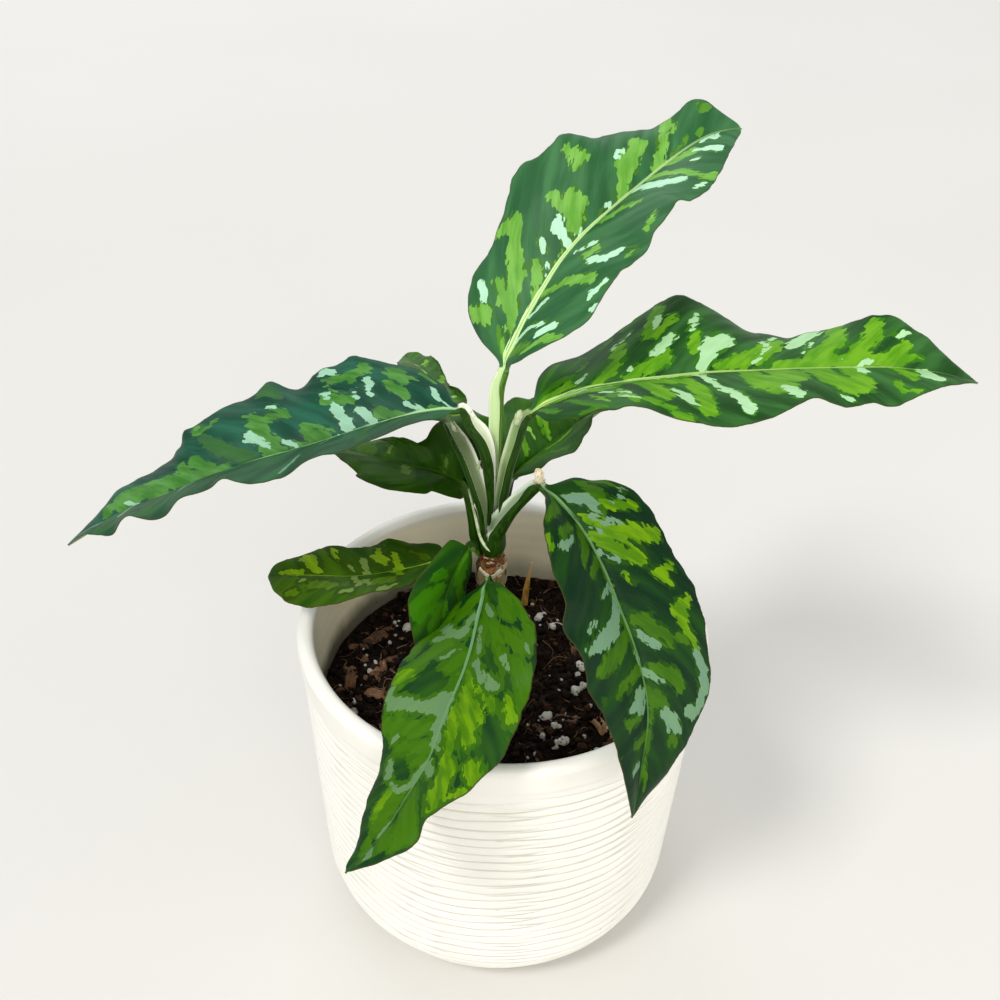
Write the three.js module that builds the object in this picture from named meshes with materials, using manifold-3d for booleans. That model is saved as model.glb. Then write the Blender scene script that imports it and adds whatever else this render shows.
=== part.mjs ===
// Potted chinese evergreen: white rippled pot, potting soil, one short scarred stem and ten leaves.
// Millimetres, +Z up. The pot stands on z = 0 and its axis is the z axis; -Y is the viewer's side.
import * as THREE from 'three';
import { mergeVertices } from 'three/addons/utils/BufferGeometryUtils.js';
import Module from 'manifold-3d';

const wasm = await Module();
wasm.setup();

// ---------------------------------------------------------------- driving dimensions (mm)
const POT_RIM_RADIUS = 65;          // outside of the rim
const POT_HEIGHT = 112.3;
const POT_FOOT_RADIUS = 60.75;      // where the straight wall would meet the table
const POT_FOOT_ROUNDING = 19.9;     // quarter-round between wall and flat base
const POT_WALL = 5.2;
const POT_FLOOR = 6;
const RIM_BAND = 9.5;               // plain band under the rim, no ripples
const RIM_ROUNDING = 2.6;
const RIPPLE_PITCH = 3.05;
const RIPPLE_DEPTH = 0.42;
const POT_SEGMENTS = 40;

const SOIL_LEVEL = 81.5;            // at the pot wall
const SOIL_MOUND = 2.2;             // extra height near the stem
const GAP = 0.35;                   // clearance kept between touching pieces

const STEM_X = -4.2;                // the stem stands a little left of the pot axis
const STEM_Y = 1.0;
const STEM_BOTTOM = 62;             // buried end
const STEM_SHOULDER = 139.5;        // the scarred stem ends, the green shoot goes on
const STEM_TOP = 167.8;
const STEM_RADIUS = 4.3;
const SHOOT_RADIUS = 1.45;

const COLLAR_HEIGHT = 128.6;        // torn pale collar left by an old sheath
const SPIKE_BASE = [7.5, 39.5, 82.6];
const SPIKE_TIP = [9.4, 38.6, 103.5];

// Each leaf: its stalk as [x, y, z, half width, half thickness] from the stem outwards, then the blade
// from its base to its tip as [midrib x, y, z, left edge x, y, z, right edge x, y, z].
const LEAVES = {
  leaf_top: {
    stalk: [[-3.9, 1.2, 168.6, 1.3, 1.3], [-3.9, 1.1, 173.0, 1.7, 1.6], [-4.0, 1.1, 180.0, 2.0, 1.8], [-3.9, 1.1, 188.0, 2.0, 1.8], [-3.3, 1.1, 195.5, 1.9, 1.7]],
    blade: [
      [-2.5, 1.2, 200.6,  -2.5, 1.2, 200.6,  -2.5, 1.2, 200.6],
      [-1.1, 2.8, 204.2,  -7.4, 9.3, 203.7,  1.4, -5.2, 207.0],
      [0.6, 4.8, 207.8,  -11.3, 13.5, 208.4,  6.4, -6.8, 211.9],
      [2.6, 7.4, 211.9,  -13.0, 17.7, 214.0,  11.8, -7.1, 215.8],
      [5.4, 10.2, 216.6,  -11.6, 22.4, 219.4,  17.5, -6.4, 219.6],
      [8.8, 13.6, 221.9,  -7.5, 27.2, 223.9,  21.8, -4.3, 225.2],
      [13.0, 17.7, 227.4,  -4.9, 32.8, 231.2,  25.9, -1.5, 231.6],
      [18.5, 22.5, 232.5,  -1.7, 39.3, 240.6,  32.5, 2.0, 236.0],
      [25.0, 27.5, 237.0,  6.6, 42.4, 247.4,  37.1, 7.8, 242.1],
      [31.6, 32.7, 241.0,  14.8, 45.7, 251.9,  43.6, 14.4, 245.8],
      [38.0, 38.0, 244.6,  24.8, 50.3, 250.2,  50.2, 22.4, 246.1],
      [44.0, 43.1, 247.6,  33.6, 53.5, 251.0,  54.6, 30.5, 247.6],
      [49.4, 47.7, 249.8,  41.5, 56.3, 253.0,  57.4, 38.1, 248.9],
      [54.6, 51.5, 251.1,  48.4, 58.6, 258.1,  59.8, 44.6, 250.0],
      [59.5, 55.1, 251.3,  57.2, 58.5, 255.9,  62.2, 51.2, 250.0],
      [64.3, 58.1, 251.0,  64.3, 58.1, 251.0,  64.3, 58.1, 251.0],
    ],
  },
  leaf_right: {
    stalk: [[-2.2, -2.4, 157.5, 1.3, 1.3], [-1.7, -2.7, 164.5, 1.7, 1.7], [-1.2, -2.5, 171.0, 1.9, 1.8], [0.3, -1.7, 179.0, 2.3, 2.0], [2.4, -0.7, 184.6, 2.3, 1.9]],
    blade: [
      [4.6, 0.2, 187.6,  4.6, 0.2, 187.6,  4.6, 0.2, 187.6],
      [9.0, 0.5, 190.4,  7.0, 8.8, 192.8,  9.3, -8.3, 190.9],
      [13.9, 0.8, 193.0,  11.4, 13.5, 196.3,  14.2, -12.4, 194.2],
      [19.7, 1.2, 195.5,  18.1, 17.0, 197.4,  19.8, -15.1, 197.8],
      [26.8, 1.5, 197.3,  25.2, 20.1, 200.3,  27.0, -17.5, 201.1],
      [35.1, 2.0, 198.8,  32.7, 23.0, 204.8,  36.0, -19.5, 202.9],
      [44.6, 2.7, 200.1,  41.6, 26.2, 210.3,  46.4, -21.9, 200.7],
      [54.9, 3.5, 201.2,  52.6, 27.8, 210.4,  56.7, -22.2, 199.6],
      [65.8, 4.1, 201.8,  64.2, 27.2, 204.4,  67.3, -20.0, 201.5],
      [76.7, 4.9, 202.2,  75.4, 25.3, 201.9,  77.9, -16.2, 205.1],
      [87.2, 5.5, 202.6,  85.9, 24.0, 203.7,  88.5, -14.4, 202.4],
      [97.0, 6.2, 202.7,  95.5, 22.5, 208.0,  98.5, -11.5, 201.8],
      [105.8, 7.2, 202.4,  105.1, 20.6, 211.8,  107.3, -8.2, 201.2],
      [113.6, 8.0, 201.3,  113.7, 17.9, 208.8,  115.0, -3.2, 202.0],
      [120.4, 8.8, 200.0,  120.6, 16.0, 204.5,  121.8, 1.1, 201.3],
      [126.5, 9.7, 198.2,  126.4, 14.1, 200.1,  127.5, 5.3, 199.3],
      [132.3, 10.7, 196.5,  132.3, 10.7, 196.5,  132.3, 10.7, 196.5],
    ],
  },
  leaf_left: {
    stalk: [[-5.4, -2.2, 163.8, 1.3, 1.3], [-5.9, -2.8, 171.0, 1.8, 1.7], [-7.2, -3.3, 178.5, 2.2, 1.9], [-9.8, -3.2, 185.5, 2.3, 1.9]],
    blade: [
      [-13.6, -2.5, 190.9,  -13.6, -2.5, 190.9,  -13.6, -2.5, 190.9],
      [-18.2, -2.2, 189.6,  -19.4, -10.3, 191.7,  -18.1, 6.2, 191.8],
      [-23.2, -1.7, 188.4,  -25.0, -13.7, 192.6,  -23.6, 10.9, 192.7],
      [-28.9, -1.5, 186.8,  -30.6, -16.9, 192.4,  -31.0, 14.7, 193.7],
      [-35.6, -1.7, 184.6,  -36.8, -20.2, 191.2,  -39.7, 17.3, 194.0],
      [-43.2, -2.3, 182.1,  -43.8, -23.0, 189.4,  -48.9, 18.6, 192.8],
      [-51.8, -3.3, 179.0,  -52.3, -24.8, 187.7,  -57.3, 18.4, 188.4],
      [-61.2, -4.3, 176.1,  -60.4, -27.2, 182.4,  -65.9, 18.0, 183.0],
      [-71.0, -5.5, 173.3,  -69.6, -27.3, 180.5,  -76.8, 16.1, 180.4],
      [-80.6, -7.5, 170.1,  -78.5, -27.0, 178.9,  -87.7, 12.0, 176.6],
      [-89.4, -10.2, 167.2,  -87.2, -28.0, 175.4,  -95.1, 6.8, 170.6],
      [-97.8, -12.2, 164.6,  -96.6, -29.5, 169.4,  -100.7, 3.7, 165.0],
      [-105.4, -13.0, 161.0,  -106.6, -27.8, 165.3,  -107.1, 1.1, 162.2],
      [-112.3, -13.2, 157.2,  -114.1, -25.1, 160.2,  -113.3, -1.4, 159.1],
      [-118.3, -13.0, 153.3,  -120.5, -21.1, 155.8,  -118.5, -4.4, 154.4],
      [-123.6, -12.5, 149.3,  -125.0, -17.2, 150.6,  -123.3, -7.5, 149.6],
      [-128.6, -12.0, 145.4,  -128.6, -12.0, 145.4,  -128.6, -12.0, 145.4],
    ],
  },
  leaf_front_right: {
    stalk: [[-3.2, -3.4, 143.6, 2.0, 1.7], [-2.0, -5.0, 150.0, 2.5, 2.0], [0.8, -6.6, 157.5, 2.6, 2.1], [4.6, -7.6, 164.6, 2.4, 1.9]],
    blade: [
      [9.2, -8.3, 169.7,  9.2, -8.3, 169.7,  9.2, -8.3, 169.7],
      [12.3, -10.2, 167.2,  18.1, -2.9, 168.6,  10.1, -18.0, 170.9],
      [15.8, -12.5, 164.8,  25.8, -2.3, 167.6,  9.9, -24.0, 169.5],
      [19.5, -15.8, 162.2,  34.7, -4.5, 166.7,  10.2, -29.4, 168.1],
      [23.2, -20.1, 158.8,  41.5, -9.0, 162.2,  11.2, -34.6, 166.0],
      [26.8, -25.6, 154.8,  46.0, -14.9, 155.8,  12.8, -40.0, 162.7],
      [30.1, -31.8, 149.9,  50.9, -21.8, 151.1,  15.7, -46.1, 158.6],
      [33.5, -38.3, 144.8,  54.7, -28.7, 145.7,  16.7, -52.2, 151.9],
      [36.6, -45.0, 139.4,  56.8, -37.4, 139.6,  21.0, -57.2, 147.0],
      [38.7, -51.6, 134.0,  57.5, -45.8, 132.2,  22.8, -61.3, 141.2],
      [39.5, -57.7, 128.8,  54.6, -53.7, 124.5,  26.5, -64.8, 136.6],
      [38.8, -62.9, 123.9,  50.4, -60.0, 118.7,  29.5, -68.7, 131.6],
      [37.8, -67.2, 119.5,  46.4, -64.1, 114.9,  31.7, -72.6, 125.7],
      [37.1, -70.5, 115.6,  42.3, -67.1, 112.1,  33.4, -75.2, 119.8],
      [36.5, -73.1, 111.8,  39.1, -70.7, 109.8,  34.8, -76.2, 114.2],
      [35.9, -75.4, 108.4,  35.9, -75.4, 108.4,  35.9, -75.4, 108.4],
    ],
  },
  leaf_front: {
    stalk: [[-4.4, -5.4, 113.0, 1.8, 1.5], [-4.4, -6.7, 121.0, 2.0, 1.6], [-4.7, -9.2, 130.5, 2.1, 1.6]],
    blade: [
      [-5.1, -11.4, 137.8,  -5.1, -11.4, 137.8,  -5.1, -11.4, 137.8],
      [-5.7, -15.5, 135.9,  -1.8, -18.7, 142.1,  -11.8, -12.7, 131.3],
      [-6.5, -20.4, 134.1,  1.9, -24.7, 143.3,  -16.3, -16.5, 127.6],
      [-7.7, -26.4, 132.6,  6.0, -31.6, 142.9,  -20.9, -21.9, 124.8],
      [-8.9, -33.3, 130.8,  8.9, -39.6, 140.4,  -25.9, -28.2, 124.5],
      [-10.7, -40.8, 128.6,  8.9, -48.5, 135.8,  -29.0, -34.5, 124.7],
      [-13.3, -48.8, 126.2,  6.6, -57.0, 131.6,  -31.5, -41.9, 123.5],
      [-16.0, -56.9, 123.7,  3.5, -64.6, 128.7,  -33.1, -50.4, 119.9],
      [-18.3, -64.9, 120.8,  -0.3, -72.8, 125.1,  -32.5, -58.1, 116.0],
      [-21.4, -72.2, 118.3,  -7.8, -80.2, 123.1,  -32.4, -65.4, 113.6],
      [-24.8, -78.6, 116.3,  -15.0, -85.6, 122.0,  -34.3, -72.4, 112.5],
      [-27.8, -84.2, 114.5,  -19.6, -90.8, 118.5,  -35.5, -78.3, 111.4],
      [-30.8, -88.3, 112.6,  -25.0, -94.4, 115.2,  -36.0, -82.9, 110.4],
      [-33.6, -91.3, 110.8,  -30.7, -95.9, 112.9,  -36.7, -87.0, 109.3],
      [-36.4, -93.5, 109.2,  -35.1, -96.2, 110.7,  -38.0, -90.9, 108.4],
      [-38.9, -95.5, 107.8,  -38.9, -95.5, 107.8,  -38.9, -95.5, 107.8],
    ],
  },
  leaf_low_left: {
    stalk: [[-10.4, 2.2, 102.0, 1.5, 1.4], [-12.2, 2.4, 111.0, 1.7, 1.5], [-14.2, 2.6, 120.0, 1.8, 1.5], [-15.9, 2.7, 128.0, 1.9, 1.5]],
    blade: [
      [-17.1, 1.8, 134.0,  -17.1, 1.8, 134.0,  -17.1, 1.8, 134.0],
      [-20.7, 2.1, 132.3,  -20.9, -3.8, 132.4,  -21.3, 7.7, 134.4],
      [-25.0, 2.1, 130.7,  -24.8, -6.5, 131.6,  -26.1, 10.4, 132.6],
      [-30.5, 1.5, 129.2,  -29.8, -9.0, 131.1,  -32.2, 12.0, 131.6],
      [-37.3, 0.8, 127.9,  -36.7, -10.6, 130.7,  -39.0, 12.5, 131.4],
      [-45.0, 0.2, 126.9,  -44.8, -11.4, 128.5,  -45.6, 11.4, 129.8],
      [-52.7, 0.3, 126.4,  -53.2, -11.2, 125.0,  -52.5, 10.7, 130.4],
      [-59.8, 1.0, 125.9,  -60.7, -9.1, 121.4,  -59.1, 9.2, 129.6],
      [-65.8, 2.2, 124.8,  -66.7, -5.5, 120.0,  -65.1, 8.0, 128.1],
      [-70.8, 4.2, 122.8,  -71.7, -0.5, 119.8,  -70.5, 7.6, 125.7],
      [-75.3, 7.1, 120.0,  -75.3, 7.1, 120.0,  -75.3, 7.1, 120.0],
    ],
  },
  leaf_low_front: {
    stalk: [[-8.7, -1.6, 140.2, 1.2, 1.2], [-9.7, -3.8, 143.6, 1.7, 1.4]],
    blade: [
      [-10.8, -2.8, 142.2,  -10.8, -2.8, 142.2,  -10.8, -2.8, 142.2],
      [-12.6, -4.9, 140.5,  -10.0, -2.4, 136.0,  -17.7, -5.5, 145.2],
      [-14.4, -6.9, 137.8,  -10.5, -1.6, 132.7,  -21.3, -10.1, 143.4],
      [-16.3, -8.9, 133.6,  -11.2, -1.3, 128.5,  -25.3, -14.1, 139.2],
      [-18.0, -11.1, 128.0,  -11.9, -2.5, 123.1,  -28.2, -17.8, 133.3],
      [-19.5, -13.6, 121.6,  -11.8, -6.0, 117.3,  -27.3, -21.7, 126.1],
      [-20.3, -16.1, 115.0,  -11.7, -10.6, 111.8,  -25.9, -23.9, 118.7],
      [-20.9, -18.6, 109.1,  -13.0, -15.1, 107.0,  -24.5, -24.8, 112.1],
      [-21.0, -20.9, 104.5,  -15.0, -18.8, 103.4,  -23.2, -25.2, 106.8],
      [-20.8, -22.9, 101.0,  -17.7, -21.6, 100.5,  -22.1, -25.3, 102.4],
      [-20.6, -24.7, 98.3,  -20.6, -24.7, 98.3,  -20.6, -24.7, 98.3],
    ],
  },
  leaf_back_left: {
    stalk: [[-8.6, 1.6, 143.8, 1.6, 1.4], [-9.4, 2.2, 149.5, 1.9, 1.6], [-10.8, 4.2, 154.5, 2.0, 1.6]],
    blade: [
      [-13.2, 8.2, 157.5,  -13.2, 8.2, 157.5,  -13.2, 8.2, 157.5],
      [-16.2, 12.4, 156.4,  -19.2, 9.0, 152.9,  -16.5, 13.8, 161.8],
      [-20.1, 17.0, 154.9,  -25.1, 11.0, 151.3,  -19.2, 20.5, 162.2],
      [-25.3, 22.2, 152.8,  -31.8, 13.7, 149.8,  -22.0, 28.9, 159.9],
      [-32.0, 27.8, 150.2,  -39.9, 17.7, 148.7,  -26.0, 37.0, 154.7],
      [-39.5, 34.1, 147.6,  -48.2, 24.3, 149.3,  -32.1, 43.9, 149.8],
      [-47.3, 40.6, 145.0,  -55.3, 33.0, 149.5,  -39.9, 49.8, 145.9],
      [-54.7, 46.9, 142.0,  -61.5, 41.3, 146.2,  -48.0, 53.9, 140.9],
      [-61.1, 52.8, 138.9,  -66.4, 49.1, 141.8,  -55.8, 57.4, 137.5],
      [-66.5, 58.4, 135.6,  -69.8, 56.5, 137.3,  -63.2, 61.1, 135.0],
      [-71.2, 63.9, 132.3,  -71.2, 63.9, 132.3,  -71.2, 63.9, 132.3],
    ],
  },
  leaf_back_upper: {
    stalk: [[-6.5, -1.7, 149.6, 1.3, 1.3], [-7.7, -2.7, 157.0, 1.8, 1.7], [-9.4, -2.9, 164.0, 2.1, 1.9], [-12.2, -2.0, 171.5, 2.2, 1.9], [-15.2, 0.6, 178.0, 2.2, 1.8]],
    blade: [
      [-17.5, 3.7, 181.6,  -17.5, 3.7, 181.6,  -17.5, 3.7, 181.6],
      [-18.2, 10.7, 179.0,  -25.5, 10.1, 179.6,  -11.3, 11.4, 179.2],
      [-19.0, 18.0, 176.7,  -30.1, 16.8, 177.2,  -9.6, 18.7, 175.2],
      [-20.1, 26.2, 174.5,  -34.3, 24.2, 175.8,  -9.8, 26.8, 170.1],
      [-21.8, 35.5, 172.2,  -36.4, 33.5, 176.8,  -11.3, 36.1, 165.3],
      [-24.3, 45.7, 169.7,  -36.4, 44.2, 175.9,  -14.4, 46.4, 162.4],
      [-27.1, 56.2, 167.0,  -36.8, 54.8, 172.0,  -17.9, 57.4, 161.7],
      [-30.2, 66.2, 164.0,  -37.9, 64.5, 166.4,  -22.5, 67.8, 161.3],
      [-33.2, 75.1, 160.9,  -38.8, 73.4, 161.4,  -27.1, 77.2, 161.2],
      [-35.8, 82.8, 157.8,  -39.3, 81.4, 157.3,  -32.5, 84.5, 159.3],
      [-38.1, 89.9, 154.9,  -38.1, 89.9, 154.9,  -38.1, 89.9, 154.9],
    ],
  },
  leaf_back_right: {
    stalk: [[-2.2, 4.5, 147.2, 1.4, 1.3], [-1.5, 5.4, 152.5, 1.9, 1.6]],
    blade: [
      [0.2, 7.6, 160.0,  0.2, 7.6, 160.0,  0.2, 7.6, 160.0],
      [2.3, 12.4, 159.4,  -2.0, 15.1, 164.6,  8.9, 9.8, 162.4],
      [5.1, 18.0, 158.6,  -2.2, 23.1, 165.3,  14.4, 13.6, 164.5],
      [9.1, 24.4, 157.7,  -2.4, 32.2, 163.4,  20.6, 17.9, 165.2],
      [13.9, 32.0, 157.2,  -2.2, 43.0, 161.8,  24.8, 25.3, 167.7],
      [19.5, 40.1, 156.8,  4.2, 51.1, 161.7,  29.4, 33.7, 169.3],
      [25.4, 48.4, 156.6,  12.3, 57.8, 159.3,  34.9, 42.2, 166.7],
      [30.9, 56.3, 156.1,  20.7, 63.6, 158.4,  38.7, 51.5, 163.8],
      [35.7, 63.4, 155.3,  28.7, 68.6, 157.6,  41.2, 60.4, 160.5],
      [39.9, 69.3, 154.1,  35.9, 72.4, 156.0,  43.0, 67.8, 156.9],
      [43.4, 74.6, 152.9,  43.4, 74.6, 152.9,  43.4, 74.6, 152.9],
    ],
  },
};

// Loose pieces lying on the soil: [x, y, size x, size y, size z, turn in degrees, seed]
const PERLITE = {
  perlite_1: [13.2, 33.1, 4.6, 3.6, 3.0, 20, 3],
  perlite_2: [18.8, 27.6, 4.0, 4.4, 2.8, 70, 7],
  perlite_3: [26.5, 7.5, 3.8, 3.2, 2.6, 130, 11],
  perlite_4: [24.5, -4.4, 3.4, 4.0, 2.6, 10, 17],
  perlite_5: [15.1, -16.0, 4.4, 3.4, 2.8, 45, 23],
  perlite_6: [19.6, -26.4, 3.6, 3.0, 2.4, 95, 29],
  perlite_7: [-47.6, -15.2, 3.8, 3.4, 2.6, 60, 31],
  perlite_8: [-33.4, 26.7, 3.6, 4.2, 2.8, 150, 37],
};
const BARK = {
  bark_chip_1: [-43.6, 20.5, 9.5, 4.4, 1.9, 35, 5],
  bark_chip_2: [-50.0, 1.6, 8.0, 4.0, 1.8, 100, 13],
  bark_chip_3: [-41.0, -6.0, 7.2, 3.6, 1.7, 160, 19],
  bark_chip_4: [35.5, 17.0, 8.6, 4.2, 1.8, 60, 41],
  bark_chip_5: [31.5, -17.5, 7.4, 3.8, 1.7, 120, 43],
};

// ---------------------------------------------------------------- colours (sRGB)
const paint = (hex, roughness, metalness = 0) =>
  new THREE.MeshStandardMaterial({ color: new THREE.Color(hex), roughness, metalness });
const glaze = paint('#ece9e0', 0.32);
const soilMix = paint('#2e1f18', 0.95);
const stemBark = paint('#8a6648', 0.8);
const drySheath = paint('#cfc9a6', 0.8);
const dryStraw = paint('#c29a52', 0.75);
const perliteWhite = paint('#dcdad6', 0.9);
const barkBrown = paint('#5b3d2a', 0.9);
const leafDark = paint('#3f7a3a', 0.42);
const leafBright = paint('#6a9a30', 0.45);

// ---------------------------------------------------------------- helpers
const V = (a) => new THREE.Vector3(a[0], a[1], a[2]);

function closed(geometry) {
  geometry.deleteAttribute('normal');
  geometry.deleteAttribute('uv');
  let g = mergeVertices(geometry, 1e-4);
  const p = g.getAttribute('position').array;
  const idx = [];
  const src = g.getIndex().array;
  for (let i = 0; i < src.length; i += 3) {
    const [a, b, c] = [src[i], src[i + 1], src[i + 2]];
    if (a !== b && b !== c && c !== a) idx.push(a, b, c);
  }
  let vol = 0;
  for (let i = 0; i < idx.length; i += 3) {
    const [a, b, c] = [idx[i] * 3, idx[i + 1] * 3, idx[i + 2] * 3];
    vol += p[a] * (p[b + 1] * p[c + 2] - p[b + 2] * p[c + 1])
         - p[a + 1] * (p[b] * p[c + 2] - p[b + 2] * p[c])
         + p[a + 2] * (p[b] * p[c + 1] - p[b + 1] * p[c]);
  }
  if (vol < 0) for (let i = 0; i < idx.length; i += 3) [idx[i + 1], idx[i + 2]] = [idx[i + 2], idx[i + 1]];
  g.setIndex(idx);
  g.computeVertexNormals();
  return g;
}

function asSolid(geometry) {
  const g = closed(geometry);
  return new wasm.Manifold(new wasm.Mesh({
    numProp: 3,
    vertProperties: new Float32Array(g.getAttribute('position').array),
    triVerts: new Uint32Array(g.getIndex().array),
  }));
}

function fromSolid(solid) {
  const m = solid.getMesh();
  const g = new THREE.BufferGeometry();
  g.setAttribute('position', new THREE.BufferAttribute(new Float32Array(m.vertProperties), 3));
  g.setIndex(new THREE.BufferAttribute(new Uint32Array(m.triVerts), 1));
  g.computeVertexNormals();
  return g;
}

// A closed cylinder re-shaped so that row r of its wall follows ring r.
function loft(rings) {
  const rows = rings.length, cols = rings[0].length;
  const g = new THREE.CylinderGeometry(1, 1, 1, cols, rows - 1, false);
  const pos = g.getAttribute('position');
  for (let i = 0; i < pos.count; i++) {
    const x = pos.getX(i), y = pos.getY(i), z = pos.getZ(i);
    const row = Math.round((0.5 - y) * (rows - 1));
    const ring = rings[row];
    if (Math.hypot(x, z) < 0.01) {
      const c = ring.reduce((s, v) => s.add(v), new THREE.Vector3()).multiplyScalar(1 / cols);
      pos.setXYZ(i, c.x, c.y, c.z);
    } else {
      const col = ((Math.round((Math.atan2(x, z) / (2 * Math.PI)) * cols) % cols) + cols) % cols;
      pos.setXYZ(i, ring[col].x, ring[col].y, ring[col].z);
    }
  }
  return closed(g);
}

// Turned profile [radius, z] about the z axis.
function turned(profile, segments) {
  const g = new THREE.LatheGeometry(profile.map(([r, z]) => new THREE.Vector2(r, z)), segments);
  g.rotateX(Math.PI / 2);
  return g;
}

// ---------------------------------------------------------------- pot
function potOutside(z) {
  const top = POT_HEIGHT - RIM_ROUNDING;
  const t = (z - POT_FOOT_ROUNDING) / (top - POT_FOOT_ROUNDING);
  if (z >= POT_FOOT_ROUNDING) return POT_FOOT_RADIUS + (POT_RIM_RADIUS - POT_FOOT_RADIUS) * t;
  const s = 1 - z / POT_FOOT_ROUNDING;
  return POT_FOOT_RADIUS - POT_FOOT_ROUNDING * (1 - Math.sqrt(Math.max(0, 1 - s * s)));
}
const potInside = (z) => potOutside(Math.max(z, POT_FOOT_ROUNDING)) - POT_WALL;

function potGeometry() {
  const outer = [];
  outer.push([0, 0], [POT_FOOT_RADIUS - POT_FOOT_ROUNDING + 1, 0]);
  for (const z of [0.6, 2.2, 4.6, 7.6]) outer.push([potOutside(z), z]);
  const top = POT_HEIGHT - RIM_BAND;
  const n = Math.floor((top - 10) / RIPPLE_PITCH);
  for (let k = 0; k <= n; k++) {
    const z = top - (n - k) * RIPPLE_PITCH;
    const depth = RIPPLE_DEPTH * Math.min(1, (z - 6) / 14);
    outer.push([potOutside(z), z]);
    if (k < n) outer.push([potOutside(z + RIPPLE_PITCH / 2) - depth, z + RIPPLE_PITCH / 2]);
  }
  outer.push([POT_RIM_RADIUS, POT_HEIGHT - RIM_ROUNDING]);
  const r0 = POT_RIM_RADIUS - RIM_ROUNDING;
  for (const a of [30, 60, 90]) {
    const c = (a * Math.PI) / 180;
    outer.push([r0 + RIM_ROUNDING * Math.cos(c), POT_HEIGHT - RIM_ROUNDING + RIM_ROUNDING * Math.sin(c)]);
  }
  const ri = POT_RIM_RADIUS - POT_WALL;
  const inner = [
    [ri + 1.2, POT_HEIGHT - 0.5], [ri, POT_HEIGHT - 2.4],
    [potInside(82), 82], [potInside(55), 55], [potInside(26), 26],
    [potInside(26) - 3.2, 14], [potInside(26) - 10, 8], [potInside(26) - 18, POT_FLOOR], [0, POT_FLOOR],
  ];
  return closed(turned([...outer, ...inner], POT_SEGMENTS));
}

// ---------------------------------------------------------------- soil, with the hole that the stem stands in
const ripple = (x, y) =>
  0.75 * Math.sin(x * 0.31 + 1.3) * Math.cos(y * 0.27 - 0.6) + 0.45 * Math.sin(x * 0.71 - y * 0.53);

function soilTop(x, y) {
  const r = Math.hypot(x, y);
  return SOIL_LEVEL + SOIL_MOUND * Math.max(0, 1 - (r / 50) ** 2) + ripple(x, y) * Math.min(1, Math.max(0, (58 - r) / 10));
}

function soilGeometry() {
  const rIn = (z) => potInside(z) - GAP - 0.15;
  const profile = [
    [0, POT_FLOOR + GAP], [potInside(26) - 19, POT_FLOOR + GAP], [potInside(26) - 11.5, 8.9],
    [potInside(26) - 4.6, 15.2], [rIn(26), 27], [rIn(55), 55], [rIn(80.5), 80.5],
    [56.5, SOIL_LEVEL], [47, SOIL_LEVEL], [37, SOIL_LEVEL], [27, SOIL_LEVEL], [17.5, SOIL_LEVEL], [9, SOIL_LEVEL], [0, SOIL_LEVEL],
  ];
  const g = turned(profile, 36);
  const pos = g.getAttribute('position');
  for (let i = 0; i < pos.count; i++) {
    const x = pos.getX(i), y = pos.getY(i), z = pos.getZ(i);
    if (z > SOIL_LEVEL - 0.01) pos.setZ(i, soilTop(x, y));
  }
  const hole = new THREE.CylinderGeometry(STEM_RADIUS + GAP, STEM_RADIUS + GAP, 60, 16);
  hole.rotateX(Math.PI / 2);
  hole.translate(STEM_X, STEM_Y, STEM_BOTTOM - GAP + 30);
  return fromSolid(asSolid(g).subtract(asSolid(hole)));
}

// ---------------------------------------------------------------- stem and its collar
function stemGeometry() {
  const R = STEM_RADIUS;
  const g = turned([
    [0, STEM_BOTTOM], [R - 1.2, STEM_BOTTOM], [R - 0.4, 72], [R - 0.3, 84], [R - 0.7, 91], [R - 0.25, 93.5],
    [R - 0.7, 101], [R - 0.2, 103.6], [R - 0.6, 111], [R - 0.1, 114], [R - 0.5, 121], [R - 0.1, 124],
    [R - 0.3, 130.5], [R, 133.5], [R - 0.3, 137], [R - 1.0, 138.8], [SHOOT_RADIUS, STEM_SHOULDER],
    [SHOOT_RADIUS, 153], [SHOOT_RADIUS - 0.3, 156], [SHOOT_RADIUS - 0.35, STEM_TOP - 0.6], [0, STEM_TOP],
  ], 14);
  g.translate(STEM_X, STEM_Y, 0);
  return closed(g);
}

function collarGeometry() {
  const r = STEM_RADIUS + GAP;
  const h = COLLAR_HEIGHT;
  const g = turned([[r, h - 2.6], [r + 0.5, h - 2.9], [r + 0.9, h - 1.2], [r + 1.35, h + 1.0], [r + 0.9, h + 1.3],
    [r + 0.1, h - 0.4], [r, h - 2.6]], 20);
  const pos = g.getAttribute('position');
  for (let i = 0; i < pos.count; i++) {
    const x = pos.getX(i), y = pos.getY(i), z = pos.getZ(i);
    if (z > h) pos.setZ(i, z + 0.7 * Math.sin(5 * Math.atan2(y, x) + 0.8));
  }
  g.translate(STEM_X, STEM_Y, 0);
  return closed(g);
}

// ---------------------------------------------------------------- leaves
const STALK_ANGLES = [170, 130, 90, 50, 10, 350, 310, 270, 230, 190].map((a) => (a * Math.PI) / 180);

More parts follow.
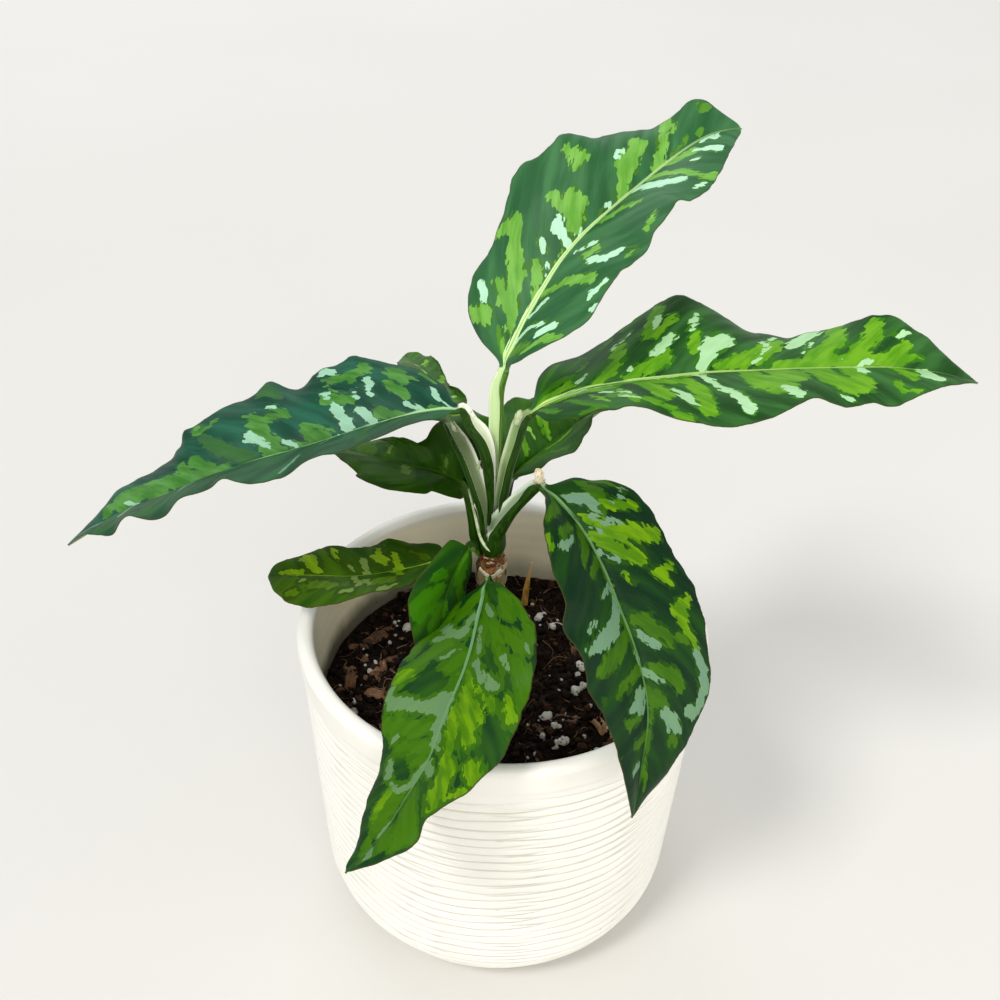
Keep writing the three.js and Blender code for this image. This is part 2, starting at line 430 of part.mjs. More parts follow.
function leafGeometry({ stalk, blade }) {
  const centres = [...stalk.map((s) => V(s)), ...blade.map((b) => V(b))];
  const tangent = centres.map((c, i) =>
    centres[Math.min(i + 1, centres.length - 1)].clone().sub(centres[Math.max(i - 1, 0)]).normalize());
  const side = [];
  const k = stalk.length;
  const last = centres.length - 1;
  for (let i = k + 1; i < last; i++) {
    const b = blade[i - k];
    const s = V(b.slice(6)).sub(V(b.slice(3)));
    side[i] = s.addScaledVector(tangent[i], -s.dot(tangent[i])).normalize();
  }
  side[last] = side[last - 1].clone();
  for (let i = k; i >= 0; i--) {
    const s = side[i + 1].clone();
    side[i] = s.addScaledVector(tangent[i], -s.dot(tangent[i])).normalize();
  }
  const rings = centres.map((c, i) => {
    const s = side[i];
    const n = s.clone().cross(tangent[i]).normalize();
    if (i < k) {
      const [, , , a, b] = stalk[i];
      return STALK_ANGLES.map((t) => c.clone().addScaledVector(s, a * Math.cos(t)).addScaledVector(n, b * Math.sin(t)));
    }
    const j = i - k;
    const u = j / (blade.length - 1);
    const end = j === 0 || i === last;
    const w = end ? (j === 0 ? 1.9 : 0.35) : 0;
    const L = end ? c.clone().addScaledVector(s, -w) : V(blade[j].slice(3));
    const R = end ? c.clone().addScaledVector(s, w) : V(blade[j].slice(6));
    const rib = j === 0 ? 1.5 : 0.95 - 0.55 * u;      // half thickness at the midrib
    const mid = j === 0 ? 1.2 : 0.42 - 0.1 * u;       // half thickness of the blade
    const rim = j === 0 ? 0.6 : 0.3;                  // half thickness at the edge
    const swell = (e) => 0.075 * e.distanceTo(c);
    const q = (e) => e.clone().lerp(c, 0.48).addScaledVector(n, end ? 0 : swell(e));
    const Lq = q(L), Rq = q(R);
    const up = (p, h) => p.clone().addScaledVector(n, h);
    return [up(L, rim), up(Lq, mid), up(c, rib), up(Rq, mid), up(R, rim),
            up(R, -rim), up(Rq, -mid), up(c, -rib * 1.25), up(Lq, -mid), up(L, -rim)];
  });
  return loft(rings);
}

// ---------------------------------------------------------------- loose pieces on the soil
function hash(n) {
  const s = Math.sin(n * 127.1 + 311.7) * 43758.5453;
  return s - Math.floor(s);
}

function restOnSoil(g, x, y, clear = 0.4) {
  g.translate(x, y, 0);
  const pos = g.getAttribute('position');
  let lift = -1e9;
  for (let i = 0; i < pos.count; i++) {
    lift = Math.max(lift, soilTop(pos.getX(i), pos.getY(i)) - pos.getZ(i));
  }
  g.translate(0, 0, lift + clear);
  return g;
}

function grainGeometry([x, y, sx, sy, sz, turn, seed]) {
  const g = closed(new THREE.IcosahedronGeometry(0.5, 1));
  const pos = g.getAttribute('position');
  for (let i = 0; i < pos.count; i++) {
    const k = 0.86 + 0.28 * hash(seed + i * 1.7);
    pos.setXYZ(i, pos.getX(i) * sx * k, pos.getY(i) * sy * k, pos.getZ(i) * sz * k);
  }
  g.rotateZ((turn * Math.PI) / 180);
  restOnSoil(g, x, y, 0.65);
  g.computeVertexNormals();
  return g;
}

function chipGeometry([x, y, sx, sy, sz, turn, seed]) {
  const g = closed(new THREE.BoxGeometry(1, 1, 1, 3, 2, 1));
  const pos = g.getAttribute('position');
  for (let i = 0; i < pos.count; i++) {
    const px = pos.getX(i), py = pos.getY(i), pz = pos.getZ(i);
    const taper = 1 - 0.45 * Math.abs(px) * 2 * (0.5 + 0.5 * hash(seed));
    const j = 0.16 * (hash(seed + i * 2.3) - 0.5);
    pos.setXYZ(i, (px + j) * sx, (py * taper + j) * sy, pz * sz * (1 - 0.35 * Math.abs(px)) + 0.5 * px * sz);
  }
  g.rotateZ((turn * Math.PI) / 180);
  restOnSoil(g, x, y);
  g.computeVertexNormals();
  return g;
}

function spikeGeometry() {
  const a = V(SPIKE_BASE), b = V(SPIKE_TIP);
  const g = new THREE.CylinderGeometry(0.25, 1.15, a.distanceTo(b), 8, 3);
  g.rotateX(Math.PI / 2);
  const d = b.clone().sub(a).normalize();
  g.applyQuaternion(new THREE.Quaternion().setFromUnitVectors(new THREE.Vector3(0, 0, 1), d));
  g.translate((a.x + b.x) / 2, (a.y + b.y) / 2, (a.z + b.z) / 2);
  const pos = g.getAttribute('position');
  let lift = -1e9;
  for (let i = 0; i < pos.count; i++) lift = Math.max(lift, soilTop(pos.getX(i), pos.getY(i)) - pos.getZ(i));
  g.translate(0, 0, lift + 0.3);
  return closed(g);
}

// ---------------------------------------------------------------- assembly
const plant = new THREE.Group();
plant.name = 'potted_chinese_evergreen';
const add = (name, geometry, material) => {
  const mesh = new THREE.Mesh(geometry, material);
  mesh.name = name;
  plant.add(mesh);
};

add('pot', potGeometry(), glaze);
add('soil', soilGeometry(), soilMix);
add('stem', stemGeometry(), stemBark);
add('leaf_scar_collar', collarGeometry(), drySheath);
for (const [name, leaf] of Object.entries(LEAVES)) {
  add(name, leafGeometry(leaf), name.includes('low') || name.includes('back') ? leafBright : leafDark);
}
add('dry_spike', spikeGeometry(), dryStraw);
for (const [name, p] of Object.entries(PERLITE)) add(name, grainGeometry(p), perliteWhite);
for (const [name, p] of Object.entries(BARK)) add(name, chipGeometry(p), barkBrown);

export default plant;
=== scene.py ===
# Potted chinese evergreen: rippled white pot, peat mix with perlite and bark, one short stem and ten leaves.
# All tables are in millimetres in the object's own frame (+Z up, pot axis on z, -Y towards the viewer).
import math
import bpy
import numpy as np
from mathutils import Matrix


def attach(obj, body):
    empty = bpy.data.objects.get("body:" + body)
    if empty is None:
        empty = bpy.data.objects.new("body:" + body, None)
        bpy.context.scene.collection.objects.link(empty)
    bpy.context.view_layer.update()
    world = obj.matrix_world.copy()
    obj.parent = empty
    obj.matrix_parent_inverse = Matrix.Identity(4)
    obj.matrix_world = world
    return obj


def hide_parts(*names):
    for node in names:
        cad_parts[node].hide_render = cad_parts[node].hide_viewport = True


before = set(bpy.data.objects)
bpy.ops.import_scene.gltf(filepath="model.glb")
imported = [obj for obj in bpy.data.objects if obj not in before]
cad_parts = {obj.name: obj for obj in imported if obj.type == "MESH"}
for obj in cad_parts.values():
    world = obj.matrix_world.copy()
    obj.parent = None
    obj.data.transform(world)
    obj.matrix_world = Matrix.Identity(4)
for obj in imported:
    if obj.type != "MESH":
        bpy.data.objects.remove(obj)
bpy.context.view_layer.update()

MM = 0.001
RNG = np.random.default_rng

# ------------------------------------------------------------------ tables
# Leaf stalks: centre x, y, z, half width, half thickness, from the stem outwards.
STALKS = {
    "leaf_top": [(-3.8, 1, 160.8, 1.6, 1.6), (-3.9, 1.2, 167.8, 2, 1.8), (-4.1, 1.2, 174.1, 2.1, 1.9), (-4.1, 1.1, 181.7, 2.1, 1.9), (-4.1, 1.1, 189, 2.1, 1.9), (-3.9, 1.1, 195.6, 2.1, 1.8)],
    "leaf_right": [(-2.7, -1.4, 150.1, 2, 1.6), (-2.2, -2, 157.2, 2.5, 1.8), (-1.6, -2.5, 164.6, 2.6, 1.9), (-0.5, -2.3, 172.4, 2.9, 1.9), (0.8, -1.7, 177.8, 3, 1.9), (2, -1.1, 182.7, 3.1, 1.9), (3.2, -0.4, 186.1, 2.7, 1.8)],
    "leaf_left": [(-5.1, -1, 153.1, 1.8, 1.5), (-5, -1.6, 159.4, 2.1, 1.7), (-5.2, -2.3, 167.3, 2.8, 1.9), (-5.7, -3, 174.6, 3.5, 2.2), (-6.8, -3.2, 179.5, 3.8, 2.3), (-8.6, -3.2, 183.4, 3.7, 2.3), (-10.9, -3, 186.3, 3.1, 2)],
    "leaf_front_right": [(-3.8, -4.4, 144.8, 4.2, 3.3), (-3.7, -5.3, 149.7, 4.6, 3.2), (-2.5, -6.1, 153.8, 4.1, 2.9), (-0.4, -6.7, 158, 3.2, 2.5), (2.2, -7.1, 162.2, 2.8, 2.2), (5.1, -7.5, 166.1, 2.5, 2.1), (7.7, -7.9, 169.1, 2.2, 1.9)],
    "leaf_front": [(-4.4, -5.2, 113, 1.8, 1.5), (-4.4, -6.2, 121, 1.9, 1.5), (-4.6, -7.4, 128.5, 1.8, 1.4), (-4.8, -8.9, 133.4, 1.4, 1), (-5, -10.6, 136.4, 1.1, 0.7)],
    "leaf_low_left": [(-10.4, 2.2, 102, 1.5, 1.4), (-12.2, 2.4, 111, 1.7, 1.5), (-14.2, 2.6, 120, 1.8, 1.5), (-15.9, 2.7, 128, 1.9, 1.5)],
    "leaf_low_front": [(-8.7, -1.6, 140.2, 1.2, 1.2), (-9.7, -3.8, 143.6, 1.7, 1.4)],
    "leaf_back_left": [(-9.2, 1.4, 141.6, 1.6, 1.4), (-9.9, 1.8, 146.3, 1.7, 1.5), (-10.6, 2.6, 151.3, 1.7, 1.5), (-11.6, 4.6, 155.4, 1.7, 1.5)],
    "leaf_back_upper": [(-6.2, -2.8, 151, 2.2, 1.7), (-6.6, -4, 156.9, 2.5, 1.8), (-7.7, -4.8, 162.5, 2.8, 1.9), (-9.3, -4.8, 168.1, 2.9, 1.9), (-11.4, -3.2, 173.5, 3, 1.9), (-14.3, -0.4, 178.4, 2.8, 1.8), (-16.9, 2.2, 181.5, 1.8, 1.6)],
    "leaf_back_right": [(-2.2, 4.5, 147.2, 1.4, 1.3), (-1.5, 5.4, 152.5, 1.9, 1.6)],
}
# Leaf blades from base to tip: midrib point, left margin point, right margin point.
BLADES = {
    "leaf_top": [
        (-2.5, 1.2, 200.6,  -2.5, 1.2, 200.6,  -2.5, 1.2, 200.6),
        (-1.1, 2.8, 204.2,  -7.4, 9.3, 203.7,  1.4, -5.2, 207),
        (0.6, 4.8, 207.8,  -11.3, 13.5, 208.4,  6.4, -6.8, 211.9),
        (2.6, 7.4, 211.9,  -13, 17.7, 214,  11.8, -7.1, 215.8),
        (5.4, 10.2, 216.6,  -11.6, 22.4, 219.4,  17.5, -6.4, 219.6),
        (8.8, 13.6, 221.9,  -7.5, 27.2, 223.9,  21.8, -4.3, 225.2),
        (13, 17.7, 227.4,  -4.9, 32.8, 231.2,  25.9, -1.5, 231.6),
        (18.5, 22.5, 232.5,  -1.7, 39.3, 240.6,  32.5, 2, 236),
        (25, 27.5, 237,  6.6, 42.4, 247.4,  37.1, 7.8, 242.1),
        (31.6, 32.7, 241,  14.8, 45.7, 251.9,  43.6, 14.4, 245.8),
        (38, 38, 244.6,  24.8, 50.3, 250.2,  50.2, 22.4, 246.1),
        (44, 43.1, 247.6,  33.6, 53.5, 251,  54.6, 30.5, 247.6),
        (49.4, 47.7, 249.8,  41.5, 56.3, 253,  57.4, 38.1, 248.9),
        (54.6, 51.5, 251.1,  48.4, 58.6, 258.1,  59.8, 44.6, 250),
        (59.5, 55.1, 251.3,  57.2, 58.5, 255.9,  62.2, 51.2, 250),
        (64.3, 58.1, 251,  64.3, 58.1, 251,  64.3, 58.1, 251),
    ],
    "leaf_right": [
        (4.6, 0.2, 187.6,  4.6, 0.2, 187.6,  4.6, 0.2, 187.6),
        (9, 0.5, 190.4,  7, 8.8, 192.8,  9.3, -8.3, 190.9),
        (13.9, 0.8, 193,  11.4, 13.5, 196.3,  14.2, -12.4, 194.2),
        (19.7, 1.2, 195.5,  18.1, 17, 197.4,  19.8, -15.1, 197.8),
        (26.8, 1.5, 197.3,  25.2, 20.1, 200.3,  27, -17.5, 201.1),
        (35.1, 2, 198.8,  32.7, 23, 204.8,  36, -19.5, 202.9),
        (44.6, 2.7, 200.1,  41.6, 26.2, 210.3,  46.4, -21.9, 200.7),
        (54.9, 3.5, 201.2,  52.6, 27.8, 210.4,  56.7, -22.2, 199.6),
        (65.8, 4.1, 201.8,  64.2, 27.2, 204.4,  67.3, -20, 201.5),
        (76.7, 4.9, 202.2,  75.4, 25.3, 201.9,  77.9, -16.2, 205.1),
        (87.2, 5.5, 202.6,  85.9, 24, 203.7,  88.5, -14.4, 202.4),
        (97, 6.2, 202.7,  95.5, 22.5, 208,  98.5, -11.5, 201.8),
        (105.8, 7.2, 202.4,  105.1, 20.6, 211.8,  107.3, -8.2, 201.2),
        (113.6, 8, 201.3,  113.7, 17.9, 208.8,  115, -3.2, 202),
        (120.4, 8.8, 200,  120.6, 16, 204.5,  121.8, 1.1, 201.3),
        (126.5, 9.7, 198.2,  126.4, 14.1, 200.1,  127.5, 5.3, 199.3),
        (132.3, 10.7, 196.5,  132.3, 10.7, 196.5,  132.3, 10.7, 196.5),
    ],
    "leaf_left": [
        (-13.6, -2.5, 190.9,  -13.6, -2.5, 190.9,  -13.6, -2.5, 190.9),
        (-18.2, -2.2, 189.6,  -19.4, -10.3, 191.7,  -18.1, 6.2, 191.8),
        (-23.2, -1.7, 188.4,  -25, -13.7, 192.6,  -23.6, 10.9, 192.7),
        (-28.9, -1.5, 186.8,  -30.6, -16.9, 192.4,  -31, 14.7, 193.7),
        (-35.6, -1.7, 184.6,  -36.8, -20.2, 191.2,  -39.7, 17.3, 194),
        (-43.2, -2.3, 182.1,  -43.8, -23, 189.4,  -48.9, 18.6, 192.8),
        (-51.8, -3.3, 179,  -52.3, -24.8, 187.7,  -57.3, 18.4, 188.4),
        (-61.2, -4.3, 176.1,  -60.4, -27.2, 182.4,  -65.9, 18, 183),
        (-71, -5.5, 173.3,  -69.6, -27.3, 180.5,  -76.8, 16.1, 180.4),
        (-80.6, -7.5, 170.1,  -78.5, -27, 178.9,  -87.7, 12, 176.6),
        (-89.4, -10.2, 167.2,  -87.2, -28, 175.4,  -95.1, 6.8, 170.6),
        (-97.8, -12.2, 164.6,  -96.6, -29.5, 169.4,  -100.7, 3.7, 165),
        (-105.4, -13, 161,  -106.6, -27.8, 165.3,  -107.1, 1.1, 162.2),
        (-112.3, -13.2, 157.2,  -114.1, -25.1, 160.2,  -113.3, -1.4, 159.1),
        (-118.3, -13, 153.3,  -120.5, -21.1, 155.8,  -118.5, -4.4, 154.4),
        (-123.6, -12.5, 149.3,  -125, -17.2, 150.6,  -123.3, -7.5, 149.6),
        (-128.6, -12, 145.4,  -128.6, -12, 145.4,  -128.6, -12, 145.4),
    ],
    "leaf_front_right": [
        (9.2, -8.3, 169.7,  9.2, -8.3, 169.7,  9.2, -8.3, 169.7),
        (12.3, -10.2, 167.2,  18.1, -2.9, 168.6,  10.1, -18, 170.9),
        (15.8, -12.5, 164.8,  25.8, -2.3, 167.6,  9.9, -24, 169.5),
        (19.5, -15.8, 162.2,  34.7, -4.5, 166.7,  10.2, -29.4, 168.1),
        (23.2, -20.1, 158.8,  41.5, -9, 162.2,  11.2, -34.6, 166),
        (26.8, -25.6, 154.8,  46, -14.9, 155.8,  12.8, -40, 162.7),
        (30.1, -31.8, 149.9,  50.9, -21.8, 151.1,  15.7, -46.1, 158.6),
        (33.5, -38.3, 144.8,  54.7, -28.7, 145.7,  16.7, -52.2, 151.9),
        (36.6, -45, 139.4,  56.8, -37.4, 139.6,  21, -57.2, 147),
        (38.7, -51.6, 134,  57.5, -45.8, 132.2,  22.8, -61.3, 141.2),
        (39.5, -57.7, 128.8,  54.6, -53.7, 124.5,  26.5, -64.8, 136.6),
        (38.8, -62.9, 123.9,  50.4, -60, 118.7,  29.5, -68.7, 131.6),
        (37.8, -67.2, 119.5,  46.4, -64.1, 114.9,  31.7, -72.6, 125.7),
        (37.1, -70.5, 115.6,  42.3, -67.1, 112.1,  33.4, -75.2, 119.8),
        (36.5, -73.1, 111.8,  39.1, -70.7, 109.8,  34.8, -76.2, 114.2),
        (35.9, -75.4, 108.4,  35.9, -75.4, 108.4,  35.9, -75.4, 108.4),
    ],
    "leaf_front": [
        (-5.1, -11.4, 137.8,  -5.1, -11.4, 137.8,  -5.1, -11.4, 137.8),
        (-5.7, -15.5, 135.9,  -1.8, -18.7, 142.1,  -11.8, -12.7, 131.3),
        (-6.5, -20.4, 134.1,  1.9, -24.7, 143.3,  -16.3, -16.5, 127.6),
        (-7.7, -26.4, 132.6,  6, -31.6, 142.9,  -20.9, -21.9, 124.8),
        (-8.9, -33.3, 130.8,  8.9, -39.6, 140.4,  -25.9, -28.2, 124.5),
        (-10.7, -40.8, 128.6,  8.9, -48.5, 135.8,  -29, -34.5, 124.7),
        (-13.3, -48.8, 126.2,  6.6, -57, 131.6,  -31.5, -41.9, 123.5),
        (-16, -56.9, 123.7,  3.5, -64.6, 128.7,  -33.1, -50.4, 119.9),
        (-18.3, -64.9, 120.8,  -0.3, -72.8, 125.1,  -32.5, -58.1, 116),
        (-21.4, -72.2, 118.3,  -7.8, -80.2, 123.1,  -32.4, -65.4, 113.6),
        (-24.8, -78.6, 116.3,  -15, -85.6, 122,  -34.3, -72.4, 112.5),
        (-27.8, -84.2, 114.5,  -19.6, -90.8, 118.5,  -35.5, -78.3, 111.4),
        (-30.8, -88.3, 112.6,  -25, -94.4, 115.2,  -36, -82.9, 110.4),
        (-33.6, -91.3, 110.8,  -30.7, -95.9, 112.9,  -36.7, -87, 109.3),
        (-36.4, -93.5, 109.2,  -35.1, -96.2, 110.7,  -38, -90.9, 108.4),
        (-38.9, -95.5, 107.8,  -38.9, -95.5, 107.8,  -38.9, -95.5, 107.8),
    ],
    "leaf_low_left": [
        (-17.1, 1.8, 134,  -17.1, 1.8, 134,  -17.1, 1.8, 134),
        (-20.7, 2.1, 132.3,  -20.9, -3.8, 132.4,  -21.3, 7.7, 134.4),
        (-25, 2.1, 130.7,  -24.8, -6.5, 131.6,  -26.1, 10.4, 132.6),
        (-30.5, 1.5, 129.2,  -29.8, -9, 131.1,  -32.2, 12, 131.6),
        (-37.3, 0.8, 127.9,  -36.7, -10.6, 130.7,  -39, 12.5, 131.4),
        (-45, 0.2, 126.9,  -44.8, -11.4, 128.5,  -45.6, 11.4, 129.8),
        (-52.7, 0.3, 126.4,  -53.2, -11.2, 125,  -52.5, 10.7, 130.4),
        (-59.8, 1, 125.9,  -60.7, -9.1, 121.4,  -59.1, 9.2, 129.6),
        (-65.8, 2.2, 124.8,  -66.7, -5.5, 120,  -65.1, 8, 128.1),
        (-70.8, 4.2, 122.8,  -71.7, -0.5, 119.8,  -70.5, 7.6, 125.7),
        (-75.3, 7.1, 120,  -75.3, 7.1, 120,  -75.3, 7.1, 120),
    ],
    "leaf_low_front": [
        (-10.8, -2.8, 142.2,  -10.8, -2.8, 142.2,  -10.8, -2.8, 142.2),
        (-12.6, -4.9, 140.5,  -10, -2.4, 136,  -17.7, -5.5, 145.2),
        (-14.4, -6.9, 137.8,  -10.5, -1.6, 132.7,  -21.3, -10.1, 143.4),
        (-16.3, -8.9, 133.6,  -11.2, -1.3, 128.5,  -25.3, -14.1, 139.2),
        (-18, -11.1, 128,  -11.9, -2.5, 123.1,  -28.2, -17.8, 133.3),
        (-19.5, -13.6, 121.6,  -11.8, -6, 117.3,  -27.3, -21.7, 126.1),
        (-20.3, -16.1, 115,  -11.7, -10.6, 111.8,  -25.9, -23.9, 118.7),
        (-20.9, -18.6, 109.1,  -13, -15.1, 107,  -24.5, -24.8, 112.1),
        (-21, -20.9, 104.5,  -15, -18.8, 103.4,  -23.2, -25.2, 106.8),
        (-20.8, -22.9, 101,  -17.7, -21.6, 100.5,  -22.1, -25.3, 102.4),
        (-20.6, -24.7, 98.3,  -20.6, -24.7, 98.3,  -20.6, -24.7, 98.3),
    ],
    "leaf_back_left": [
        (-13.2, 8.2, 157.5,  -13.2, 8.2, 157.5,  -13.2, 8.2, 157.5),
        (-16.2, 12.4, 156.4,  -19.2, 9, 152.9,  -16.5, 13.8, 161.8),
        (-20.1, 17, 154.9,  -25.1, 11, 151.3,  -19.2, 20.5, 162.2),
        (-25.3, 22.2, 152.8,  -31.8, 13.7, 149.8,  -22, 28.9, 159.9),
        (-32, 27.8, 150.2,  -39.9, 17.7, 148.7,  -26, 37, 154.7),
        (-39.5, 34.1, 147.6,  -48.2, 24.3, 149.3,  -32.1, 43.9, 149.8),
        (-47.3, 40.6, 145,  -55.3, 33, 149.5,  -39.9, 49.8, 145.9),
        (-54.7, 46.9, 142,  -61.5, 41.3, 146.2,  -48, 53.9, 140.9),
        (-61.1, 52.8, 138.9,  -66.4, 49.1, 141.8,  -55.8, 57.4, 137.5),
        (-66.5, 58.4, 135.6,  -69.8, 56.5, 137.3,  -63.2, 61.1, 135),
        (-71.2, 63.9, 132.3,  -71.2, 63.9, 132.3,  -71.2, 63.9, 132.3),
    ],
    "leaf_back_upper": [
        (-17.5, 3.7, 181.6,  -17.5, 3.7, 181.6,  -17.5, 3.7, 181.6),
        (-18.2, 10.7, 179,  -25.5, 10.1, 179.6,  -11.3, 11.4, 179.2),
        (-19, 18, 176.7,  -30.1, 16.8, 177.2,  -9.6, 18.7, 175.2),
        (-20.1, 26.2, 174.5,  -34.3, 24.2, 175.8,  -9.8, 26.8, 170.1),
        (-21.8, 35.5, 172.2,  -36.4, 33.5, 176.8,  -11.3, 36.1, 165.3),
        (-24.3, 45.7, 169.7,  -36.4, 44.2, 175.9,  -14.4, 46.4, 162.4),
        (-27.1, 56.2, 167,  -36.8, 54.8, 172,  -17.9, 57.4, 161.7),
        (-30.2, 66.2, 164,  -37.9, 64.5, 166.4,  -22.5, 67.8, 161.3),
        (-33.2, 75.1, 160.9,  -38.8, 73.4, 161.4,  -27.1, 77.2, 161.2),
        (-35.8, 82.8, 157.8,  -39.3, 81.4, 157.3,  -32.5, 84.5, 159.3),
        (-38.1, 89.9, 154.9,  -38.1, 89.9, 154.9,  -38.1, 89.9, 154.9),
    ],
    "leaf_back_right": [
        (0.2, 7.6, 160,  0.2, 7.6, 160,  0.2, 7.6, 160),
        (2.3, 12.4, 159.4,  -2, 15.1, 164.6,  8.9, 9.8, 162.4),
        (5.1, 18, 158.6,  -2.2, 23.1, 165.3,  14.4, 13.6, 164.5),
        (9.1, 24.4, 157.7,  -2.4, 32.2, 163.4,  20.6, 17.9, 165.2),
        (13.9, 32, 157.2,  -2.2, 43, 161.8,  24.8, 25.3, 167.7),
        (19.5, 40.1, 156.8,  4.2, 51.1, 161.7,  29.4, 33.7, 169.3),
        (25.4, 48.4, 156.6,  12.3, 57.8, 159.3,  34.9, 42.2, 166.7),
        (30.9, 56.3, 156.1,  20.7, 63.6, 158.4,  38.7, 51.5, 163.8),
        (35.7, 63.4, 155.3,  28.7, 68.6, 157.6,  41.2, 60.4, 160.5),
        (39.9, 69.3, 154.1,  35.9, 72.4, 156,  43, 67.8, 156.9),
        (43.4, 74.6, 152.9,  43.4, 74.6, 152.9,  43.4, 74.6, 152.9),
    ],
}
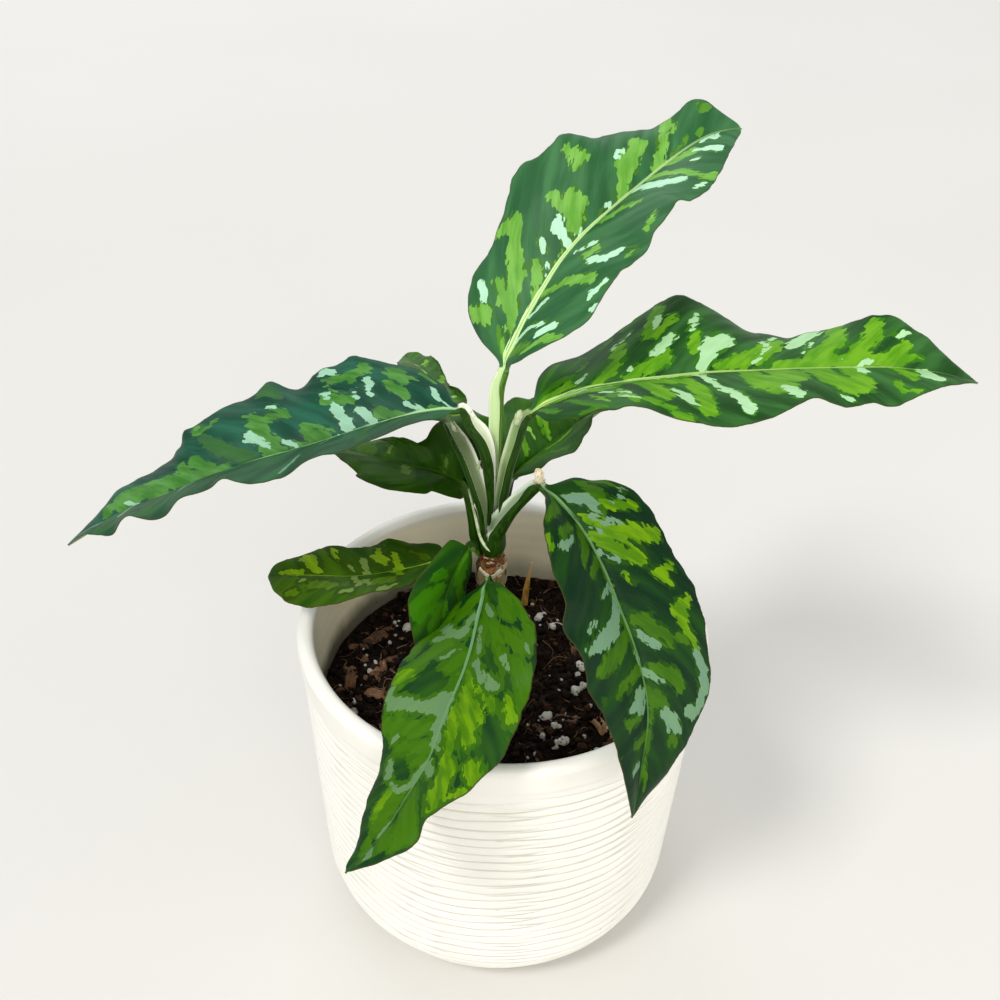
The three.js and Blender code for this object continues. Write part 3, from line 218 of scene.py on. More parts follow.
# Variegation, drawn as strokes along the leaf: kind, then (share of length, share of half width, half thickness mm).
# b = yellow-green patch, m = duller green patch, s = silvery patch.
# fine set of each margin, mm: the same number of steps along the left and the right side
TRIM = {
    "leaf_top": [
        [(0, 0, 0), (0, 0, 0), (0.1, 0, 0), (0, 0, 0), (-0.1, -0.1, -0.1), (-0.3, -0.1, -0.1), (-0.1, 0, 0), (0.2, 0, 0), (0.1, 0, 0), (0, 0, 0),
         (0.2, 0, 0), (0.2, -0.1, -0.1), (0.1, -0.1, -0.1), (-0.2, 0, 0), (-0.3, 0.1, 0.1), (-0.2, 0, 0), (0.1, 0, 0), (0.7, -0.1, -0.1),
         (1, -0.1, -0.2), (0.6, -0.2, -0.2), (0, 0, 0), (-0.2, 0.1, 0.2), (-0.5, 0.4, 0.5), (-0.2, 0.2, 0.2), (0.1, 0, 0), (-0.1, 0, 0),
         (-0.4, 0.2, 0.3), (-0.6, 0.5, 0.7), (-0.2, 0.3, 0.4), (0, -0.1, -0.2), (-0.1, -0.4, -0.6), (-0.1, -0.6, -0.9), (0, -0.2, -0.3),
         (-0.1, 0.1, 0.1), (-0.3, 0.3, 0.4), (-0.1, 0.4, 0.5), (0, 0.1, 0.1), (0, -0.2, -0.2), (0.2, -0.3, -0.4), (0.1, -0.1, -0.1),
         (0.2, -0.1, -0.1), (0.4, -0.2, -0.3), (0.1, -0.1, -0.1), (0, 0.4, 0.5), (0.3, 0.7, 1), (0.2, 0.2, 0.3), (0, 0, 0), (0.1, 0.1, 0.1),
         (0, 0, 0)],
        [(0, 0, 0), (0.1, -0.1, -0.1), (0, 0.1, 0.1), (-0.2, 0.1, 0.1), (0, 0, 0), (0, 0, 0), (0, 0, 0), (0, 0.1, 0.1), (-0.1, 0.1, 0.1), (0, 0, 0),
         (0.1, 0, 0), (0.1, 0, -0.1), (0, 0, 0), (0.1, 0, 0), (0.2, -0.1, -0.1), (0.2, -0.1, -0.1), (0, 0, 0), (-0.3, 0.2, 0.3), (-0.1, 0.1, 0.1),
         (-0.1, 0.1, 0.1), (0, 0, 0), (0.2, -0.1, -0.1), (0, 0, 0), (-0.3, 0, 0.1), (-0.1, 0, 0), (0, 0, 0), (-0.1, 0.1, 0.1), (-0.5, 0.4, 0.5),
         (-0.7, 0.6, 0.8), (0.1, -0.1, -0.2), (0.1, -0.2, -0.3), (0.1, -0.2, -0.3), (0, -0.1, -0.1), (0, 0, 0), (0.1, 0, 0), (0.3, -0.1, -0.1),
         (0.1, 0, 0), (0, 0, 0), (0, 0, 0), (0, 0, 0), (0, 0, 0), (0, 0, 0), (0, 0, 0), (0, 0, 0), (-0.1, 0, 0), (-0.2, 0.1, 0.1), (-0.2, 0.1, 0.1),
         (-0.1, 0, 0), (0, 0, 0)],
    ],
    "leaf_right": [
        [(0, 0, 0), (0, 0, 0), (0, 0, 0), (0, 0, 0), (0, 0, 0), (0.1, -0.1, -0.1), (0.1, 0, 0), (0, 0, 0), (0.1, 0, 0), (0, 0, 0), (-0.1, 0, 0),
         (-0.1, 0, 0), (0, 0, 0), (0.2, -0.1, -0.2), (0.2, -0.2, -0.3), (0.1, -0.1, -0.1), (-0.1, 0.1, 0.2), (-0.2, 0.5, 0.7), (0, 0.6, 0.8),
         (0.1, 0.1, 0.2), (0, -0.1, -0.1), (0.1, 0.1, 0.1), (0.2, 0.2, 0.3), (0.1, 0.1, 0.1), (-0.1, -0.1, -0.1), (-0.1, -0.2, -0.3),
         (-0.1, -0.1, -0.1), (0, 0, 0), (0.1, -0.1, -0.2), (0.1, -0.3, -0.5), (0.1, -0.2, -0.3), (-0.1, 0, -0.1), (-0.1, 0.1, 0.1), (-0.1, 0.1, 0.1),
         (0, 0, 0.1), (0, -0.1, -0.1), (0.1, -0.1, -0.2), (0, 0, 0), (0.1, 0, 0), (0, 0.1, 0.1), (0, 0, 0), (0, 0, 0), (0.1, 0.1, 0.1), (0.1, 0, 0),
         (0, 0, 0), (0, 0, 0), (0, 0, 0), (0, 0, 0), (0, 0, 0)],
        [(0, 0, 0), (0, 0, 0), (0, 0, 0), (0, -0.1, -0.1), (0, 0, 0), (0.1, -0.1, -0.1), (0, 0, -0.1), (-0.1, 0.2, 0.3), (-0.1, 0.3, 0.4), (0, 0, 0),
         (-0.1, 0.3, 0.4), (0, 0.2, 0.3), (0, 0, 0), (-0.1, -0.2, -0.3), (-0.2, -0.3, -0.4), (-0.1, -0.2, -0.2), (0, 0.1, 0.1), (0.1, 0.2, 0.3),
         (0, 0.2, 0.3), (0, 0.1, 0.1), (0, 0.1, 0.1), (0, 0.2, 0.2), (-0.1, 0.2, 0.2), (-0.1, 0, 0.1), (0.1, -0.2, -0.2), (0.2, -0.2, -0.3),
         (0.1, -0.2, -0.3), (0, -0.1, -0.1), (0, 0.2, 0.3), (0, 0.1, 0.2), (0.1, 0.1, 0.1), (0, 0, 0), (0, 0.1, 0.1), (-0.1, 0.3, 0.4),
         (-0.1, 0.4, 0.5), (0, -0.2, -0.2), (0.1, -0.4, -0.6), (0.1, -0.3, -0.4), (0, 0, -0.1), (-0.1, 0.1, 0.1), (0, 0.1, 0.1), (0, 0, 0.1),
         (-0.2, 0.1, 0.2), (-0.2, 0.1, 0.1), (0, 0, 0), (0, 0, 0), (0, 0, 0.1), (0, 0, 0.1), (0, 0, 0)],
    ],
    "leaf_left": [
        [(0, 0, 0), (0.2, -0.1, -0.2), (0, 0, 0), (-0.1, 0.1, 0.2), (0, 0, 0), (0, 0, 0), (0, 0, 0), (0, 0, 0), (0, 0, 0), (0, 0, 0),
         (-0.1, 0.1, 0.1), (-0.1, 0.1, 0.1), (0, -0.1, -0.1), (0.1, -0.2, -0.3), (0, -0.1, -0.1), (0, 0, 0), (-0.2, 0.1, 0.2), (-0.2, 0.1, 0.2),
         (0, 0, 0), (0, 0, 0), (-0.1, 0.2, 0.3), (-0.1, 0.2, 0.3), (0, 0.1, 0.1), (0, 0, 0), (0, 0.2, 0.3), (-0.1, 0.5, 0.7), (-0.2, 0.7, 1),
         (0, 0.1, 0.1), (0.1, -0.1, -0.2), (0.1, -0.1, -0.2), (0.1, -0.1, -0.1), (0, 0, 0), (0.3, -0.3, -0.4), (0.5, -0.4, -0.6), (0, 0, 0),
         (-0.4, 0.9, 1.2), (-0.5, 1.5, 2), (-0.2, 0.6, 0.8), (0.6, -0.8, -1.1), (0.6, -0.8, -1), (0.1, -0.2, -0.2), (0.1, 0.2, 0.3),
         (-0.1, 0.4, 0.5), (0, 0.1, 0.1), (0.1, -0.1, -0.1), (0.1, 0, 0), (0, 0, 0), (-0.1, 0, 0.1), (0, 0, 0)],
        [(0, 0, 0), (0, 0, -0.1), (0, 0, 0), (-0.1, -0.1, -0.1), (0, 0.1, 0.1), (0.1, 0.3, 0.4), (0, 0, 0.1), (-0.1, -0.2, -0.2), (-0.1, -0.1, -0.2),
         (0, 0.1, 0.1), (0, 0.4, 0.6), (-0.1, 0.7, 0.9), (0.1, -0.1, -0.1), (0.2, -0.3, -0.4), (-0.1, 0.1, 0.2), (0, 0.1, 0.2), (0.3, -0.3, -0.4),
         (0.9, -0.7, -1), (0.8, -0.8, -1.2), (0.2, -0.1, -0.1), (-0.5, 1.1, 1.6), (-0.8, 1.8, 2.5), (-0.5, 0.9, 1.3), (-0.1, 0.1, 0.1), (0, 0, 0),
         (-0.1, 0, 0.1), (-0.1, 0, 0), (0, 0, 0), (-0.4, 0.2, 0.3), (-1, 0.5, 0.6), (-1.6, 0.8, 1.1), (-0.2, 0.1, 0.2), (0.1, 0, 0),
         (0.3, -0.1, -0.1), (0.1, 0, 0), (-0.2, 0.1, 0.1), (-0.2, 0, 0), (-0.2, -0.1, -0.1), (-0.1, -0.1, -0.1), (0, -0.1, -0.2), (0.1, 0, 0),
         (-0.3, 0.1, 0.2), (-0.2, 0.1, 0.1), (0, 0, 0), (0.2, -0.1, -0.1), (0.1, 0, 0), (0, 0, 0), (0, 0, 0), (0, 0, 0)],
    ],
    "leaf_front_right": [
        [(0, 0, 0), (0, 0.1, 0.1), (0, 0, 0.1), (0, 0, -0.1), (-0.1, -0.2, -0.3), (0.1, 0.3, 0.3), (0.1, 0.2, 0.3), (0, 0.1, 0.1), (0, 0, 0),
         (0, -0.1, -0.1), (0, 0, 0), (0.2, 0, 0.1), (0.2, 0, 0), (0.1, 0, 0), (0, 0, 0), (0.1, 0, 0), (-0.1, 0.1, 0.1), (0, 0, -0.1),
         (0.1, -0.1, -0.1), (0.2, 0, 0), (0.4, 0.1, 0.2), (0.3, 0.1, 0.2), (0.1, 0.1, 0.1), (0, -0.1, -0.1), (-0.1, 0, 0), (-0.1, 0, 0), (0, 0, 0),
         (0, 0, 0), (0, 0, 0), (0.1, 0, 0), (0.1, 0, 0), (0, 0, 0), (0.2, 0, 0), (0.4, -0.1, -0.1), (0.2, 0, 0), (0, 0, 0), (-0.1, 0, 0),
         (-0.1, 0, 0), (0, 0, 0), (-0.1, 0, 0.1), (-0.1, 0, 0.1), (0, 0, 0), (0, 0, 0), (0, 0, 0), (0, 0, 0.1), (0, 0, 0), (-0.1, 0, 0),
         (-0.1, 0, 0), (0, 0, 0)],
        [(0, 0, 0), (-0.2, 0, -0.1), (0, 0, 0), (0.3, 0, 0), (0.1, 0, 0), (-0.2, 0, 0), (-0.1, 0, 0), (0, 0, 0), (0, 0, 0), (0, 0, 0), (0, 0, 0),
         (0, 0, 0.1), (0.1, 0, 0), (0.1, 0, 0.1), (0, 0, 0), (0, 0, 0), (0, 0, 0), (0, 0, 0), (0.1, 0, 0), (-0.3, 0, 0), (-0.5, 0, 0),
         (-0.7, 0, -0.1), (-0.4, 0, -0.1), (0.3, 0.1, 0.1), (0.6, 0.2, 0.3), (0.6, 0.3, 0.4), (0.3, 0.1, 0.1), (0, 0, 0), (0, 0, 0), (0, 0, 0),
         (-0.1, 0, 0), (0, 0, 0), (0.1, 0.1, 0.1), (0.2, 0.1, 0.1), (0.1, 0, 0.1), (0, 0, 0), (-0.2, -0.1, -0.1), (-0.2, -0.1, -0.1), (-0.1, 0, 0),
         (0, 0, 0), (0, 0, 0), (0, 0, 0), (0, 0, 0), (0, 0, 0), (0, 0, 0), (0, 0, 0), (0, 0, 0), (0, 0, 0), (0, 0, 0)],
    ],
    "leaf_front": [
        [(0, 0, 0), (0, 0, 0), (0, -0.1, -0.1), (0, 0, 0), (0.1, -0.1, -0.1), (0.1, 0, 0), (0.2, 0.1, 0.1), (0.1, 0.1, 0.1), (0, 0, 0.1),
         (0.1, 0, 0), (0.3, 0.1, 0.1), (0.1, 0, 0.1), (0, 0, 0), (0.1, 0, 0), (0.2, 0, 0), (0, 0, 0), (0, 0, 0), (0.1, 0, 0), (0.2, 0, 0), (0, 0, 0),
         (0, 0, 0), (0.1, 0.1, 0.1), (0.1, 0.1, 0.1), (0.1, 0, 0), (0, 0, -0.1), (-0.1, 0, 0), (-0.2, 0.1, 0.1), (-0.2, 0, 0.1), (0, 0, 0),
         (-0.2, 0.1, 0.1), (-0.4, 0.3, 0.4), (-0.5, 0.3, 0.4), (-0.2, 0.1, 0.1), (0.1, -0.2, -0.2), (0.2, -0.2, -0.3), (0.2, -0.2, -0.2),
         (0.1, 0, 0), (-0.3, 0.2, 0.2), (-1, 0.4, 0.6), (-0.6, 0.2, 0.3), (0.3, -0.1, -0.2), (0.4, -0.3, -0.3), (0.1, -0.1, -0.1), (0, 0, 0),
         (0, 0, 0), (0, 0, 0), (0, 0, 0), (0, 0, 0), (0, 0, 0)],
        [(0, 0, 0), (0.1, 0, -0.1), (0.2, 0, 0), (-0.1, 0.1, 0.1), (-0.1, 0, 0), (0, 0, -0.1), (0.3, -0.2, -0.2), (0.4, -0.2, -0.3), (0.1, 0, 0),
         (-0.2, 0.1, 0.2), (-0.3, 0.2, 0.3), (-0.1, 0.1, 0.1), (0, -0.1, -0.1), (0.2, -0.1, -0.1), (0.2, -0.1, -0.1), (0.1, 0, 0), (0, 0, 0.1),
         (0, 0, 0), (0, -0.1, -0.1), (0.1, 0, 0), (0, 0, 0), (-0.2, 0, 0), (-0.1, 0, 0), (0, 0, 0), (0, 0, 0), (-0.1, 0, 0), (-0.1, 0, 0), (0, 0, 0),
         (0, 0, 0), (0, 0, 0), (-0.2, 0, 0), (-0.2, 0, 0), (-0.1, 0, 0), (0.3, -0.1, -0.1), (0.4, -0.1, -0.2), (0.2, -0.1, -0.1), (0.1, 0, 0),
         (-0.2, 0, 0), (-0.2, 0, 0), (0, 0, 0), (0, 0, 0), (0, 0, 0), (0, 0, 0), (0, 0, 0), (0, 0, 0), (0.1, 0, -0.1), (0.1, 0, 0), (-0.1, 0, 0),
         (0, 0, 0)],
    ],
    "leaf_low_left": [
        [(0, 0, 0), (0.1, 0, -0.1), (0, 0, 0), (-0.1, 0.1, 0.1), (0, 0, 0), (0.1, -0.1, -0.1), (0, 0, 0), (0, 0, 0.1), (0, 0.1, 0.1),
         (-0.1, 0.1, 0.2), (0, 0.1, 0.1), (0, 0, 0), (0, 0, 0), (0, 0, 0), (0, 0, 0), (0, 0, 0), (0, 0, 0), (0, 0, 0.1), (0, 0.1, 0.1),
         (-0.1, 0.1, 0.2), (-0.1, 0.1, 0.2), (0, 0.1, 0.1), (0, 0.1, 0.1), (0, 0, 0), (0, 0, 0), (0, 0, 0), (0, -0.1, -0.1), (0, -0.1, -0.1),
         (0, 0, 0), (0, 0, 0.1), (0, 0.1, 0.1), (0, 0.1, 0.2), (0, 0.1, 0.2), (0, 0.1, 0.1), (0, 0, 0), (0, 0, 0), (0, 0.1, 0.1), (0.1, 0.1, 0.1),
         (0, 0, 0), (0, -0.1, -0.1), (-0.2, -0.2, -0.2), (-0.1, -0.1, -0.1), (-0.1, -0.1, -0.1), (-0.1, -0.1, -0.1), (-0.1, 0, -0.1), (0.1, 0, 0.1),
         (0.2, 0.1, 0.1), (0.1, 0, 0), (0, 0, 0)],
        [(0, 0, 0), (0.1, 0.1, 0.1), (0, 0, 0), (0, 0, 0), (0, -0.1, -0.1), (0, -0.1, -0.2), (0, -0.1, -0.1), (0, -0.1, -0.1), (0, -0.1, -0.1),
         (0, -0.1, -0.2), (0, -0.1, -0.2), (0, 0, 0), (0, 0.1, 0.1), (0, 0.3, 0.4), (0, 0.5, 0.7), (0, 0.5, 0.7), (0, 0.2, 0.2), (0, 0, -0.1),
         (0.1, -0.2, -0.3), (0.2, -0.3, -0.4), (0.2, -0.4, -0.5), (0.2, -0.3, -0.4), (0, -0.1, -0.2), (0, -0.1, -0.1), (0, -0.1, -0.1),
         (0, -0.1, -0.1), (0, -0.1, -0.2), (0, -0.1, -0.1), (0, 0, 0), (0, 0.1, 0.2), (-0.1, 0.3, 0.4), (-0.2, 0.4, 0.5), (-0.1, 0.2, 0.3),
         (0, 0, 0), (0, 0, 0), (0, -0.1, -0.1), (0.1, -0.1, -0.1), (0, -0.1, -0.1), (0.1, -0.1, -0.1), (0.1, -0.1, -0.1), (0, -0.1, -0.1),
         (0, -0.1, -0.1), (0, 0, 0), (0, 0, 0), (-0.1, 0.1, 0.1), (-0.2, 0.2, 0.2), (-0.3, 0.2, 0.2), (-0.1, 0, 0.1), (0, 0, 0)],
    ],
    "leaf_low_front": [
        [(0, 0, 0), (0.1, 0, 0), (-0.1, 0, 0), (-0.2, 0, 0.1), (-0.2, 0, 0.1), (-0.2, 0, 0), (-0.1, 0, 0), (-0.1, 0, 0), (0, 0, 0), (0, 0, 0),
         (0, 0, 0), (0, 0, 0), (0, 0, 0), (0, 0, 0), (-0.1, 0, 0), (-0.1, 0, 0), (-0.1, 0, 0), (-0.1, 0, 0), (-0.1, 0, 0), (-0.1, 0, 0),
         (-0.1, 0, 0), (-0.1, 0, 0), (-0.1, 0, 0), (-0.1, 0, 0), (0, 0, 0), (0, 0, 0), (0, 0, 0), (-0.1, 0, 0), (-0.1, 0, 0), (-0.1, 0, 0),
         (0, 0, 0), (0.1, 0, 0), (0.2, 0, 0), (0.1, 0, 0), (0, 0, 0), (0, 0, 0), (0, 0, 0), (0, 0, 0), (0.1, 0, 0), (0.2, 0, -0.1),
         (0.3, -0.1, -0.1), (0.3, -0.1, -0.1), (0.1, 0, -0.1), (0, 0, 0), (0, 0, 0), (0, 0, 0), (0, 0, 0), (0, 0, 0), (0, 0, 0)],
        [(0, 0, 0), (0.2, 0.5, 0.7), (0, 0.6, 0.9), (-0.1, 0.2, 0.2), (0.1, -0.1, -0.1), (0.2, -0.1, -0.1), (0.1, 0, -0.1), (0, 0, 0), (0, 0, 0),
         (0, 0, 0), (0, 0, 0), (0, 0, 0), (-0.1, 0, 0), (-0.2, 0.1, 0.1), (-0.3, 0.1, 0.1), (-0.2, 0, 0.1), (-0.1, 0, 0), (-0.1, 0, 0), (-0.1, 0, 0),
         (0, 0, 0), (0.1, 0, 0), (0.1, 0, 0), (0.1, 0, 0), (0.1, 0, 0), (0, 0, 0), (0, 0, 0), (0, 0, 0), (0, 0, 0), (0, 0, 0), (0, 0, 0.1),
         (0, 0, -0.1), (0, 0, -0.1), (0, 0, 0), (0, 0, 0.1), (0.1, 0, 0), (0.1, 0, 0), (0.1, 0, 0), (0, 0, 0), (0, 0, 0), (0, 0, 0), (0, 0, 0),
         (0, 0, 0), (0.1, 0, 0.1), (0.2, 0.1, 0.1), (0.3, 0.1, 0.1), (0.3, 0.1, 0.1), (0.3, 0.1, 0.1), (0.1, 0, 0.1), (0, 0, 0)],
    ],
    "leaf_back_left": [
        [(0, 0, 0), (3.7, -0.9, -4), (3.6, -0.6, -2.3), (2.7, 0, -1.2), (1.9, 0.1, -0.2), (1.2, 0.2, 0.8), (0.8, 0.3, 1.2), (0.9, 0.4, -0.2),
         (-0.1, 0.5, -0.4), (-1, 0.5, -0.2), (-2, 0.6, -0.3), (-2.5, 0.6, -0.2), (-2.7, 0.5, -0.1), (-3.1, 0.5, 0.1), (-3.5, 0.6, 0.5),
         (-3.9, 0.7, 0.9), (-4.3, 0.8, 1.3), (-4.8, 1.1, 1.7), (-4.6, 1.3, 1.6), (-3.1, 0.9, 1.1), (-1.5, 0.4, 0.5), (-0.1, -0.1, -0.1),
         (0.4, -0.2, -0.3), (0, 0, 0), (0, 0, 0), (0, 0, 0), (0, 0, 0), (0, 0, 0), (0, 0, 0), (-0.1, -0.1, -0.1), (-0.1, -0.1, -0.2),
         (-0.1, -0.1, -0.2), (-0.1, -0.1, -0.1), (0, 0, 0), (0, 0, 0), (0, 0, 0), (0, 0, 0), (0, 0, 0), (0, 0, 0), (0, 0, 0), (0, 0, 0), (0, 0, 0),
         (0, 0, 0), (0, 0, 0), (0.1, 0, 0), (0.3, 0, -0.1), (0.3, 0, -0.1), (0.1, 0, 0), (0, 0, 0)],
        [(0, 0, 0), (5.2, -2.1, -1), (8.2, -2.5, 1.7), (10, -2.9, 5.6), (10.4, -3.3, 9.2), (8.7, -3.7, 11.5), (5.8, -3.6, 12.3), (2.2, -3.5, 12.2),
         (-0.9, -3, 9.9), (-2.9, -2.4, 6.5), (-3.9, -1.3, 2.3), (-4.9, -0.2, -0.5), (-6.7, 1.1, -2.8), (-8, 1.5, -2.6), (-9.4, 1.9, -1.8),
         (-10, 1.8, -1.4), (-10.5, 1.5, -1.1), (-11, 1.5, -1), (-11.5, 1.5, -1), (-12.2, 1.3, -1), (-12.2, 1.1, -1), (-8.8, 0.7, -0.6),
         (-3.5, 0.3, -0.2), (0, 0, 0), (0.7, -0.1, 0), (0, 0, 0), (0, 0, 0), (0, 0, 0), (0, 0.1, 0.1), (0, 0.1, 0.2), (0, 0.1, 0.1), (0, 0.1, 0.1),
         (0, 0, 0.1), (0, 0, 0), (0, -0.1, -0.1), (0.1, -0.2, -0.2), (0.1, -0.2, -0.3), (0, -0.2, -0.2), (0, -0.1, -0.1), (0, 0, -0.1), (0, 0, 0),
         (0, 0, 0), (0, 0, 0), (0, 0, 0), (0, 0.1, 0.1), (0, 0.1, 0.2), (0, 0.1, 0.1), (0, 0, 0), (0, 0, 0)],
    ],
    "leaf_back_upper": [
        [(0, 0, 0), (0, 0, -0.1), (0, 0, -0.1), (0, 0, 0), (0, 0, 0), (0, 0, 0.1), (0.1, 0, 0), (0, 0, 0), (-0.1, 0, 0), (-0.1, -0.1, -0.1),
         (0, 0, 0), (0, 0, 0), (0, 0, 0), (-0.2, -0.1, -0.1), (-0.2, 0, 0), (-0.2, 0, 0), (-0.3, 0, 0), (-0.1, 0, 0), (0, 0, 0), (0, 0, 0),
         (0, 0, 0), (0, 0, 0), (0, 0, 0), (0, 0, 0), (0, 0, 0), (0, 0, 0), (0, 0, 0), (0, 0, 0), (0, 0, 0), (-0.1, -0.1, -0.1), (-0.1, -0.1, -0.1),
         (0, -0.1, -0.1), (0, -0.1, -0.1), (0, -0.1, -0.1), (0.1, 0, 0), (0.1, 0, 0), (0.1, 0, 0), (0.1, 0, 0), (0.1, 0, 0), (0.1, 0, 0),
         (0.1, 0, -0.1), (0.1, -0.1, -0.1), (0.1, -0.1, -0.1), (0.1, -0.1, -0.1), (0.1, 0, -0.1), (0.1, 0, 0), (0.1, 0, 0), (0, 0, 0), (0, 0, 0)],
        [(0, 0, 0), (2, -0.8, -4.7), (3.7, -0.8, -7), (5.2, -0.8, -7.1), (5.6, -0.7, -5.1), (5.3, -0.6, -2.7), (4.3, -0.4, -0.5), (2.8, -0.7, 0.6),
         (1.3, -1, 1.2), (-0.2, -0.8, 1.5), (-1.3, -0.1, 1.7), (-2.1, -0.2, 2.3), (-2.7, -0.3, 3), (-3.3, -0.2, 3.5), (-3.5, 0, 4.1),
         (-3.4, 0.2, 4.6), (-3.2, 0.3, 5.1), (-3, 0, 5.9), (-2.7, -0.4, 6.6), (-2.8, -0.3, 7), (-3, -0.1, 7.2), (-3.3, 0.1, 7), (-3.8, 0.2, 6.6),
         (-4.3, 0.3, 6), (-4.8, 0.4, 5.5), (-4.8, 0.5, 5.1), (-4.8, 0.6, 4.7), (-4.7, 0.7, 4.3), (-4.5, 0.8, 4), (-4.2, 1, 3.8), (-3.9, 1.1, 3.7),
         (-3.5, 1, 3.8), (-3.1, 0.8, 3.9), (-2.6, 0.6, 3.9), (-2.2, 0.3, 3.9), (-1.9, 0.1, 3.8), (-1.5, -0.1, 3.4), (-1.2, 0, 2.8), (-1, 0.2, 2),
         (-0.7, 0.4, 1.2), (-0.4, 0.4, 0.3), (-0.1, 0.4, -0.3), (0.1, 0.3, -0.8), (0.3, 0.2, -0.7), (0.3, 0, -0.1), (0.4, -0.1, 0.3), (0.3, 0, 0.4),
         (0.2, 0.3, 0.5), (0, 0, 0)],
    ],
    "leaf_back_right": [
        [(0, 0, 0), (0, 0, 0), (0.1, 0, 0), (0.1, 0, 0), (0.2, 0, 0), (0.2, 0, 0), (0.1, 0, 0), (0, 0, 0), (0, 0, 0), (-0.1, 0, 0), (-0.1, 0, 0),
         (0, 0, 0), (0.2, 0, 0), (0.3, 0, 0), (0.4, 0, 0), (0.4, 0, 0), (0.2, 0, 0), (-0.2, 0.1, 0.2), (-0.8, 0.5, 0.7), (-0.8, 0.6, 0.8),
         (-0.6, 0.6, 0.8), (-0.5, 0.6, 0.8), (-0.2, 0.3, 0.4), (0, 0, 0), (0.1, -0.2, -0.3), (0, -0.2, -0.3), (0, -0.2, -0.2), (0, -0.1, -0.1),
         (0, -0.1, -0.1), (0, 0, 0), (0, 0.1, 0.1), (0, 0.1, 0.1), (0, 0.1, 0.1), (0, 0.1, 0.1), (0, 0, 0), (0, 0, 0), (0, 0, 0), (0, 0, 0),
         (0, 0, 0.1), (0, 0.1, 0.1), (0, 0, 0), (0, 0, -0.1), (0, 0, -0.1), (0, 0, 0), (0, 0.1, 0.2), (0, 0, 0.1), (0, -0.1, -0.1), (0, 0, -0.1),
         (0, 0, 0)],
        [(0, 0, 0), (0.1, -0.1, -0.2), (0, 0, 0), (-0.1, 0, 0), (-0.1, 0.1, 0.1), (-0.3, 0.2, 0.3), (-0.2, 0.2, 0.3), (0, 0, 0), (0.1, -0.1, -0.1),
         (0.1, -0.1, -0.1), (0.1, -0.1, -0.2), (0.1, -0.1, -0.2), (-0.1, 0.1, 0.1), (-0.2, 0.1, 0.2), (-0.3, 0.1, 0.1), (-0.2, 0, 0.1), (0, 0, 0),
         (-0.1, 0, 0.1), (-0.6, 0.2, 0.3), (-1.1, 0.4, 0.6), (-1.4, 0.6, 0.8), (-0.8, 0.4, 0.5), (-0.3, 0.2, 0.2), (0, 0, 0), (0.2, -0.1, -0.2),
         (0.2, -0.2, -0.3), (0.1, -0.2, -0.3), (0.1, -0.1, -0.2), (0, 0, -0.1), (0, 0, 0), (0, 0, 0), (0, 0, 0), (0, 0, -0.1), (0, 0, 0), (0, 0, 0),
         (0, 0, 0), (0, 0, 0), (0, 0, 0), (0, 0, 0), (0, 0, 0), (0, 0, 0), (-0.1, 0, 0.1), (-0.2, 0.1, 0.1), (-0.3, 0.1, 0.1), (-0.4, 0, 0),
         (-0.5, 0, 0), (-0.4, 0, 0), (-0.2, 0, 0), (0, 0, 0)],
    ],
}
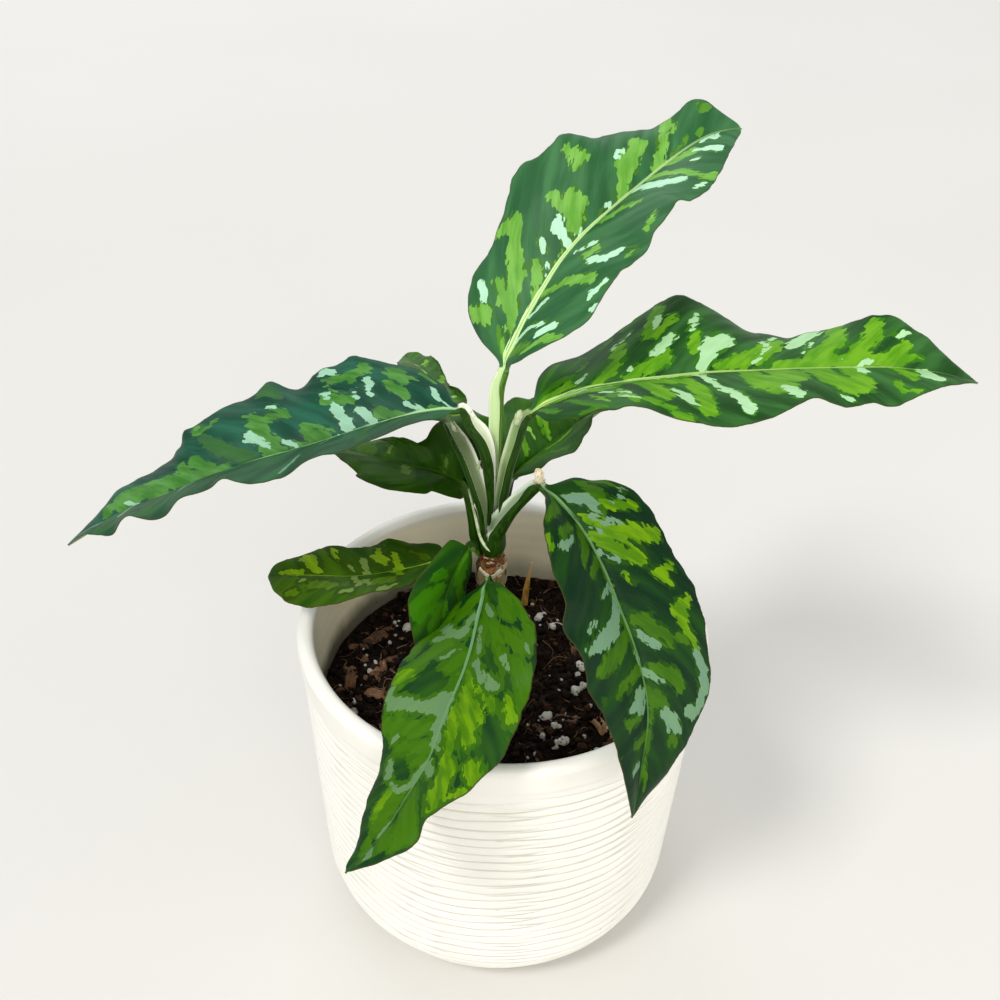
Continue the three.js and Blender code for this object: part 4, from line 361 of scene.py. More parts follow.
MARKS = {
    "leaf_top": [
        ("b", [(0.105, -0.9, 2), (0.12, -0.55, 2.4)]), ("s", [(0.175, -0.82, 1.3), (0.155, -0.68, 1.8)]),
        ("b", [(0.2, -0.58, 1.6), (0.165, -0.35, 2.3)]), ("b", [(0.1, -0.12, 1.3), (0.24, -0.4, 3), (0.29, -0.62, 2.9), (0.345, -0.7, 2)]),
        ("b", [(0.31, -0.97, 1.3), (0.34, -0.74, 2.3)]), ("b", [(0.21, -0.04, 1), (0.285, -0.22, 1.7)]),
        ("s", [(0.27, -0.06, 0.6), (0.295, -0.1, 0.7)]), ("s", [(0.32, -0.22, 0.9), (0.34, -0.34, 0.8)]),
        ("b", [(0.31, -0.03, 0.7), (0.35, -0.07, 0.6)]), ("s", [(0.365, -0.03, 1), (0.385, -0.24, 1.6), (0.41, -0.27, 1)]),
        ("s", [(0.4, -0.03, 0.7), (0.425, -0.06, 0.5)]), ("b", [(0.41, -0.1, 2), (0.47, -0.27, 2.3), (0.475, -0.38, 1.5)]),
        ("b", [(0.43, -0.22, 1.8), (0.44, -0.46, 1.6)]), ("s", [(0.485, -0.03, 0.7), (0.52, -0.05, 0.6)]),
        ("b", [(0.53, -0.6, 1.6), (0.555, -0.64, 2.2), (0.545, -0.82, 1.2)]),
        ("b", [(0.56, -0.03, 1.6), (0.64, -0.3, 3.2), (0.7, -0.5, 2.8), (0.715, -0.68, 1.3)]), ("s", [(0.63, -0.42, 0.9), (0.655, -0.52, 1.1)]),
        ("b", [(0.69, -0.03, 1.6), (0.75, -0.28, 1.8), (0.8, -0.72, 1.4), (0.83, -1, 1.7)]), ("b", [(0.81, -0.5, 0.6), (0.83, -0.72, 0.8)]),
        ("m", [(0.75, -0.04, 0.8), (0.8, -0.13, 1.2), (0.83, -0.26, 0.7)]), ("m", [(0.855, -0.1, 0.8), (0.865, -0.22, 1.2)]),
        ("m", [(0.9, -0.62, 1.2), (0.915, -0.85, 1.2)]), ("s", [(0.08, 0.08, 0.9), (0.13, 0.28, 0.9), (0.155, 0.5, 0.8)]),
        ("s", [(0.125, 0.6, 1.6), (0.155, 0.68, 1.9)]), ("s", [(0.155, 0.1, 0.8), (0.215, 0.21, 0.8)]),
        ("b", [(0.225, 0.08, 1), (0.28, 0.42, 1.3), (0.305, 0.72, 1.5)]), ("s", [(0.355, 0.18, 0.7), (0.395, 0.31, 0.9)]),
        ("b", [(0.355, 0.38, 1.6), (0.38, 0.45, 1.6)]), ("s", [(0.345, 0.52, 1.6), (0.365, 0.68, 1.5), (0.41, 0.76, 0.7)]),
        ("b", [(0.46, 0.08, 1.4), (0.51, 0.22, 1.6), (0.545, 0.45, 0.8)]), ("s", [(0.6, 0.1, 1.8), (0.63, 0.42, 2.2), (0.675, 0.6, 1)]),
        ("b", [(0.65, 0.08, 1.8), (0.7, 0.45, 1.4), (0.715, 0.8, 1), (0.74, 0.97, 1.4)]),
        ("b", [(0.72, 0.07, 1.6), (0.79, 0.2, 2.4), (0.8, 0.3, 1.4)]), ("s", [(0.76, 0.42, 1.2), (0.77, 0.5, 1)]),
        ("s", [(0.8, 0.24, 1.1), (0.825, 0.48, 1.8), (0.85, 0.72, 1.4)]),
        ("s", [(0.84, 0.14, 1), (0.87, 0.06, 1.2), (0.885, 0.3, 1.2), (0.91, 0.03, 0.6)]), ("s", [(0.265, 0.84, 0.8), (0.315, 0.92, 0.8)]),
        ("s", [(0.235, 0.97, 0.7), (0.25, 0.98, 0.7)]), ("b", [(0.4, 0.86, 0.7), (0.42, 0.88, 0.7)]), ("b", [(0.485, 0.87, 1.2), (0.53, 0.81, 1)]),
        ("s", [(0.665, 0.86, 0.9), (0.7, 0.89, 0.8)]), ("m", [(0.05, 0.15, 1.6), (0.065, 0.45, 2), (0.08, 0.62, 1.8)]),
        ("b", [(0.07, 0.76, 1.5), (0.115, 0.8, 1.9), (0.13, 0.93, 1.5)]), ("m", [(0.03, -0.25, 1.2), (0.09, -0.32, 1.5)]),
        ("b", [(0.04, -0.2, 0.9), (0.095, -0.24, 1)]),
    ],
    "leaf_right": [
        ("b", [(0.02, -0.2, 1.5), (0.06, -0.15, 1.8), (0.11, -0.2, 1.6)]), ("m", [(0.05, -0.52, 1), (0.09, -0.85, 1.3)]),
        ("m", [(0.1, -0.58, 0.5), (0.14, -0.84, 0.7)]), ("m", [(0.11, -0.3, 0.6), (0.15, -0.6, 0.5)]),
        ("b", [(0.16, -0.04, 1), (0.205, -0.3, 2), (0.225, -0.56, 2)]), ("s", [(0.125, -0.18, 0.5), (0.15, -0.3, 0.5)]),
        ("s", [(0.21, -0.62, 0.8), (0.25, -0.76, 0.8)]), ("m", [(0.19, -0.8, 0.6), (0.21, -0.92, 0.6)]),
        ("b", [(0.15, -0.08, 0.6), (0.19, -0.22, 0.6)]), ("b", [(0.23, -0.05, 1.4), (0.3, -0.2, 2.8), (0.32, -0.28, 1.4)]),
        ("s", [(0.215, -0.1, 0.4), (0.24, -0.18, 0.5)]), ("s", [(0.295, -0.3, 1.4), (0.335, -0.46, 1.3)]),
        ("b", [(0.285, -0.6, 1.8), (0.315, -0.88, 1.8)]), ("b", [(0.3, -0.52, 1.2), (0.345, -0.68, 1.4)]),
        ("s", [(0.305, -0.68, 1.2), (0.315, -0.76, 1.2)]), ("s", [(0.375, -0.5, 1), (0.395, -0.74, 0.8)]),
        ("b", [(0.375, -0.28, 1.6), (0.385, -0.46, 1.4)]), ("s", [(0.385, -0.05, 1.6), (0.41, -0.3, 2.6), (0.445, -0.44, 2.4), (0.46, -0.5, 1)]),
        ("b", [(0.42, -0.04, 1.2), (0.5, -0.2, 3.2), (0.545, -0.45, 2.8), (0.57, -0.66, 1.4)]), ("s", [(0.51, -0.24, 0.8), (0.54, -0.48, 1)]),
        ("s", [(0.53, -0.52, 0.9), (0.565, -0.76, 0.8)]), ("s", [(0.49, -0.08, 0.4), (0.51, -0.18, 0.4)]),
        ("b", [(0.55, -0.08, 2), (0.66, -0.14, 3.6), (0.8, -0.12, 2.6)]), ("b", [(0.63, -0.2, 3), (0.685, -0.55, 3), (0.7, -0.97, 1.8)]),
        ("s", [(0.585, -0.5, 1.4), (0.62, -0.75, 2.8), (0.655, -0.98, 2.6)]), ("s", [(0.61, -0.36, 0.8), (0.635, -0.58, 1)]),
        ("b", [(0.72, -0.25, 2.6), (0.76, -0.58, 2.4), (0.77, -0.88, 1.6)]), ("b", [(0.78, -0.16, 2), (0.82, -0.4, 1.4), (0.825, -0.5, 0.8)]),
        ("b", [(0.8, -0.14, 2), (0.85, -0.28, 1.2)]), ("s", [(0.805, -0.54, 1), (0.83, -0.76, 0.8)]), ("s", [(0.69, -0.13, 0.6), (0.7, -0.16, 0.5)]),
        ("s", [(0.72, -0.04, 0.8), (0.745, -0.1, 0.8)]), ("m", [(0.24, -0.93, 0.7), (0.27, -0.97, 0.7)]),
        ("b", [(0.05, 0.12, 1.4), (0.13, 0.26, 1.6), (0.2, 0.34, 1.2)]), ("m", [(0.03, 0.35, 1.2), (0.07, 0.7, 1.4)]),
        ("m", [(0.1, 0.42, 0.6), (0.15, 0.86, 0.8)]), ("b", [(0.15, 0.5, 0.6), (0.18, 0.78, 0.6)]), ("s", [(0.17, 0.42, 0.5), (0.22, 0.62, 0.6)]),
        ("b", [(0.2, 0.5, 1), (0.23, 0.86, 0.8)]), ("b", [(0.26, 0.3, 2.6), (0.285, 0.58, 3.2)]),
        ("b", [(0.28, 0.18, 2), (0.34, 0.2, 2.2), (0.365, 0.4, 2.4), (0.37, 0.78, 2.4)]),
        ("s", [(0.31, 0.42, 0.8), (0.33, 0.58, 1.8), (0.345, 0.7, 1.2)]),
        ("s", [(0.375, 0.1, 0.9), (0.41, 0.38, 1), (0.445, 0.6, 1.7), (0.455, 0.84, 1.5)]),
        ("b", [(0.48, 0.1, 2.6), (0.49, 0.35, 3.6), (0.54, 0.66, 2.6)]), ("b", [(0.54, 0.1, 4), (0.56, 0.4, 4.6)]),
        ("b", [(0.62, 0.08, 4), (0.64, 0.42, 4.6), (0.69, 0.66, 4)]), ("b", [(0.69, 0.08, 2.4), (0.705, 0.55, 3)]),
        ("s", [(0.535, 0.62, 1), (0.555, 0.85, 1.4)]), ("s", [(0.65, 0.8, 0.9), (0.665, 0.88, 0.9)]), ("s", [(0.715, 0.02, 1.8), (0.72, 0.2, 0.9)]),
        ("b", [(0.79, 0.06, 1.4), (0.82, 0.3, 2.2), (0.82, 0.5, 1.4)]), ("s", [(0.86, 0.04, 2.4), (0.855, 0.38, 2.6), (0.88, 0.66, 2.4)]),
        ("b", [(0.775, 0.52, 1.4), (0.785, 0.78, 1.4)]), ("b", [(0.8, 0.8, 1.1), (0.815, 0.88, 1.1)]), ("b", [(0.25, 0.8, 1.4), (0.3, 0.84, 1.2)]),
        ("b", [(0.3, 0.95, 1.2), (0.33, 0.94, 0.9)]), ("m", [(0.13, 0.95, 0.8), (0.17, 0.93, 0.8)]),
        ("b", [(0.02, 0.06, 1.3), (0.1, 0.14, 2.3), (0.18, 0.17, 2.4), (0.26, 0.08, 1.5), (0.36, 0.05, 1.1)]),
        ("s", [(0.05, 0.05, 0.5), (0.12, 0.12, 0.8), (0.19, 0.19, 0.7)]), ("s", [(0.14, 0.04, 0.6), (0.26, 0.05, 0.7), (0.38, 0.04, 0.5)]),
        ("m", [(0.04, -0.3, 1.6), (0.1, -0.34, 1.4)]), ("m", [(0.18, 0.62, 1.2), (0.22, 0.7, 1.2)]), ("s", [(0.2, 0.7, 0.6), (0.235, 0.76, 0.8)]),
    ],
    "leaf_left": [
        ("s", [(0.055, 0.32, 0.7), (0.07, 0.62, 0.8)]), ("s", [(0.095, 0.07, 1.2), (0.125, 0.22, 0.7)]),
        ("b", [(0.14, 0.03, 1.4), (0.19, 0.14, 1.9)]), ("s", [(0.205, 0.05, 1.2), (0.235, 0.22, 1.3)]),
        ("s", [(0.26, 0.06, 1.8), (0.285, 0.34, 1.4)]), ("b", [(0.32, 0.05, 2.2), (0.36, 0.2, 2)]), ("s", [(0.39, 0.04, 0.8), (0.42, 0.13, 0.7)]),
        ("b", [(0.125, 0.32, 1.8), (0.155, 0.52, 2)]), ("b", [(0.13, 0.6, 1.6), (0.145, 0.84, 2.2)]), ("s", [(0.2, 0.4, 1.1), (0.202, 0.6, 1.3)]),
        ("s", [(0.225, 0.38, 0.6), (0.235, 0.46, 0.8)]), ("b", [(0.245, 0.38, 1.6), (0.3, 0.5, 2)]), ("b", [(0.235, 0.64, 1.2), (0.2, 0.82, 1.6)]),
        ("s", [(0.295, 0.52, 1), (0.315, 0.58, 0.8)]), ("b", [(0.44, 0.05, 2.6), (0.47, 0.35, 3), (0.48, 0.62, 1.6)]),
        ("s", [(0.45, 0.12, 0.6), (0.49, 0.32, 1.6)]), ("b", [(0.41, 0.52, 1.1), (0.435, 0.6, 1.2)]), ("s", [(0.425, 0.62, 0.6), (0.44, 0.64, 0.6)]),
        ("m", [(0.5, 0.03, 2.4), (0.56, 0.3, 2), (0.595, 0.68, 1.1)]), ("b", [(0.58, 0.04, 2.4), (0.625, 0.36, 1.9)]),
        ("b", [(0.64, 0.04, 3), (0.66, 0.46, 1.3)]), ("b", [(0.72, 0.05, 3.6), (0.75, 0.42, 3)]), ("b", [(0.8, 0.08, 3.6), (0.83, 0.56, 3)]),
        ("b", [(0.86, 0.15, 1.8), (0.87, 0.5, 1.6)]), ("s", [(0.77, 0.01, 1), (0.81, 0.2, 0.6)]), ("b", [(0.27, 0.75, 1.4), (0.3, 0.78, 1)]),
        ("s", [(0.28, 0.88, 1.6), (0.3, 0.92, 1.6)]), ("m", [(0.42, 0.82, 1.8), (0.45, 0.93, 2)]), ("m", [(0.58, 0.8, 0.9), (0.6, 0.92, 1)]),
        ("b", [(0.07, 0.85, 1.2), (0.09, 0.92, 1.2)]), ("m", [(0.11, -0.08, 1.5), (0.135, -0.6, 2)]),
        ("m", [(0.19, -0.05, 0.9), (0.215, -0.45, 1.2), (0.21, -0.8, 1.9)]), ("s", [(0.29, -0.02, 0.7), (0.31, -0.5, 0.5)]),
        ("m", [(0.43, -0.02, 1.6), (0.46, -0.45, 1.2)]), ("b", [(0.52, -0.06, 1.2), (0.54, -0.45, 1.6)]),
        ("s", [(0.62, -0.1, 1.2), (0.65, -0.5, 1.2)]), ("m", [(0.68, -0.06, 2.2), (0.72, -0.5, 2), (0.72, -0.85, 1.4)]),
        ("s", [(0.76, -0.04, 1.2), (0.79, -0.45, 1.2)]), ("s", [(0.84, -0.06, 1.8), (0.87, -0.55, 1.8)]),
        ("m", [(0.8, -0.7, 1.6), (0.84, -0.9, 1.4)]), ("s", [(0.36, -0.7, 0.5), (0.4, -0.88, 0.6)]),
        ("b", [(0.56, 0.06, 1.6), (0.66, 0.14, 3), (0.76, 0.26, 4.6), (0.83, 0.34, 4.4)]),
        ("b", [(0.67, 0.3, 1.6), (0.74, 0.4, 2.6), (0.81, 0.54, 2.6)]), ("b", [(0.4, 0.46, 1), (0.44, 0.47, 1.2), (0.48, 0.46, 1.2)]),
        ("b", [(0.555, 0.8, 0.8), (0.575, 0.76, 0.8), (0.6, 0.8, 0.9), (0.6, 0.9, 0.8)]),
        ("b", [(0.2, 0.75, 0.9), (0.25, 0.72, 0.9), (0.29, 0.7, 1)]), ("b", [(0.11, 0.7, 1.2), (0.135, 0.66, 1.3), (0.16, 0.72, 1.2)]),
        ("b", [(0.03, 0.08, 1.2), (0.07, 0.13, 1)]), ("m", [(0.055, 0.05, 1.2), (0.09, 0.04, 1)]), ("b", [(0.34, 0.03, 1), (0.44, 0.05, 1.2)]),
        ("s", [(0.015, 0.12, 0.8), (0.035, 0.3, 0.8)]),
    ],
    "leaf_front_right": [
        ("s", [(0.085, -0.22, 2.2), (0.105, -0.38, 2.6), (0.135, -0.36, 1.6)]), ("m", [(0.07, -0.8, 1.4), (0.12, -0.52, 2.2), (0.155, -0.36, 1.8)]),
        ("b", [(0.15, -0.48, 1.4), (0.19, -0.82, 1.1)]), ("s", [(0.155, -0.2, 0.7), (0.185, -0.3, 0.8), (0.205, -0.46, 0.9)]),
        ("s", [(0.145, -0.5, 0.6), (0.16, -0.56, 0.6)]), ("s", [(0.155, -0.7, 0.5), (0.16, -0.76, 0.5)]),
        ("b", [(0.14, -0.11, 0.8), (0.22, -0.33, 2.4), (0.245, -0.58, 2.6), (0.265, -0.85, 2.2)]),
        ("b", [(0.2, -0.08, 1.6), (0.28, -0.28, 2), (0.31, -0.5, 1.9)]), ("s", [(0.25, -0.03, 0.7), (0.295, -0.2, 0.7)]),
        ("s", [(0.18, -0.12, 0.5), (0.205, -0.17, 0.5)]), ("b", [(0.35, -0.85, 1.1), (0.365, -0.6, 1.7), (0.395, -0.7, 1.2)]),
        ("b", [(0.455, -0.83, 1.4), (0.475, -0.66, 2.3), (0.52, -0.7, 1.2), (0.575, -0.8, 1)]), ("m", [(0.54, -0.5, 1), (0.55, -0.74, 1.1)]),
        ("m", [(0.46, -0.1, 1.6), (0.51, -0.3, 2.1), (0.545, -0.44, 1.6)]), ("s", [(0.48, -0.02, 0.7), (0.545, -0.26, 1.1)]),
        ("s", [(0.59, -0.8, 1.4), (0.66, -0.9, 2.2), (0.71, -0.86, 1.8), (0.71, -0.68, 1.2)]),
        ("m", [(0.595, -0.08, 0.9), (0.62, -0.35, 1.8), (0.655, -0.48, 1.8)]), ("s", [(0.605, -0.02, 0.8), (0.64, -0.24, 0.8)]),
        ("m", [(0.65, -0.03, 1.6), (0.69, -0.18, 2.2), (0.705, -0.28, 1)]), ("s", [(0.715, -0.26, 1.3), (0.74, -0.45, 1.8), (0.758, -0.66, 1)]),
        ("m", [(0.775, -0.5, 1.2), (0.79, -0.66, 1.2)]), ("b", [(0.335, -0.2, 0.6), (0.365, -0.27, 0.6)]),
        ("m", [(0.455, -0.24, 0.6), (0.465, -0.3, 0.5)]), ("m", [(0.09, -0.95, 1.2), (0.12, -0.88, 1)]),
        ("s", [(0.14, -0.93, 0.6), (0.145, -0.86, 0.6)]), ("m", [(0.03, 0.2, 2.6), (0.08, 0.5, 2.6), (0.09, 0.8, 1.6)]),
        ("m", [(0.155, 0.32, 1.1), (0.17, 0.62, 2)]), ("m", [(0.17, 0.1, 1.6), (0.23, 0.24, 2.2), (0.275, 0.4, 1.1)]),
        ("m", [(0.27, 0.1, 1.4), (0.32, 0.34, 0.8)]), ("s", [(0.185, 0.42, 0.7), (0.215, 0.66, 1.7), (0.21, 0.76, 1.2)]),
        ("b", [(0.16, 0.97, 1.4), (0.2, 0.93, 1.6)]), ("s", [(0.355, 0.08, 0.8), (0.385, 0.32, 0.6)]),
        ("s", [(0.35, 0.04, 0.8), (0.42, 0.1, 1.6), (0.475, 0.3, 2.5), (0.505, 0.56, 2.2), (0.527, 0.86, 1)]),
        ("s", [(0.445, 0.55, 0.8), (0.465, 0.68, 0.9)]), ("m", [(0.49, 0.06, 0.9), (0.53, 0.3, 2.2), (0.57, 0.6, 2.8), (0.595, 0.76, 1.8)]),
        ("m", [(0.59, 0.06, 0.9), (0.63, 0.35, 1.7), (0.67, 0.6, 0.7)]), ("s", [(0.655, 0.1, 1.8), (0.695, 0.22, 2.4), (0.715, 0.44, 1)]),
        ("m", [(0.73, 0.22, 1), (0.755, 0.56, 1.3)]), ("m", [(0.78, 0.08, 1.6), (0.805, 0.36, 1.6)]), ("s", [(0.85, 0.22, 0.9), (0.875, 0.6, 0.9)]),
        ("s", [(0.68, 0.84, 0.6), (0.69, 0.87, 0.6)]), ("s", [(0.555, 0.02, 0.9), (0.58, 0.01, 0.7)]), ("m", [(0.86, -0.1, 1), (0.92, -0.3, 1)]),
        ("m", [(0.02, 0.3, 2.6), (0.07, 0.4, 3), (0.09, 0.85, 2.4)]), ("m", [(0.3, 0.04, 0.9), (0.45, 0.05, 1), (0.6, 0.05, 0.8)]),
        ("m", [(0.66, -0.06, 1), (0.78, -0.05, 0.9), (0.9, -0.06, 0.6)]),
    ],
    "leaf_front": [
        ("m", [(0.11, -0.78, 2.4), (0.17, -0.66, 2.4)]), ("m", [(0.12, -0.95, 1.6), (0.24, -0.92, 1.4)]),
        ("m", [(0.17, -0.36, 1.3), (0.22, -0.42, 1.6), (0.285, -0.52, 1.1)]), ("m", [(0.225, -0.55, 1.3), (0.265, -0.8, 2.2)]),
        ("s", [(0.27, -0.88, 0.8), (0.28, -0.91, 0.7)]), ("s", [(0.11, -0.25, 1), (0.16, -0.36, 1.3)]),
        ("s", [(0.19, -0.12, 0.8), (0.27, -0.17, 0.6)]), ("m", [(0.31, -0.76, 1.6), (0.35, -0.92, 2.2), (0.43, -0.97, 1.6)]),
        ("b", [(0.41, -0.77, 1), (0.475, -0.9, 1.4)]), ("s", [(0.3, -0.57, 0.7), (0.325, -0.64, 0.7)]),
        ("s", [(0.3, -0.14, 0.8), (0.355, -0.32, 1.5), (0.385, -0.54, 1.4)]), ("b", [(0.385, -0.32, 0.7), (0.45, -0.64, 1)]),
        ("b", [(0.34, -0.1, 1), (0.44, -0.25, 2.6), (0.49, -0.45, 2.6)]), ("b", [(0.44, -0.2, 2.2), (0.51, -0.38, 2.8), (0.56, -0.52, 1.4)]),
        ("b", [(0.46, -0.14, 2), (0.59, -0.26, 1.6)]), ("s", [(0.54, -0.03, 0.8), (0.59, -0.09, 0.9)]),
        ("b", [(0.61, -0.28, 1.4), (0.66, -0.48, 2.8), (0.72, -0.62, 2.6), (0.76, -0.88, 1.6)]), ("b", [(0.62, -0.7, 1.6), (0.65, -0.95, 2.2)]),
        ("s", [(0.63, -0.04, 1.2), (0.67, -0.22, 1.1)]), ("m", [(0.73, -0.12, 1.6), (0.8, -0.4, 3.2), (0.84, -0.8, 2.6)]),
        ("s", [(0.92, -0.12, 1), (0.935, -0.5, 1.3)]), ("b", [(0.69, -0.95, 1.4), (0.72, -0.9, 1.2)]), ("s", [(0.14, 0.1, 1.6), (0.155, 0.16, 1.6)]),
        ("s", [(0.2, 0.18, 2), (0.205, 0.42, 1.6), (0.17, 0.62, 1.6)]), ("s", [(0.225, 0.62, 1.4), (0.22, 0.5, 1.2)]),
        ("m", [(0.05, 0.12, 1.6), (0.1, 0.36, 2.4), (0.13, 0.44, 1.8)]), ("m", [(0.24, 0.38, 2), (0.28, 0.52, 2.4)]),
        ("b", [(0.38, 0.74, 2), (0.4, 0.94, 2.4)]), ("m", [(0.12, 0.7, 1.6), (0.16, 0.95, 1.8)]), ("s", [(0.26, 0.16, 0.9), (0.305, 0.36, 0.7)]),
        ("m", [(0.285, 0.06, 1.6), (0.33, 0.22, 1.8)]), ("m", [(0.35, 0.06, 1), (0.375, 0.1, 0.8)]), ("s", [(0.435, 0.92, 0.9), (0.46, 0.96, 0.9)]),
        ("m", [(0.53, 0.16, 1.6), (0.55, 0.42, 2.6), (0.54, 0.72, 2), (0.545, 0.92, 2.2)]),
        ("m", [(0.59, 0.1, 2), (0.6, 0.4, 2.4), (0.61, 0.64, 1.6)]), ("m", [(0.63, 0.1, 1.4), (0.645, 0.24, 1.3)]),
        ("s", [(0.575, 0.68, 0.9), (0.588, 0.76, 1)]), ("m", [(0.75, 0.12, 1.8), (0.85, 0.24, 2.6)]), ("b", [(0.74, 0.42, 1.8), (0.82, 0.55, 2.8)]),
        ("s", [(0.83, 0.03, 1), (0.87, 0.05, 0.8)]), ("m", [(0.08, -0.2, 1.2), (0.16, -0.22, 1.8), (0.26, -0.16, 1.3), (0.34, -0.08, 0.8)]),
        ("m", [(0.76, -0.2, 2.2), (0.82, -0.45, 3), (0.86, -0.75, 2.6)]), ("m", [(0.76, 0.3, 3), (0.84, 0.36, 3)]),
        ("m", [(0.5, 0.66, 1.6), (0.56, 0.78, 2)]), ("m", [(0.22, 0.44, 1.3), (0.32, 0.64, 1.7), (0.41, 0.84, 1.9)]),
        ("m", [(0.1, 0.78, 1.5), (0.2, 0.84, 1.7), (0.3, 0.93, 1.4)]),
        ("s", [(0.435, 0.05, 2.3), (0.462, 0.16, 2.6), (0.477, 0.38, 1.7), (0.475, 0.66, 1.8), (0.48, 0.85, 2.4)]),
        ("s", [(0.475, 0.03, 2.3), (0.53, 0.035, 1.6), (0.575, 0.015, 0.9)]),
        ("s", [(0.65, 0.05, 1), (0.715, 0.07, 1.5), (0.735, 0.2, 1.3), (0.73, 0.38, 0.8), (0.722, 0.5, 0.9)]),
        ("s", [(0.715, 0.56, 1), (0.7, 0.66, 1.9), (0.665, 0.745, 1.6)]), ("m", [(0.86, -0.12, 1.6), (0.88, -0.5, 2.4)]),
        ("m", [(0.92, 0.1, 1.4), (0.9, 0.35, 1.8)]),
    ],
    "leaf_low_left": [
        ("b", [(0.26, -0.35, 1.2), (0.275, 0.05, 1.6), (0.285, 0.42, 1.2)]), ("s", [(0.28, -0.82, 0.6), (0.36, -0.9, 0.7)]),
        ("m", [(0.3, -0.55, 2), (0.38, -0.5, 1.8)]), ("s", [(0.41, -0.55, 0.8), (0.43, -0.4, 1)]), ("s", [(0.46, -0.5, 0.8), (0.49, -0.1, 1)]),
        ("s", [(0.5, -0.7, 0.9), (0.54, -0.66, 1)]), ("s", [(0.43, 0.06, 0.9), (0.46, 0.42, 1.2)]),
        ("b", [(0.33, 0.3, 1.2), (0.39, 0.52, 1.6), (0.36, 0.72, 1)]), ("m", [(0.6, -0.35, 1.6), (0.7, -0.3, 1.8)]),
        ("b", [(0.69, 0.12, 1.2), (0.72, 0.45, 2), (0.77, 0.78, 1.8)]), ("s", [(0.74, -0.14, 0.6), (0.765, -0.2, 0.6)]),
        ("b", [(0.58, 0.5, 0.7), (0.62, 0.8, 1.1)]), ("b", [(0.78, 0.12, 1.6), (0.88, 0.18, 1.4)]), ("s", [(0.51, 0.15, 0.5), (0.525, 0.3, 0.6)]),
        ("m", [(0.12, 0.25, 1), (0.2, 0.6, 1)]), ("m", [(0.78, -0.6, 1.2), (0.82, -0.75, 1)]),
    ],
    "leaf_low_front": [
        ("m", [(0.28, 0.4, 1.6), (0.34, 0.55, 1.8), (0.42, 0.78, 1.3)]), ("m", [(0.205, 0.4, 0.7), (0.22, 0.56, 0.7)]),
        ("m", [(0.1, -0.1, 1.6), (0.2, -0.35, 2)]), ("m", [(0.42, 0.1, 2.2), (0.5, 0.3, 2)]), ("b", [(0.6, -0.3, 1.6), (0.68, 0.1, 1.8)]),
        ("s", [(0.55, -0.1, 0.7), (0.6, -0.35, 0.7)]), ("m", [(0.3, -0.5, 1.2), (0.36, -0.8, 1.2)]),
    ],
    "leaf_back_left": [
        ("m", [(0.24, -0.58, 1.4), (0.34, -0.52, 1.8), (0.38, -0.68, 1)]), ("m", [(0.24, 0.4, 1.6), (0.3, 0.6, 1.8)]),
        ("s", [(0.27, -0.36, 0.9), (0.33, -0.1, 1)]), ("s", [(0.46, 0.25, 0.9), (0.49, 0.45, 1.1)]), ("m", [(0.56, 0.1, 1.2), (0.64, 0.4, 1.2)]),
        ("s", [(0.12, -0.05, 0.5), (0.125, 0.45, 0.6)]), ("m", [(0.4, -0.8, 1.2), (0.5, -0.85, 1.4)]), ("b", [(0.62, -0.6, 1.2), (0.68, -0.8, 1)]),
        ("b", [(0.6, 0.6, 1), (0.66, 0.9, 1)]), ("m", [(0.76, -0.25, 1.2), (0.82, -0.45, 0.9)]), ("m", [(0.76, 0.2, 1.2), (0.82, 0.4, 0.9)]),
    ],
    "leaf_back_upper": [
        ("m", [(0.3, 0.3, 1.6), (0.36, 0.6, 1.8)]), ("s", [(0.34, 0.34, 0.7), (0.37, 0.46, 0.8)]), ("b", [(0.52, 0.25, 1.6), (0.6, 0.6, 1.4)]),
        ("b", [(0.18, -0.2, 1.4), (0.24, -0.55, 1.6)]), ("b", [(0.44, -0.2, 1.4), (0.5, -0.55, 1.6)]), ("s", [(0.58, -0.15, 0.7), (0.63, -0.4, 0.8)]),
        ("b", [(0.7, -0.2, 1.2), (0.76, -0.55, 1.2)]), ("b", [(0.72, 0.15, 1.2), (0.78, 0.5, 1.2)]), ("b", [(0.1, 0.2, 1.2), (0.16, 0.5, 1.3)]),
        ("s", [(0.2, 0.15, 0.6), (0.24, 0.35, 0.7)]), ("m", [(0.84, 0.1, 0.8), (0.9, 0.2, 0.7)]),
    ],
    "leaf_back_right": [
        ("m", [(0.12, 0.15, 1.2), (0.2, 0.45, 1.6), (0.24, 0.75, 1.4)]), ("b", [(0.28, 0.12, 1.2), (0.36, 0.45, 1.8)]),
        ("b", [(0.44, 0.15, 1.4), (0.52, 0.55, 1.8)]), ("s", [(0.4, 0.1, 0.6), (0.44, 0.28, 0.7)]), ("b", [(0.18, -0.15, 1.4), (0.26, -0.55, 1.8)]),
        ("b", [(0.36, -0.12, 1.2), (0.44, -0.5, 1.8)]), ("s", [(0.3, -0.3, 0.7), (0.33, -0.5, 0.8)]), ("m", [(0.56, -0.15, 1.4), (0.64, -0.55, 1.6)]),
        ("b", [(0.62, 0.12, 1.4), (0.7, 0.5, 1.6)]), ("s", [(0.56, 0.1, 0.7), (0.6, 0.32, 0.8)]), ("b", [(0.76, -0.12, 1.2), (0.82, -0.45, 1.3)]),
        ("b", [(0.8, 0.12, 1), (0.86, 0.35, 1)]),
    ],
}

